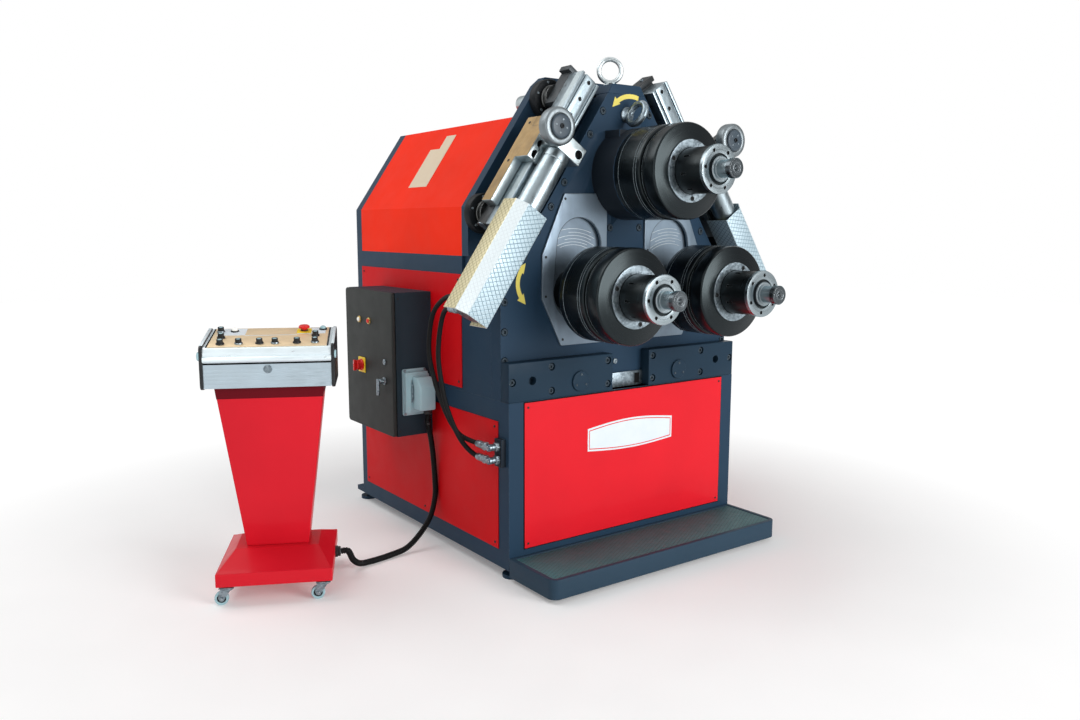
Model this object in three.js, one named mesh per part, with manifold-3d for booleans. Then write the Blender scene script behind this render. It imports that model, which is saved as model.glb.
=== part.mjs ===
// Ring roller: a hydraulic three-roll bending machine with its control console.
// Millimetres, +Z up. The machine faces -Y and its rolls turn about axes along Y.
import * as THREE from 'three';
import { mergeVertices } from 'three/addons/utils/BufferGeometryUtils.js';
import Module from 'manifold-3d';

const wasm = await Module();
wasm.setup();

// Clearances between pieces
const fit = { seat: 0.3, run: 0.6, over: 6, sink: 2 };

// Welded base and what stands in front of it
const base = {
  width: 1200, depth: 1286, bottom: 42, top: 691, wall: 12, windowLap: 34,
};
const foot = {
  padRadius: 40, padHeight: 14, studRadius: 12, studTop: 70, inset: 46, frontIn: 46,
  lugOut: 70, lugWide: 110, lugThick: 22,
};
const frontPanel = { side: 70, over: 77, under: 5, thick: 3 };
const basePanel = { front: 70, backIn: 54, over: 71, under: 78, thick: 3 };
const bodyPanel = { front: 330, backIn: 54, over: 13, under: 71, thick: 3 };
const rearPanel = { side: 95, over: 45, under: 57, thick: 3 };
const step = { reach: 280, top: 93, bottom: 18, wall: 5, corner: 35 };
const beam = {
  gapLeft: 97, gapRight: 98, height: 149, thick: 53, plateHeight: 60, plateThick: 9,
};
const pinCap = { out: 8.4, over: 54, capRadius: 40, proud: 9, radius: 30 };

// Body behind the heads
const body = { wall: 12, drop: 628, lowDrop: 127, gableDepth: 54 };
const hood = { topDrop: 84, wall: 4 };

// Heads: two upright plates with slanted shoulders
const head = { overRoll: 310.6, slope: 739.7, crownWidth: 194.6, thick: 66, skin: 10 };
const slant = Math.atan2(base.width / 2 - head.crownWidth / 2, head.slope);
const cap = { height: 39, inset: 26, depth: 136 };
const eye = {
  ringRadius: 45, wireRadius: 9.5, collarRadius: 28, collarHeight: 21.5, behind: 104,
  frontDrop: 77, frontRing: 43, frontWire: 12.5, frontReach: 63,
};
const eyeTurn = 1.95;
const topEyeTurn = 0.56;
const rearHead = { front: 278, thick: 47, rise: 75, corner: 34, narrow: 12 };

// Rolls and shafts
const roll = {
  radius: 177.6, front: -305, back: -80, chamfer: 5, ringRadius: 115, ringThick: 8,
  grooveAt: 60, grooveWide: 20, grooveDeep: 12, lineAt: 112, lineWide: 12, lineDeep: 5,
};
const shaft = {
  radius: 55, tip: -533, endRadius: 35.5, endLength: 24, stubRadius: 31, noseRadius: 46,
  noseProud: 10, tipBevel: 3,
  sleeveRadius: 84, sleeveLength: 124, ringRadius: 88, ringThick: 15, recessRadius: 55,
  recessDeep: 12, back: 400, centreRadius: 9, centreDeep: 12,
};
const upper = { rise: 453.6, housingRadius: 176 };
const stopBlock = { wide: 76, high: 86, reach: 88, x: 34, z: 82 };
const lower = { across: 0.213, rise: 399.8 };
const drive = {
  gearRadius: 118, gearLength: 210, motorRadius: 78, motorLength: 190, neckRadius: 82,
  upperGearRadius: 135,
};

// Lifting carriages of the lower rolls
const lift = { lean: THREE.MathUtils.degToRad(5.4), travel: 150, slotTravel: 178 };
const slot = { radius: 108, plateThick: 10, windowRadius: 111 };
const shield = { radius: 114, thick: 8, below: 150, gap: 1 };
const carriage = { halfWidth: 130, halfHeight: 140, back: 268, tubeRadius: 92 };
const liftCylinder = {
  y: 196, radius: 62, drop: 145.8, boreRadius: 31, rodRadius: 30, base: 42, floor: 40,
};

// Slot cover outline: places as shares of its half width and height, from the lower inner corner
const slotCover = { innerShare: 0.085, widthShare: 0.2617, drop: 206.8, height: 586 };
const slotCoverShares = [
  [0, 0], [0.713, 0], [1, 0.316], [1, 0.602], [0.669, 0.993], [0.111, 1], [0, 0.969],
];

// Slanted side guides: h is the height over the shoulder, s the way up it
const guide = {
  railLow: 47, railHigh: 141, railFront: 55, railBack: 137, railFoot: 190, railTop: 888,
  lip: 12, groove: 9, beamLow: 30, beamBack: 200, beamTop: 917, upperBeam: 752, lowerBeamTop: 340,
  tailHigh: 100, tailFoot: -60,
  beamCapHigh: 156, beamCapLength: 22,
};
const post = {
  h: 105, high: 806, low: 262, radius: 53, edge: 11.6, back: 460, flangeRadius: 78, flangeFront: 240,
};
const barrel = {
  h: 94, radius: 48, foot: -172, top: 530, boreRadius: 23, boreFoot: 290, rodRadius: 22,
  saddleWide: 60, saddleLength: 40, upperSaddle: 380, hangerAt: 50, hangerLength: 30,
  hangerFront: 20,
};
const slide = {
  outer: 180, gibFront: 120, gibBack: 181, gibFoot: 269, gibTop: 650,
  lugFront: 41, lugFoot: 463, lugTop: 604, keeperLow: 124, yokeFoot: 532, yokeFront: -36,
  yokeBack: 49, yokeLow: 10, yokeHigh: 152, innerBack: 120, holeRadius: 17, holeDeep: 24,
  holeHighH: 152, holeLowH: 34, rodFoot: 300,
};
const guideRoller = {
  s: 564, h: 199, radius: 68.4, front: -111, back: -65, bevel: 4, boreRadius: 20.5,
  axleRadius: 20, capRadius: 42, capThick: 5, armRadius: 38, armFront: -62, armLow: 130,
};
const guideCover = {
  low: 34, high: 168, front: -60, back: 56, foot: -180, top: 282, wall: 4, bevel: 37,
};

// Electrical cabinet on the left side
const cabinet = {
  front: 574, width: 446, drop: 213, height: 597, depth: 163, door: 17, wall: 3,
};
const lamp = { radius: 11, length: 12, whiteIn: 142, redIn: 235, drop: 130 };
const mainSwitch = {
  backIn: 158, drop: 326, plate: 66, plateThick: 4, knobRadius: 24, knobLength: 26, grip: 46,
  gripThick: 12, gripProud: 12,
};
const doorLock = { frontIn: 69, drop: 289, radius: 12, length: 6 };
const doorHandle = { frontIn: 73, drop: 369, hubRadius: 11, hubLength: 26, bar: 58, barThick: 12 };
const socket = { out: 90, wide: 100, depth: 30, rise: 104, height: 164 };
const plug = {
  out: 68, wide: 86, depth: 70, rise: 118, height: 134, glandRadius: 19, glandLength: 20, glandOut: 60,
};

// Cords
const conduit = { radius: 12.5, valley: 10.6, bore: 8.4, ribs: 60, points: 8, boreEvery: 5 };
const hose = { radius: 9.5, sides: 8, steps: 24 };
const portBlock = { front: 20, back: 68, thick: 20, drop: 139, height: 106 };
const fitting = { radius: 13, back: 95, upperAt: -105, lowerAt: -150, lead: 29 };

// Control console, in its own frame: u to its right, v to its back
const desk = { out: 796.8, y: 313.8, turn: -0.45 };
const deskBase = {
  halfWidth: 202, depth: 433, bottom: 76, edge: 125, top: 171, topHalfWidth: 148,
  topFront: 131, topBack: 302, wall: 4,
};
const column = {
  footHalfWidth: 111, headHalfWidth: 189, footFront: 154, footBack: 290, headFront: 92,
  headBack: 282, wall: 3,
};
const deskBox = {
  halfWidth: 230, front: 66, depth: 242, bottom: 778, frontTop: 922, backTop: 966,
  wall: 4, endCap: 12, bar: 10, barLow: 884, barHigh: 902, endProud: 5,
};
const button = {
  bezelRadius: 14.5, bezelHeight: 6, capRadius: 11, capHeight: 9, travel: 4, stemRadius: 6,
  stemLength: 14,
};
const stopButton = {
  plate: 52, plateThick: 4, radius: 20, height: 14, stemRadius: 10, stemLength: 18, travel: 6,
};
const caster = {
  u: 168, v: 36, wheelRadius: 25, wheelWidth: 20, trail: 20, forkThick: 3, forkGap: 1.5,
  axleRadius: 4, axleSides: 10, plate: 52, plateThick: 4, hubRadius: 14, postLength: 6,
};
const casterSwing = Math.PI / 2;
// Places of the buttons as shares of the panel's half width and of its depth
const buttonShares = [
  [-0.71, 0.16], [-0.44, 0.17], [-0.13, 0.17], [0.1, 0.17], [0.43, 0.17], [0.7, 0.18],
  [-0.74, 0.46], [-0.79, 0.77], [0.69, 0.5],
];
const panelLampShares = [[-0.58, 0.78], [0.79, 0.82]];
const stopShares = [0.5, 0.74];

// Power unit in the base
const tank = { width: 760, backIn: 146, depth: 500, height: 300, wall: 5 };
const pump = { motorRadius: 110, motorLength: 330, pumpRadius: 60, pumpLength: 120 };

// Places that follow from the sizes
const side0 = base.width / 2;
const lowerX = base.width * lower.across;
const lowerZ = base.top + lower.rise;
const upperZ = lowerZ + upper.rise;
const crownZ = upperZ + head.overRoll;
const shoulderZ = crownZ - head.slope;
const bodyTop = crownZ - body.drop;
const hoodShoulder = shoulderZ + (post.h + post.radius + post.edge) / Math.sin(slant);
const hoodTop = crownZ - hood.topDrop;
const rearHeadTop = crownZ + rearHead.rise;
const pinX = lowerX + pinCap.out;
const pinZ = base.top + pinCap.over;
const cabinetFoot = base.top - cabinet.drop;
const cabinetTop = cabinetFoot + cabinet.height;
const cabinetBack = cabinet.front + cabinet.width;
// Edges of the sheets: across or from front to back, then from foot to top
const frontSheet = [
  [frontPanel.side - side0, side0 - frontPanel.side],
  [base.bottom + frontPanel.over, base.top - frontPanel.under],
];
const baseSheet = [
  [basePanel.front, base.depth - basePanel.backIn],
  [base.bottom + basePanel.over, base.top - basePanel.under],
];
const bodySheet = [
  [bodyPanel.front, base.depth - bodyPanel.backIn],
  [base.top + bodyPanel.over, bodyTop - bodyPanel.under],
];
const rearSheet = [
  [rearPanel.side - side0, side0 - rearPanel.side],
  [base.top + rearPanel.over, bodyTop - rearPanel.under],
];

const paint = {
  frame: { color: 0x30373d, roughness: 0.55, metalness: 0.1 },
  face: { color: 0x465b6c, roughness: 0.5, metalness: 0.15 },
  red: { color: 0xd81e2c, roughness: 0.35, metalness: 0.05 },
  cover: { color: 0x96a4b2, roughness: 0.4, metalness: 0.4 },
  blackSteel: { color: 0x1d1f22, roughness: 0.35, metalness: 0.7 },
  brightSteel: { color: 0xb9bec2, roughness: 0.3, metalness: 0.9 },
  tread: { color: 0xc8cbcc, roughness: 0.35, metalness: 0.9 },
  aluminium: { color: 0xb4bcc2, roughness: 0.35, metalness: 0.8 },
  plastic: { color: 0x25282b, roughness: 0.6, metalness: 0 },
  greyPlastic: { color: 0x8d979f, roughness: 0.6, metalness: 0 },
  redPlastic: { color: 0xd01722, roughness: 0.4, metalness: 0 },
  rubber: { color: 0x17181a, roughness: 0.8, metalness: 0 },
};
const materials = Object.fromEntries(
  Object.entries(paint).map(([name, look]) => [name, new THREE.MeshStandardMaterial(look)]),
);

// Turns a closed three.js geometry into a solid for cutting and joining
function solid(geometry) {
  const bare = geometry.clone();
  bare.deleteAttribute('normal');
  bare.deleteAttribute('uv');
  const merged = mergeVertices(bare, 1e-4);
  return new wasm.Manifold(new wasm.Mesh({
    numProp: 3,
    vertProperties: new Float32Array(merged.attributes.position.array),
    triVerts: new Uint32Array(merged.index.array),
  }));
}

// Puts a finished solid under its parent as a named mesh
function place(parent, name, shape, material) {
  const mesh = shape.getMesh();
  const geometry = new THREE.BufferGeometry();
  geometry.setAttribute('position', new THREE.BufferAttribute(mesh.vertProperties, 3));
  geometry.setIndex(new THREE.BufferAttribute(mesh.triVerts, 1));
  const node = new THREE.Mesh(geometry, materials[material]);
  node.name = name;
  parent.add(node);
  return node;
}

const joined = (...shapes) => shapes.reduce((whole, shape) => whole.add(shape));

// A box between two values on each axis
function block([x0, x1], [y0, y1], [z0, z1]) {
  const geometry = new THREE.BoxGeometry(Math.abs(x1 - x0), Math.abs(y1 - y0), Math.abs(z1 - z0));
  geometry.translate((x0 + x1) / 2, (y0 + y1) / 2, (z0 + z1) / 2);
  return solid(geometry);
}

// A shape drawn in X and Z and pulled from y0 to y1
function pulledAlongY(shape, y0, y1, curveSegments = 6) {
  const depth = y1 - y0;
  const geometry = new THREE.ExtrudeGeometry(shape, { depth, bevelEnabled: false, curveSegments });
  geometry.rotateX(Math.PI / 2);
  geometry.translate(0, y1, 0);
  return solid(geometry);
}

function outline(points) {
  return new THREE.Shape(points.map(([x, z]) => new THREE.Vector2(x, z)));
}

// A shape drawn in Y and Z and pulled from x0 to x1
function pulledAlongX(points, x0, x1) {
  const depth = x1 - x0;
  const geometry = new THREE.ExtrudeGeometry(outline(points), { depth, bevelEnabled: false });
  geometry.rotateX(Math.PI / 2);
  geometry.rotateZ(Math.PI / 2);
  geometry.translate(x0, 0, 0);
  return solid(geometry);
}

// A round bar along Y, centred on x and z
function barAlongY(radius, y0, y1, x, z, sides = 16) {
  const geometry = new THREE.CylinderGeometry(radius, radius, y1 - y0, sides);
  geometry.translate(x, (y0 + y1) / 2, z);
  return solid(geometry);
}

function barAlongX(radius, x0, x1, y, z, sides = 12) {
  const geometry = new THREE.CylinderGeometry(radius, radius, Math.abs(x1 - x0), sides);
  geometry.rotateZ(Math.PI / 2);
  geometry.translate((x0 + x1) / 2, y, z);
  return solid(geometry);
}

function barAlongZ(radius, z0, z1, x, y, sides = 14) {
  const geometry = new THREE.CylinderGeometry(radius, radius, z1 - z0, sides);
  geometry.rotateX(Math.PI / 2);
  geometry.translate(x, y, (z0 + z1) / 2);
  return solid(geometry);
}

// The cut for a bar along Y: its facets clear the bar's own radius
function boreAlongY(radius, y0, y1, x, z, sides = 16) {
  return barAlongY(radius / Math.cos(Math.PI / sides), y0, y1, x, z, sides);
}

function boreAlongZ(radius, z0, z1, x, y, sides = 12) {
  return barAlongZ(radius / Math.cos(Math.PI / sides), z0, z1, x, y, sides);
}

// A turned piece about Y from points of radius and place
function turned(points, sides) {
  return solid(new THREE.LatheGeometry(points.map(([r, y]) => new THREE.Vector2(r, y)), sides));
}

// A stadium between two centres one above the other
function stadium(radius, low, high) {
  const shape = new THREE.Shape();
  shape.absarc(0, low, radius, Math.PI, 2 * Math.PI, false);
  shape.absarc(0, high, radius, 0, Math.PI, false);
  return shape;
}

// A point of a shoulder's frame, out along h and up along s, in X and Z
function onShoulder(side, h, s) {
  const x = base.width / 2 - s * Math.sin(slant) + h * Math.cos(slant);
  return [side * x, shoulderZ + s * Math.cos(slant) + h * Math.sin(slant)];
}

const machine = new THREE.Group();
const consoleGroup = new THREE.Group();

// Base, step and panels
function baseFrame() {
  const half = base.width / 2;
  const inner = half - base.wall;
  const out = fit.over;
  const shell = block([-half, half], [0, base.depth], [base.bottom, base.top])
    .subtract(block([-inner, inner], [base.wall, base.depth - base.wall],
      [base.bottom + base.wall, base.top + out]))
    .subtract(block(windowOf(frontSheet[0]), [-out, base.wall + out], windowOf(frontSheet[1])))
    .subtract(block([-half - out, half + out], windowOf(baseSheet[0]), windowOf(baseSheet[1])));
  return joined(shell, ...feet(), ...rearLugs(), portPlate());
}

// The window behind a sheet lies inside its edges by the lap
function windowOf([low, high]) {
  return [low + base.windowLap, high - base.windowLap];
}

function feet() {
  const rearY = base.depth + foot.lugOut / 2;
  const places = [-1, 1].flatMap((side) => [
    [side * (base.width / 2 - foot.inset), foot.frontIn], [side * (base.width / 2 - foot.inset), rearY],
  ]);
  return places.flatMap(([x, y]) => [
    barAlongZ(foot.padRadius, 0, foot.padHeight, x, y),
    barAlongZ(foot.studRadius, foot.padHeight - fit.sink, foot.studTop, x, y, 10),
  ]);
}

function rearLugs() {
  const half = base.width / 2;
  return [-1, 1].map((side) => block([side * half, side * (half - foot.lugWide)],
    [base.depth - fit.sink, base.depth + foot.lugOut],
    [base.bottom, base.bottom + foot.lugThick]));
}

// Port block with two elbows for the hydraulic hoses
function portPlate() {
  const top = base.top - portBlock.drop;
  const plate = block([-side0 - portBlock.thick, fit.sink - side0],
    [portBlock.front, portBlock.back], [top - portBlock.height, top]);
  return joined(plate, ...[hoseEnds.a, hoseEnds.b].map(([x, y, z]) => elbow(x, y, z)));
}

// An elbow that leaves the port block along -X and turns to +Y
function elbow(x, y, z) {
  const outX = -base.width / 2 - portBlock.thick + fit.sink;
  const midY = (portBlock.front + portBlock.back) / 2;
  return joined(
    barAlongX(fitting.radius, x - fitting.radius, outX, midY, z, 8),
    barAlongY(fitting.radius, midY, y - fit.seat, x, z, 8),
  );
}

function stepPlatform() {
  const raised = (inset, z0, z1) => {
    const half = base.width / 2 - inset;
    const front = inset - step.reach;
    const back = -fit.seat - inset;
    const geometry = new THREE.ExtrudeGeometry(outline([
      [-half, back], [-half, front + step.corner], [-half + step.corner, front],
      [half - step.corner, front], [half, front + step.corner], [half, back],
    ]), { depth: z1 - z0, bevelEnabled: false });
    geometry.translate(0, 0, z0);
    return solid(geometry);
  };
  return raised(0, step.bottom, step.top)
    .subtract(raised(step.wall, step.bottom - fit.over, step.top - step.wall));
}

// A sheet on the outside of a side wall
function sidePanel(side, [lengthwise, upright], thick) {
  const x0 = side * (base.width / 2 + fit.seat);
  return block([x0, x0 + side * thick], lengthwise, upright);
}

// Lower beam: two blocks, a plate across the gap, pins and lift cylinders behind the head
function lowerBeam() {
  const half = base.width / 2;
  const z0 = base.top + fit.seat;
  const back = beam.thick - fit.seat;
  const blocks = [
    block([-half, -beam.gapLeft], [0, back], [z0, z0 + beam.height]),
    block([beam.gapRight, half], [0, back], [z0, z0 + beam.height]),
    block([-beam.gapLeft - fit.sink, beam.gapRight + fit.sink], [back - beam.plateThick, back],
      [z0, z0 + beam.plateHeight]),
  ];
  const lifts = [-1, 1].flatMap((side) => [
    barAlongY(pinCap.capRadius, -pinCap.proud, fit.sink, side * pinX, pinZ, 28),
    barAlongY(pinCap.radius, 0, liftCylinder.y, side * pinX, pinZ),
    liftBarrel(side),
  ]);
  return joined(...blocks, ...lifts);
}

// The frame of a carriage: origin on the roll axis, Z along the lift
function carriageFrame(side) {
  const frame = new THREE.Group();
  frame.position.set(side * lowerX, 0, lowerZ);
  frame.rotation.y = -side * lift.lean;
  return frame;
}

// Brings a solid drawn in a carriage's frame into the machine's
function fromCarriage(side, shape) {
  const lean = THREE.MathUtils.radToDeg(-side * lift.lean);
  return shape.rotate([0, lean, 0]).translate([side * lowerX, 0, lowerZ]);
}

function liftBarrel(side) {
  const top = -liftCylinder.drop;
  const footEnd = pinZ - liftCylinder.base - lowerZ;
  const tube = barAlongZ(liftCylinder.radius, footEnd, top, 0, liftCylinder.y, 20)
    .subtract(boreAlongZ(liftCylinder.boreRadius, pinZ + liftCylinder.floor - lowerZ - fit.sink,
      top + fit.over, 0, liftCylinder.y));
  return fromCarriage(side, tube);
}

// Body: side and rear walls behind the front head
function bodyFrame() {
  const half = base.width / 2;
  const inner = half - body.wall;
  const out = fit.over;
  const front = beam.thick + head.thick + fit.seat;
  const z0 = base.top + fit.seat;
  const behindHead = rearHead.front + rearHead.thick + fit.seat;
  const walls = block([-half, half], [front, base.depth], [z0, bodyTop])
    .subtract(block([-inner, inner], [front - out, base.depth - body.wall], [z0 - out, bodyTop + out]));
  return joined(walls, gable())
    .subtract(block(
      [-half - out, half + out], [front - out, behindHead], [bodyTop - body.lowDrop, bodyTop + out],
    ))
    .subtract(block([-half - out, half + out], windowOf(bodySheet[0]), windowOf(bodySheet[1])))
    .subtract(block(windowOf(rearSheet[0]), [base.depth - body.wall - out, base.depth + out],
      windowOf(rearSheet[1])));
}

// Rear end of the body above its walls: a shallow gabled tray behind the hood
function gable() {
  const front = base.depth - body.gableDepth;
  return pulledAlongY(outline(hoodOutline(0, bodyTop - fit.sink)), front, base.depth)
    .subtract(pulledAlongY(outline(hoodOutline(body.wall, bodyTop - fit.over)), front - fit.over,
      base.depth - body.wall));
}

function hoodOutline(inset, low) {
  const half = base.width / 2 - inset;
  const rise = hoodTop - hoodShoulder;
  const topHalf = half - (rise - inset) * Math.tan(slant);
  return [[-half, low], [half, low], [half, hoodShoulder], [topHalf, hoodTop - inset],
    [-topHalf, hoodTop - inset], [-half, hoodShoulder]];
}

function hoodShell() {
  const front = rearHead.front + rearHead.thick + fit.seat;
  const back = base.depth - body.gableDepth - fit.seat;
  return pulledAlongY(outline(hoodOutline(0, bodyTop + fit.seat)), front, back)
    .subtract(pulledAlongY(
      outline(hoodOutline(hood.wall, bodyTop - fit.over)), front - fit.over, back + fit.over,
    ));
}

// Front head plate: slanted shoulders, pockets for the carriages, bearing housing of the upper roll
function frontHead() {
  const half = base.width / 2;
  const crownHalf = head.crownWidth / 2;
  const z0 = base.top + fit.seat;
  const front = beam.thick;
  const back = front + head.thick;
  const plate = pulledAlongY(outline([[-half, z0], [half, z0], [half, shoulderZ],
    [crownHalf, crownZ], [-crownHalf, crownZ], [-half, shoulderZ]]), front, back);
  const housing = barAlongY(upper.housingRadius, roll.back + fit.run, front + fit.sink, 0, upperZ, 30);
  const stop = block(
    [-stopBlock.x - stopBlock.wide, -stopBlock.x], [front - stopBlock.reach, front + fit.sink],
    [upperZ + stopBlock.z, upperZ + stopBlock.z + stopBlock.high],
  );
  const whole = joined(plate, housing, stop, frontEye());
  const cuts = [-1, 1].flatMap((side) => [
    fromCarriage(side, carriageWindow()),
    boreAlongY(pinCap.radius + fit.run, front - fit.over, back + fit.over, side * pinX, pinZ),
  ]);
  const shaftHole = boreAlongY(shaft.radius + fit.run, roll.back - fit.over, back + fit.over, 0, upperZ);
  return cuts.reduce((shape, cut) => shape.subtract(cut), whole.subtract(shaftHole));
}

// What a carriage needs of the front head: the slot in the skin, the shield's path, the guide window
function carriageWindow() {
  const skinBack = beam.thick + head.skin;
  const back = beam.thick + head.thick;
  const shieldBack = skinBack + shield.thick + 2 * shield.gap;
  const path = stadium(shield.radius + fit.run, -shield.below, lift.slotTravel + lift.travel);
  const side = carriage.halfWidth + fit.run;
  return joined(
    pulledAlongY(stadium(slot.windowRadius, 0, lift.slotTravel), beam.thick - fit.over, back),
    pulledAlongY(path, skinBack, shieldBack),
    block([-side, side], [shieldBack - fit.sink, back + fit.over],
      [-carriage.halfHeight - fit.over, carriage.halfHeight + lift.travel + fit.over]),
  );
}

// Eye bolt that stands out of the front head
function frontEye() {
  const z = crownZ - eye.frontDrop;
  const ring = new THREE.TorusGeometry(eye.frontRing, eye.frontWire, 8, 18);
  ring.rotateY(eyeTurn);
  ring.translate(0, beam.thick - eye.frontReach, z);
  const shank = barAlongY(eye.frontWire, beam.thick - eye.frontReach + eye.frontRing,
    beam.thick + fit.sink, 0, z, 12);
  return solid(ring).add(shank);
}

// Cap on the crown with the lifting eye
function headCap() {
  const crownHalf = head.crownWidth / 2;
  const z0 = crownZ + fit.seat;
  const z1 = z0 + cap.height;
  const front = beam.thick;
  const plate = pulledAlongY(outline([[-crownHalf, z0], [crownHalf, z0],
    [crownHalf - cap.inset, z1], [-crownHalf + cap.inset, z1]]), front, front + cap.depth);
  const y = front + eye.behind;
  const ring = new THREE.TorusGeometry(eye.ringRadius, eye.wireRadius, 8, 18);
  ring.rotateZ(Math.PI / 2);
  ring.rotateX(Math.PI / 2);
  ring.rotateZ(-topEyeTurn);
  ring.translate(0, y, z1 + eye.collarHeight + eye.ringRadius);
  const collar = barAlongZ(eye.collarRadius, z1 - fit.sink, z1 + eye.collarHeight, 0, y, 20);
  return joined(plate, solid(ring), collar);
}

// Rear head plate with the posts' holes and the drive of the upper roll
function rearHeadPlate() {
  const half = base.width / 2;
  const slim = half - rearHead.narrow - fit.seat;
  const topHalf = half - (rearHeadTop - hoodShoulder) * Math.tan(slant);
  const low = base.top + base.wall;
  const ledge = bodyTop + fit.seat;
  const y0 = rearHead.front;
  const y1 = rearHead.front + rearHead.thick;
  const round = rearHead.corner;
  const cornerX = half - (rearHeadTop - round - hoodShoulder) * Math.tan(slant);
  const plate = pulledAlongY(outline([[-slim, low], [slim, low], [slim, ledge], [half, ledge],
    [half, hoodShoulder], [cornerX, rearHeadTop - round], [topHalf - round / 2, rearHeadTop],
    [-topHalf + round / 2, rearHeadTop], [-cornerX, rearHeadTop - round], [-half, hoodShoulder],
    [-half, ledge], [-slim, ledge]]), y0, y1);
  const gear = barAlongY(drive.upperGearRadius, y1 - fit.sink, y1 + drive.gearLength, 0, upperZ, 20);
  const motor = barAlongY(drive.motorRadius, y1 + drive.gearLength - fit.sink,
    y1 + drive.gearLength + drive.motorLength, 0, upperZ, 20);
  const cuts = [
    boreAlongY(shaft.radius + fit.run, y0 - fit.over, shaft.back + fit.run, 0, upperZ),
    ...[-1, 1].flatMap((side) => [
      fromCarriage(side, pulledAlongY(stadium(drive.neckRadius + fit.over, 0, lift.travel),
        y0 - fit.over, y1 + fit.over)),
      ...[post.low, post.high].map((s) => {
        const [x, z] = onShoulder(side, post.h, s);
        return boreAlongY(post.radius + fit.seat, y0 - fit.over, y1 + fit.over, x, z);
      }),
    ]),
  ];
  return cuts.reduce((shape, cut) => shape.subtract(cut), joined(plate, gear, motor));
}

// Cover plate round a slot
function slotCoverPlate(side) {
  const points = slotCoverShares.map(([x, z]) => [
    side * base.width * (slotCover.innerShare + x * slotCover.widthShare),
    lowerZ - slotCover.drop + z * slotCover.height]);
  const back = beam.thick - fit.seat;
  const hole = pulledAlongY(stadium(slot.radius, 0, lift.slotTravel), back - slot.plateThick - fit.over,
    back + fit.over);
  return pulledAlongY(outline(side > 0 ? points : points.reverse()), back - slot.plateThick, back)
    .subtract(fromCarriage(side, hole))
    .subtract(boreAlongY(upper.housingRadius + fit.run, 0, beam.thick, 0, upperZ, 30));
}

// Rolls and shafts, drawn about their own axis
function bendingRoll() {
  const r = roll.radius;
  const c = roll.chamfer;
  const f = roll.front;
  const bore = shaft.radius + fit.run;
  const g = f + roll.grooveAt;
  const line = f + roll.lineAt;
  return turned([
    [bore, f - roll.ringThick], [roll.ringRadius, f - roll.ringThick], [roll.ringRadius, f],
    [r - c, f], [r, f + c], [r, g], [r - roll.grooveDeep, g + roll.grooveWide / 2],
    [r, g + roll.grooveWide], [r, line], [r - roll.lineDeep, line],
    [r - roll.lineDeep, line + roll.lineWide],
    [r, line + roll.lineWide], [r, roll.back - c], [r - c, roll.back], [bore, roll.back],
    [bore, f - roll.ringThick],
  ], 24);
}

function rollShaft() {
  const sleeveBack = roll.front - roll.ringThick - fit.seat;
  const sleeveFront = sleeveBack - shaft.sleeveLength;
  const ringFront = sleeveFront - shaft.ringThick;
  const stubFront = shaft.tip + shaft.endLength;
  const noseFront = ringFront - shaft.noseProud;
  return turned([
    [0, shaft.tip + shaft.centreDeep], [shaft.centreRadius, shaft.tip],
    [shaft.endRadius - shaft.tipBevel, shaft.tip], [shaft.endRadius, shaft.tip + shaft.tipBevel],
    [shaft.endRadius, stubFront], [shaft.stubRadius, stubFront], [shaft.stubRadius, noseFront],
    [shaft.noseRadius - shaft.tipBevel, noseFront], [shaft.noseRadius, noseFront + shaft.tipBevel],
    [shaft.noseRadius, ringFront + shaft.recessDeep], [shaft.recessRadius, ringFront + shaft.recessDeep],
    [shaft.recessRadius, ringFront], [shaft.ringRadius, ringFront], [shaft.ringRadius, sleeveFront],
    [shaft.sleeveRadius, sleeveFront], [shaft.sleeveRadius, sleeveBack], [shaft.radius, sleeveBack],
    [shaft.radius, shaft.back], [0, shaft.back],
  ], 18);
}

// Carriage of a lower roll: shield, guide block, tube, rod and drive
function carriageBody() {
  const skinBack = beam.thick + head.skin;
  const plateBack = rearHead.front + rearHead.thick;
  const shieldFront = skinBack + shield.gap;
  const shieldBack = shieldFront + shield.thick;
  const w = carriage.halfWidth;
  const whole = joined(
    pulledAlongY(stadium(shield.radius, -shield.below, lift.slotTravel), shieldFront, shieldBack),
    barAlongY(carriage.tubeRadius, roll.back + fit.run, shieldBack, 0, 0, 20),
    block([-w, w], [shieldBack - fit.sink / 2, carriage.back], [-carriage.halfHeight, carriage.halfHeight]),
    barAlongY(drive.neckRadius, carriage.back - fit.sink, plateBack + fit.over, 0, 0),
    barAlongY(drive.gearRadius, plateBack + fit.over / 2, plateBack + drive.gearLength, 0, 0, 16),
    barAlongY(drive.motorRadius, plateBack + drive.gearLength - fit.sink,
      plateBack + drive.gearLength + drive.motorLength, 0, 0, 14),
    barAlongZ(liftCylinder.rodRadius, pinZ + liftCylinder.floor - lowerZ, fit.sink - carriage.halfHeight,
      0, liftCylinder.y),
  );
  return whole.subtract(
    boreAlongY(shaft.radius + fit.run, roll.back - fit.over, shaft.back + fit.run, 0, 0),
  );
}

// Slanted guide, drawn with x out from the shoulder and z up along it
function guideFrame(side) {
  const frame = new THREE.Group();
  frame.position.set(side * (base.width / 2), 0, shoulderZ);
  frame.rotation.y = -side * slant;
  return frame;
}

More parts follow.
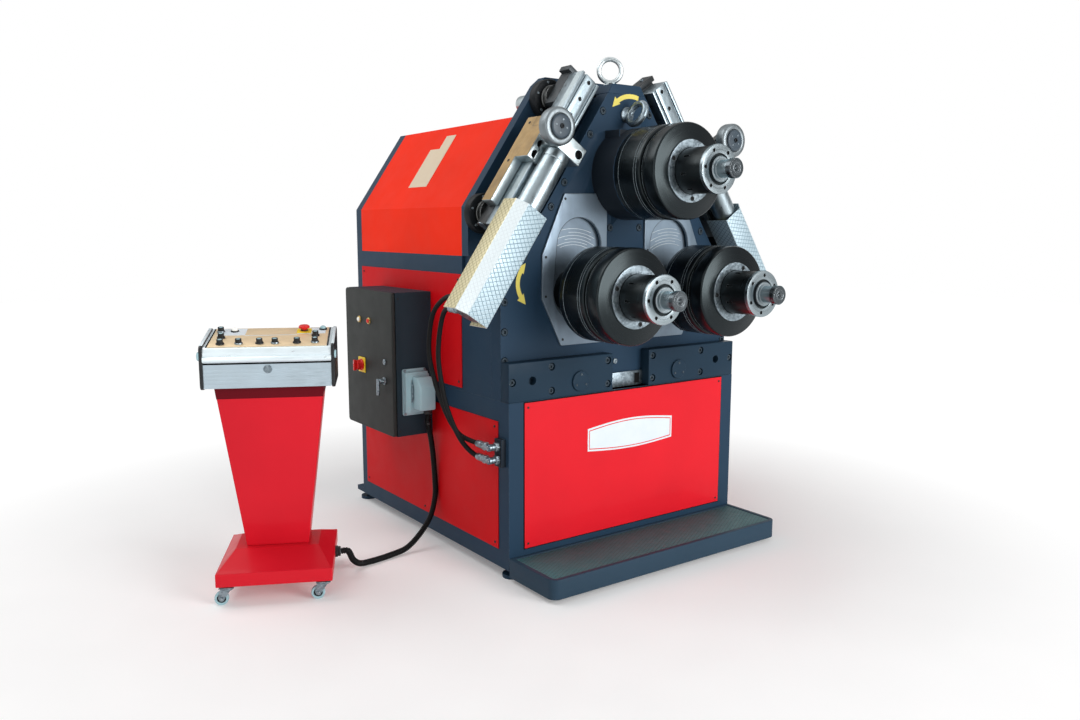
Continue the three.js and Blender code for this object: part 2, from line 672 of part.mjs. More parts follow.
function guideRail(side) {
  const out = (h0, h1) => [side * h0, side * h1];
  const g = guide;
  const section = [
    [g.railLow, g.railFront], [g.railLow + g.lip, g.railFront], [g.railLow + g.lip, g.railFront + g.groove],
    [g.railLow + g.lip + g.groove, g.railFront + g.groove], [g.railLow + g.lip + g.groove, g.railFront],
    [g.railHigh - g.lip - g.groove, g.railFront], [g.railHigh - g.lip - g.groove, g.railFront + g.groove],
    [g.railHigh - g.lip, g.railFront + g.groove], [g.railHigh - g.lip, g.railFront],
    [g.railHigh, g.railFront], [g.railHigh, g.railBack + fit.sink], [g.railLow, g.railBack + fit.sink],
  ].map(([h, y]) => [side * h, y]);
  const railShape = new THREE.ExtrudeGeometry(outline(section), {
    depth: g.railTop - g.railFoot, bevelEnabled: false,
  });
  railShape.translate(0, 0, g.railFoot);
  const posts = [post.low, post.high].flatMap((s) => [
    barAlongY(post.radius, g.beamBack - fit.sink, post.back, side * post.h, s),
    barAlongY(post.flangeRadius, post.flangeFront, rearHead.front - fit.seat, side * post.h, s, 16),
  ]);
  const whole = joined(
    solid(railShape),
    block(out(g.railLow, g.tailHigh), [g.railFront, g.railBack], [g.tailFoot, g.railFoot + fit.sink]),
    block(out(g.beamLow, g.railHigh), [g.railBack, g.beamBack], [g.railFoot, g.lowerBeamTop]),
    block(out(g.beamLow, g.railHigh), [g.railBack, g.beamBack], [g.upperBeam, g.beamTop]),
    block(out(g.beamLow, g.beamCapHigh), [g.railBack, g.beamBack], [g.beamTop - g.beamCapLength, g.beamTop]),
    barAlongZ(barrel.radius, barrel.foot, barrel.top, side * barrel.h, 0, 18),
    ...[fitting.upperAt, fitting.lowerAt].map((s) => barAlongY(
      fitting.radius, barrel.radius / 2, fitting.back, side * barrel.h, s, 8)),
    block(out(barrel.h - barrel.saddleWide / 2, barrel.h + barrel.saddleWide / 2),
      [barrel.hangerFront, g.railFront + g.lip],
      [barrel.upperSaddle, barrel.upperSaddle + barrel.saddleLength]),
    block(out(guideCover.low + guideCover.wall + fit.seat, guideCover.high - guideCover.wall - fit.seat),
      [barrel.hangerFront, g.railFront], [barrel.hangerAt, barrel.hangerAt + barrel.hangerLength]),
    block(out(g.railLow, g.railHigh), [barrel.hangerFront, g.railFront + g.lip],
      [barrel.hangerAt, barrel.hangerAt + barrel.hangerLength]),
    ...posts,
  );
  return whole.subtract(boreAlongZ(barrel.boreRadius, barrel.boreFoot, barrel.top + fit.over,
    side * barrel.h, 0, 14));
}

function guideSlide(side) {
  const out = (h0, h1) => [side * h0, side * h1];
  const low = guide.railHigh + fit.run;
  const keeperBack = guide.railFront - fit.run;
  const r = guideRoller;
  const yokeAcross = [slide.yokeFoot, slide.lugTop];
  const whole = joined(
    block(out(low, slide.outer), [slide.gibFront, slide.gibBack], [slide.gibFoot, slide.gibTop]),
    block(out(low, slide.outer), [slide.lugFront, slide.gibFront + fit.sink], [slide.lugFoot, slide.lugTop]),
    block(out(slide.keeperLow, slide.outer), [slide.lugFront, keeperBack], [slide.lugFoot, slide.lugTop]),
    block(out(slide.yokeLow, slide.yokeHigh), [slide.yokeFront, slide.yokeBack], yokeAcross),
    block(out(r.armLow, r.h), [r.armFront, slide.yokeFront + fit.sink], yokeAcross),
    barAlongY(r.armRadius, r.armFront, slide.yokeFront + fit.sink, side * r.h, r.s, 18),
    block(
      out(slide.yokeLow, guide.railLow - fit.run), [slide.yokeBack - fit.sink, slide.innerBack], yokeAcross,
    ),
    barAlongY(r.axleRadius, r.front - fit.sink, slide.yokeFront + fit.sink, side * r.h, r.s, 14),
    barAlongY(r.capRadius, r.front - fit.seat - r.capThick, r.front - fit.seat, side * r.h, r.s, 16),
    barAlongZ(barrel.rodRadius, slide.rodFoot, slide.yokeFoot + fit.sink, side * barrel.h, 0, 12),
  );
  const third = (slide.lugTop - slide.lugFoot) / 3;
  const holes = [
    [slide.holeHighH, slide.lugFoot + third / 2 + fit.over], [slide.holeHighH, slide.lugFoot + 1.5 * third],
    [slide.holeLowH, (slide.yokeFoot + slide.lugTop) / 2],
  ].map(([h, s], i) => {
    const front = i < 2 ? slide.lugFront : slide.yokeFront;
    return barAlongY(slide.holeRadius, front - fit.over, front + slide.holeDeep, side * h, s, 10);
  });
  return holes.reduce((shape, hole) => shape.subtract(hole), whole);
}

function guideRollerBody() {
  const r = guideRoller;
  return turned([
    [r.boreRadius, r.front], [r.radius - r.bevel, r.front], [r.radius, r.front + r.bevel],
    [r.radius, r.back - r.bevel], [r.radius - r.bevel, r.back], [r.boreRadius, r.back],
    [r.boreRadius, r.front],
  ], 24);
}

// Folded cover in front of the barrel: front, bevel, outer side and inner side
function guideCoverSheet(side) {
  const c = guideCover;
  const bend = c.bevel + c.wall * (Math.SQRT2 - 1);
  const points = [
    [c.low, c.back], [c.low, c.front], [c.high - c.bevel, c.front], [c.high, c.front + c.bevel],
    [c.high, c.back], [c.high - c.wall, c.back], [c.high - c.wall, c.front + bend],
    [c.high - bend, c.front + c.wall], [c.low + c.wall, c.front + c.wall], [c.low + c.wall, c.back],
  ].map(([h, y]) => [side * h, y]);
  const geometry = new THREE.ExtrudeGeometry(outline(points), {
    depth: c.top - c.foot, bevelEnabled: false,
  });
  geometry.translate(0, 0, c.foot);
  return solid(geometry);
}

// Electrical cabinet
function cabinetBox() {
  const inner = -base.width / 2 - fit.seat - bodyPanel.thick - fit.seat;
  const outer = inner - cabinet.depth;
  const w = cabinet.wall;
  const shell = block([outer, inner], [cabinet.front, cabinetBack], [cabinetFoot, cabinetTop])
    .subtract(block([outer - fit.over, inner - w], [cabinet.front + w, cabinetBack - w],
      [cabinetFoot + w, cabinetTop - w]));
  const x = -side0 - socket.out;
  const z = cabinetFoot + socket.rise;
  const socketBody = block([x - socket.wide / 2, x + socket.wide / 2],
    [cabinet.front - socket.depth, cabinet.front + fit.sink / 2], [z, z + socket.height]);
  return shell.add(socketBody);
}

// The span of a width about its middle
function around(middle, width) {
  return [middle - width / 2, middle + width / 2];
}

const switchY = cabinetBack - mainSwitch.backIn;
const switchZ = cabinetTop - mainSwitch.drop;
const doorX = -base.width / 2 - 2 * fit.seat - bodyPanel.thick - cabinet.depth - fit.run;

function cabinetDoor() {
  const face = doorX - cabinet.door;
  const leaf = block([face, doorX], [cabinet.front, cabinetBack], [cabinetFoot, cabinetTop]);
  const lamps = [lamp.whiteIn, lamp.redIn].map((back) => barAlongX(
    lamp.radius, face - lamp.length, face + fit.sink, cabinetBack - back, cabinetTop - lamp.drop, 12));
  const s = mainSwitch;
  const plateSpan = [face - s.plateThick, face + fit.sink];
  const plate = block(plateSpan, around(switchY, s.plate), around(switchZ, s.plate));
  const lock = barAlongX(doorLock.radius, face - doorLock.length, face + fit.sink,
    cabinet.front + doorLock.frontIn, cabinetTop - doorLock.drop, 12);
  return joined(leaf, ...lamps, plate, lock);
}

function mainSwitchKnob() {
  const s = mainSwitch;
  const face = doorX - cabinet.door - s.plateThick - fit.seat;
  return joined(
    barAlongX(s.knobRadius, face - s.knobLength, face, switchY, switchZ, 20),
    block([face - s.knobLength - s.gripProud, face - s.knobLength + fit.sink],
      around(switchY, s.gripThick), around(switchZ, s.grip)),
  );
}

function doorHandleBody() {
  const h = doorHandle;
  const face = doorX - cabinet.door - fit.seat;
  const y = cabinet.front + h.frontIn;
  const z = cabinetTop - h.drop;
  return joined(
    barAlongX(h.hubRadius, face - h.hubLength, face, y, z, 14),
    block([face - h.hubLength - h.barThick, face - h.hubLength + fit.sink],
      around(y, h.barThick), [z - h.bar, z + h.barThick]),
  );
}

// Plug hood on the cabinet's socket, with the gland of the conduit below
function controlPlug() {
  const back = cabinet.front - socket.depth - fit.seat;
  const front = back - plug.depth;
  const bevel = plug.depth / 2;
  const top = plugFoot + plug.height;
  const hoodShape = pulledAlongX([
    [back, plugFoot], [front, plugFoot], [front, top - bevel], [front + bevel, top], [back, top],
  ], ...around(-side0 - plug.out, plug.wide));
  const gland = barAlongZ(plug.glandRadius, plugFoot - plug.glandLength, plugFoot + fit.sink,
    conduitStart.x, conduitStart.y, 14);
  return hoodShape.add(gland);
}

const plugFoot = cabinetFoot + plug.rise;
const conduitStart = new THREE.Vector2(
  -side0 - plug.glandOut, cabinet.front - socket.depth - plug.depth / 2,
);

// Console: base, column, box and panel, drawn with the desk's front along -Y
function deskBaseBody() {
  const b = deskBase;
  const skirt = block([-b.halfWidth, b.halfWidth], [0, b.depth], [b.bottom, b.edge]);
  const hollow = block([-b.halfWidth + b.wall, b.halfWidth - b.wall], [b.wall, b.depth - b.wall],
    [b.bottom - fit.over, b.edge - b.wall]);
  const cone = frustum(
    [-b.halfWidth, b.halfWidth, 0, b.depth, b.edge - fit.sink / 2],
    [-b.topHalfWidth, b.topHalfWidth, b.topFront, b.topBack, b.top],
  );
  const rearForks = [-1, 1].map((side) => casterFork()
    .rotate([0, 0, THREE.MathUtils.radToDeg(casterSwing)])
    .translate([side * caster.u, b.depth - caster.v, 0]));
  const seats = [-1, 1].flatMap((side) => [caster.v, b.depth - caster.v].map((v) => barAlongZ(
    caster.hubRadius, casterTop, b.edge - b.wall / 2, side * caster.u, v, 12)));
  const entry = barAlongX(plug.glandRadius, b.halfWidth - fit.sink, b.halfWidth + plug.glandLength,
    conduitPort.v, conduitPort.z, 14);
  return joined(skirt.subtract(hollow), cone, ...rearForks, ...seats, entry);
}

const conduitPort = { v: 240, z: 100 };
const casterTop = deskBase.bottom - caster.postLength;

// A closed body between two level rectangles
function frustum([x0, x1, y0, y1, z], [tx0, tx1, ty0, ty1, tz]) {
  const corners = [
    [x0, y0, z], [x1, y0, z], [x1, y1, z], [x0, y1, z],
    [tx0, ty0, tz], [tx1, ty0, tz], [tx1, ty1, tz], [tx0, ty1, tz],
  ];
  const quads = [[0, 3, 2, 1], [4, 5, 6, 7], [0, 1, 5, 4], [1, 2, 6, 5], [2, 3, 7, 6], [3, 0, 4, 7]];
  const geometry = new THREE.BufferGeometry();
  geometry.setAttribute('position', new THREE.Float32BufferAttribute(corners.flat(), 3));
  geometry.setIndex(quads.flatMap(([a, b, c, d]) => [a, b, c, a, c, d]));
  return solid(geometry);
}

function columnBody() {
  const c = column;
  const z0 = deskBase.top + fit.seat;
  const z1 = deskBox.bottom - fit.seat;
  const outside = frustum(
    [-c.footHalfWidth, c.footHalfWidth, c.footFront, c.footBack, z0],
    [-c.headHalfWidth, c.headHalfWidth, c.headFront, c.headBack, z1],
  );
  const w = c.wall;
  const inside = frustum(
    [-c.footHalfWidth + w, c.footHalfWidth - w, c.footFront + w, c.footBack - w, z0 - fit.seat],
    [-c.headHalfWidth + w, c.headHalfWidth - w, c.headFront + w, c.headBack - w, z1 + fit.seat],
  );
  return outside.subtract(inside);
}

// Height of the sloping panel over the desk's floor at a depth v
function panelHeight(v) {
  const share = (v - deskBox.front) / deskBox.depth;
  return deskBox.frontTop + share * (deskBox.backTop - deskBox.frontTop);
}
const panelTilt = Math.atan2(deskBox.backTop - deskBox.frontTop, deskBox.depth);

// A place on the panel from shares of its half width and depth
function panelPlace([across, deep]) {
  const v = deskBox.front + deep * deskBox.depth;
  return new THREE.Vector3(across * deskBox.halfWidth, v, panelHeight(v));
}

function deskBoxBody() {
  const d = deskBox;
  const back = d.front + d.depth;
  const w = d.wall;
  const ends = d.halfWidth - d.endCap;
  const outside = pulledAlongX([
    [d.front, d.bottom], [back, d.bottom], [back, d.backTop], [d.front, d.frontTop],
    [d.front, d.barHigh], [d.front - d.bar, d.barHigh - d.bar / 2], [d.front - d.bar, d.barLow + d.bar / 2],
    [d.front, d.barLow],
  ], -ends, ends);
  const inside = pulledAlongX([
    [d.front + w, d.bottom + w], [back - w, d.bottom + w],
    [back - w, d.backTop - w], [d.front + w, d.frontTop - w],
  ], -ends + w, ends - w);
  const p = d.endProud;
  const endShape = [
    [d.front - p, d.bottom - p], [back + p, d.bottom - p],
    [back + p, d.backTop + p], [d.front - p, d.frontTop + p],
  ];
  const caps = [-1, 1].map((side) => {
    const [x0, x1] = side < 0 ? [-d.halfWidth, -ends + fit.sink / 2] : [ends - fit.sink / 2, d.halfWidth];
    return pulledAlongX(endShape, x0, x1);
  });
  const bezels = [...buttonShares, ...panelLampShares].map((shares) => onPanel(shares,
    barAlongZ(button.bezelRadius, -fit.sink / 2, button.bezelHeight, 0, 0, 10)));
  const lamps = panelLampShares.map((shares) => onPanel(shares,
    barAlongZ(button.capRadius, 0, button.bezelHeight + button.capHeight, 0, 0, 10)));
  const stopPlate = onPanel(stopShares, block([-stopButton.plate / 2, stopButton.plate / 2],
    [-stopButton.plate / 2, stopButton.plate / 2], [-fit.sink / 2, stopButton.plateThick]));
  const holes = [
    ...buttonShares.map((shares) => onPanel(shares, boreAlongZ(button.stemRadius + fit.seat,
      -button.stemLength - fit.over, button.bezelHeight + fit.over, 0, 0, 8))),
    onPanel(stopShares, boreAlongZ(stopButton.stemRadius + fit.seat,
      -stopButton.stemLength - fit.over, stopButton.plateThick + fit.over, 0, 0, 10)),
  ];
  const openFoot = block([-column.headHalfWidth / 2, column.headHalfWidth / 2],
    [column.headFront + column.wall * 4, column.headBack - column.wall * 4],
    [d.bottom - fit.over, d.bottom + w + fit.over]);
  const shell = outside.subtract(inside).subtract(openFoot);
  const whole = joined(shell, ...caps, ...bezels, ...lamps, stopPlate);
  return holes.reduce((shape, hole) => shape.subtract(hole), whole);
}

// Turns a solid drawn over a level face onto the sloping panel
function onPanel(shares, shape) {
  const spot = panelPlace(shares);
  const tilt = THREE.MathUtils.radToDeg(panelTilt);
  return shape.rotate([tilt, 0, 0]).translate([spot.x, spot.y, spot.z]);
}

function pushButton() {
  const top = button.bezelHeight + button.travel + fit.run;
  return joined(
    barAlongZ(button.capRadius, top, top + button.capHeight, 0, 0, 12),
    barAlongZ(button.stemRadius, -button.stemLength, top + fit.sink, 0, 0, 8),
  );
}

function emergencyStop() {
  const top = stopButton.plateThick + stopButton.travel + fit.run;
  return joined(
    barAlongZ(stopButton.radius, top, top + stopButton.height, 0, 0, 16),
    barAlongZ(stopButton.stemRadius, -stopButton.stemLength, top + fit.sink, 0, 0, 12),
  );
}

// A caster's fork about its swivel axis, and its wheel about the axle
function casterFork() {
  const c = caster;
  const half = c.wheelWidth / 2 + c.forkGap;
  const top = casterTop - fit.seat;
  const plate = block([-c.plate / 2, c.plate / 2], [-c.plate / 2, c.plate / 2], [top - c.plateThick, top]);
  const cheeks = [-1, 1].map((side) => block([side * half, side * (half + c.forkThick)],
    [c.trail - c.hubRadius, c.trail + c.hubRadius], [c.wheelRadius - c.axleRadius * 2, top - fit.sink / 2]));
  const reach = half + fit.sink / 2;
  const axle = barAlongX(c.axleRadius, -reach, reach, c.trail, c.wheelRadius, c.axleSides);
  const swivelPost = barAlongZ(c.hubRadius / 2, top - fit.sink, casterTop + fit.sink, 0, 0, 10);
  return joined(plate, ...cheeks, axle, swivelPost);
}

function swivelFork() {
  const c = caster;
  const cut = block([-c.plate, c.plate], [-c.plate, c.plate], [casterTop - fit.seat, deskBase.bottom]);
  return casterFork().subtract(cut);
}

function casterWheel() {
  const c = caster;
  return barAlongX(c.wheelRadius, -c.wheelWidth / 2, c.wheelWidth / 2, 0, 0, 18)
    .subtract(barAlongX(
      (c.axleRadius + fit.run / 2) / Math.cos(Math.PI / c.axleSides), -c.wheelWidth, c.wheelWidth,
      0, 0, c.axleSides,
    ));
}

// Hydraulic power unit: tank, motor on top and pump
function powerUnit() {
  const half = tank.width / 2;
  const z0 = base.bottom + base.wall + fit.seat;
  const z1 = z0 + tank.height;
  const back = base.depth - tank.backIn;
  const y = back - tank.depth / 2;
  const z = z1 + pump.motorRadius - tank.wall;
  return joined(
    block([-half, half], [back - tank.depth, back], [z0, z1]),
    barAlongX(pump.motorRadius, -pump.motorLength / 2, pump.motorLength / 2, y, z, 24),
    barAlongX(
      pump.pumpRadius, pump.motorLength / 2 - fit.sink, pump.motorLength / 2 + pump.pumpLength, y, z, 16,
    ),
  );
}

// Cord routes, chosen by hand: out from the left side, from front to back, over the base's top
const hosePorts = { a: [54, 120, -167], b: [54, 118, -217] };
const hosePoints = {
  a: [[54, 150, -167], [80, 220, -147], [105, 246, -99], [120, 300, -9], [122, 346, 69], [122, 379, 162],
    [122, 358, 285], [122, 325, 335], [122, 250, 381], [132, 165, 395]],
  b: [[54, 148, -217], [72, 184, -191], [115, 183, -128], [135, 228, -24], [145, 245, 65], [150, 256, 155],
    [152, 239, 258], [155, 200, 333], [162, 150, 355]],
};
// The conduit's fall from its gland, as shares of the gland's height, and its run along the floor
const conduitFallShares = [[50, 529, 0.9276], [32, 532, 0.7643], [18, 535, 0.4933], [18, 535, 0.3717],
  [42, 530, 0.2328]];
const conduitFloor = [[67, 526, 98], [122, 515, 50], [175, 505, 22], [253, 491, 14], [344, 474, 14],
  [400, 464, 20], [436, 446, 48]];

function beside([out, y, z]) {
  return [-side0 - out, y, z];
}

function hoseEnd([out, y, up]) {
  return beside([out, y, base.top + up]);
}
const hoseEnds = { a: hoseEnd(hosePorts.a), b: hoseEnd(hosePorts.b) };

// A hose from its port block to the barrel's fitting
function hoseRoute(key, at) {
  const [x, z] = onShoulder(-1, barrel.h, at);
  return [hoseEnds[key], ...hosePoints[key].map(hoseEnd), [x, fitting.back + fitting.lead, z],
    [x, fitting.back + fit.seat, z]];
}

function curveThrough(points) {
  const knots = points.map(([x, y, z]) => new THREE.Vector3(x, y, z));
  return new THREE.CatmullRomCurve3(knots, false, 'centripetal');
}

function hoseTube(route) {
  const section = new THREE.Shape();
  section.absarc(0, 0, hose.radius, 0, 2 * Math.PI, false);
  const geometry = new THREE.ExtrudeGeometry(section, {
    extrudePath: curveThrough(route), steps: hose.steps, curveSegments: hose.sides / 2, bevelEnabled: false,
  });
  return solid(geometry);
}

// Rings of a tube along a curve, joined into one closed surface with its bore
function ribbedTube(curve) {
  const c = conduit;
  const frames = curve.computeFrenetFrames(c.ribs, false);
  const positions = [];
  const rings = [];
  const addRing = (share, radius) => {
    const k = Math.min(c.ribs, Math.round(share * c.ribs));
    const centre = curve.getPointAt(Math.min(1, share));
    const ring = [];
    for (let i = 0; i < c.points; i += 1) {
      const angle = (2 * Math.PI * i) / c.points;
      const offset = frames.normals[k].clone().multiplyScalar(Math.cos(angle) * radius)
        .addScaledVector(frames.binormals[k], Math.sin(angle) * radius);
      ring.push(positions.length / 3);
      positions.push(...centre.clone().add(offset).toArray());
    }
    rings.push(ring);
  };
  for (let i = 0; i <= c.ribs; i += 1) {
    addRing(i / c.ribs, c.valley);
    if (i < c.ribs) addRing((i + 0.5) / c.ribs, c.radius);
  }
  for (let i = c.ribs; i >= 0; i -= c.boreEvery) {
    addRing(i / c.ribs, c.bore);
  }
  rings.push(rings[0]);
  const faces = [];
  rings.slice(1).forEach((ring, n) => {
    const last = rings[n];
    ring.forEach((corner, i) => {
      const next = (i + 1) % c.points;
      faces.push(last[i], last[next], corner, last[next], ring[next], corner);
    });
  });
  const geometry = new THREE.BufferGeometry();
  geometry.setAttribute('position', new THREE.Float32BufferAttribute(positions, 3));
  geometry.setIndex(faces);
  return solid(geometry);
}

// Where the conduit meets the console's gland, in the machine's frame
function conduitEnd(beyond) {
  const outward = deskBase.halfWidth + plug.glandLength + beyond;
  const local = new THREE.Vector3(outward, conduitPort.v, conduitPort.z);
  local.applyAxisAngle(new THREE.Vector3(0, 0, 1), desk.turn);
  return [local.x - side0 - desk.out, local.y + desk.y, local.z];
}

// Assembly
function addBody() {
  place(machine, 'base_frame', baseFrame(), 'frame');
  const frontSpan = [-fit.seat - frontPanel.thick, -fit.seat];
  place(machine, 'front_panel', block(frontSheet[0], frontSpan, frontSheet[1]), 'red');
  place(machine, 'left_base_panel', sidePanel(-1, baseSheet, basePanel.thick), 'red');
  place(machine, 'right_base_panel', sidePanel(1, baseSheet, basePanel.thick), 'red');
  place(machine, 'step_platform', stepPlatform(), 'frame');
  place(machine, 'lower_beam', lowerBeam(), 'face');
  place(machine, 'body_frame', bodyFrame(), 'frame');
  place(machine, 'left_body_panel', sidePanel(-1, bodySheet, bodyPanel.thick), 'red');
  place(machine, 'right_body_panel', sidePanel(1, bodySheet, bodyPanel.thick), 'red');
  place(machine, 'rear_panel', block(rearSheet[0],
    [base.depth + fit.seat, base.depth + fit.seat + rearPanel.thick], rearSheet[1]), 'red');
  place(machine, 'hood', hoodShell(), 'red');
  place(machine, 'rear_head_plate', rearHeadPlate(), 'face');
  place(machine, 'front_head_plate', frontHead(), 'face');
  place(machine, 'head_cap', headCap(), 'face');
  place(machine, 'left_slot_cover', slotCoverPlate(-1), 'cover');
  place(machine, 'right_slot_cover', slotCoverPlate(1), 'cover');
  place(machine, 'power_unit', powerUnit(), 'frame');
}

function addRolls() {
  const top = new THREE.Group();
  top.position.z = upperZ;
  machine.add(top);
  place(top, 'upper_shaft', rollShaft(), 'brightSteel');
  place(top, 'upper_roll', bendingRoll(), 'blackSteel');
  [['left', -1], ['right', 1]].forEach(([name, side]) => {
    const frame = carriageFrame(side);
    machine.add(frame);
    place(frame, `${name}_carriage`, carriageBody(), 'cover');
    place(frame, `${name}_lower_shaft`, rollShaft(), 'brightSteel');
    place(frame, `${name}_lower_roll`, bendingRoll(), 'blackSteel');
  });
}

function addGuides() {
  [['left', -1], ['right', 1]].forEach(([name, side]) => {
    const frame = guideFrame(side);
    machine.add(frame);
    place(frame, `${name}_guide_rail`, guideRail(side), 'brightSteel');
    place(frame, `${name}_guide_slide`, guideSlide(side), 'brightSteel');
    place(frame, `${name}_guide_cover`, guideCoverSheet(side), 'tread');
    const wheel = place(frame, `${name}_guide_roller`, guideRollerBody(), 'brightSteel');
    wheel.position.set(side * guideRoller.h, 0, guideRoller.s);
  });
}

function addCabinet() {
  place(machine, 'cabinet_box', cabinetBox(), 'frame');
  place(machine, 'cabinet_door', cabinetDoor(), 'frame');
  place(machine, 'main_switch', mainSwitchKnob(), 'redPlastic');
  place(machine, 'door_handle', doorHandleBody(), 'brightSteel');
  place(machine, 'control_plug', controlPlug(), 'greyPlastic');
}

function addConsole() {
  consoleGroup.position.set(-side0 - desk.out, desk.y, 0);
  consoleGroup.rotation.z = desk.turn;
  machine.add(consoleGroup);
  place(consoleGroup, 'console_base', deskBaseBody(), 'red');
  place(consoleGroup, 'console_column', columnBody(), 'red');
  place(consoleGroup, 'console_box', deskBoxBody(), 'aluminium');
  buttonShares.forEach((shares, i) => {
    place(consoleGroup, `push_button_${i + 1}`, onPanel(shares, pushButton()), 'plastic');
  });
  place(consoleGroup, 'emergency_stop', onPanel(stopShares, emergencyStop()), 'redPlastic');
  [['left', -1], ['right', 1]].forEach(([name, side]) => {
    const x = side * caster.u;
    const swivel = place(consoleGroup, `front_${name}_caster_fork`, swivelFork(), 'brightSteel');
    swivel.position.set(x, caster.v, 0);
    swivel.rotation.z = casterSwing;
    [['front', caster.v], ['rear', deskBase.depth - caster.v]].forEach(([end, v]) => {
      const wheel = place(consoleGroup, `${end}_${name}_caster_wheel`, casterWheel(), 'greyPlastic');
      wheel.position.set(x - caster.trail * Math.sin(casterSwing), v + caster.trail * Math.cos(casterSwing),
        caster.wheelRadius);
      wheel.rotation.z = casterSwing;
    });
  });
}

function addCords() {
  const start = plugFoot - plug.glandLength - fit.seat;
  const drop = plug.glandLength;
  const fall = conduitFallShares.map(([out, y, share]) => beside([out, y, share * start]));
  const route = [
    [conduitStart.x, conduitStart.y, start], [conduitStart.x, conduitStart.y, start - drop],
    ...fall, ...conduitFloor.map(beside), conduitEnd(2 * conduit.radius), conduitEnd(fit.seat),
  ];
  place(machine, 'control_conduit', ribbedTube(curveThrough(route)), 'rubber');
  place(machine, 'upper_hose', hoseTube(hoseRoute('a', fitting.upperAt)), 'rubber');
  place(machine, 'lower_hose', hoseTube(hoseRoute('b', fitting.lowerAt)), 'rubber');
}

addBody();
addRolls();
addGuides();
addCabinet();
addConsole();
addCords();

// The whole part stands on the floor, centred under its bounding box without the cords
const cordNames = ['control_conduit', 'upper_hose', 'lower_hose'];
machine.updateMatrixWorld(true);
const bounds = new THREE.Box3();
machine.traverse((node) => {
  if (node.isMesh && !cordNames.includes(node.name)) bounds.expandByObject(node, true);
});
const centre = bounds.getCenter(new THREE.Vector3());
machine.position.set(-centre.x, -centre.y, -bounds.min.z);

export default machine;
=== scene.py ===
"""Looks of the ring roller: smooth turned parts, painted plates, sheet metal, cords and studio.

Local shapes are drawn in millimetres in a machine, guide or console frame, then put in the row
frame in metres, so a finished piece's object sits at the origin and its place is in its mesh.
"""

import logging
import math
from dataclasses import dataclass
from enum import Enum

import bpy
from mathutils import Matrix, Vector


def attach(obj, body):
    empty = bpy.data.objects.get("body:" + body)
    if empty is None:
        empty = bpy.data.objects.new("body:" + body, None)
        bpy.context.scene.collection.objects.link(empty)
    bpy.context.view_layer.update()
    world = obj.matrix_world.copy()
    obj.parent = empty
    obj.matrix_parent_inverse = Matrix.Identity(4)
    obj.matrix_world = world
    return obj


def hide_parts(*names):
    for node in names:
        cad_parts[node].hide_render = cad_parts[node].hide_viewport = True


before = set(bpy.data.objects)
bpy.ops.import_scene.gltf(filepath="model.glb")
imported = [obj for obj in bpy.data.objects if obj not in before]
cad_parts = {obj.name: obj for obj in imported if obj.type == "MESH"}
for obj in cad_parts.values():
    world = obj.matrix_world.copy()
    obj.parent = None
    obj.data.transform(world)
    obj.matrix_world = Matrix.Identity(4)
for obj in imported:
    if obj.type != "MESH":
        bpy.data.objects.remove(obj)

logging.basicConfig(level=logging.INFO, format="%(message)s")
log = logging.getLogger("ring_roller")

Point = tuple[float, float]
Span = tuple[float, float]
Triple = tuple[float, float, float]

WHITE = (1.0, 1.0, 1.0, 1.0)
MM = Matrix.Scale(0.001, 4)
MACHINE = Matrix.Translation((0.369283, -0.414, 0.0)) @ MM
SLANT = math.atan2(502.7, 739.7)
DESK_TURN = -0.45
SHOULDER = (600.0, 1115.3)
UPPER_AXIS = (0.0, 1544.4)
LOWER_AXIS = (255.6, 1090.8)
SIDES = ((-1, "left"), (1, "right"))


class Axis(Enum):
    """An axis that a shape is drawn along, with the two axes that it is drawn in."""

    X = (0, 1, 2)
    Y = (1, 0, 2)
    Z = (2, 0, 1)

    def point(self, a: float, b: float, along: float) -> Vector:
        """Puts a drawn point in space.

        Args:
            a: The first drawn coordinate.
            b: The second drawn coordinate.
            along: The place along the axis.

        Returns:
            The point.
        """
        place = [0.0, 0.0, 0.0]
        place[self.value[0]] = along
        place[self.value[1]] = a
        place[self.value[2]] = b
        return Vector(place)

    def direction(self) -> Vector:
        """Gives the unit vector of the axis.

        Returns:
            The direction.
        """
        return self.point(0.0, 0.0, 1.0)


def guide_frame(side: int) -> Matrix:
    """Gives the frame of a slanted guide: x out from the shoulder, z up along it.

    Args:
        side: -1 for the left guide and 1 for the right one.

    Returns:
        The frame.
    """
    turn = Matrix.Rotation(-side * SLANT, 4, "Y")
    return MACHINE @ Matrix.Translation((side * SHOULDER[0], 0.0, SHOULDER[1])) @ turn


CONSOLE = MACHINE @ Matrix.Translation((-1396.8, 313.8, 0.0)) @ Matrix.Rotation(DESK_TURN, 4, "Z")


def rounded(points: list[Point], radius: float, segments: int = 4) -> list[Point]:
    """Rounds each corner of a closed outline.

    Args:
        points: The outline's corners in order.
        radius: The corner radius, made less where an edge is short.
        segments: The number of edges in each corner.

    Returns:
        The outline with its corners rounded.
    """
    found = []
    for i, corner in enumerate(points):
        here = Vector(corner)
        before = Vector(points[i - 1]) - here
        after = Vector(points[(i + 1) % len(points)]) - here
        reach = min(radius, before.length * 0.45, after.length * 0.45)
        start = here + before.normalized() * reach
        end = here + after.normalized() * reach
        for k in range(segments + 1):
            t = k / segments
            found.append(tuple((1 - t) ** 2 * start + 2 * t * (1 - t) * here + t * t * end))
    return found


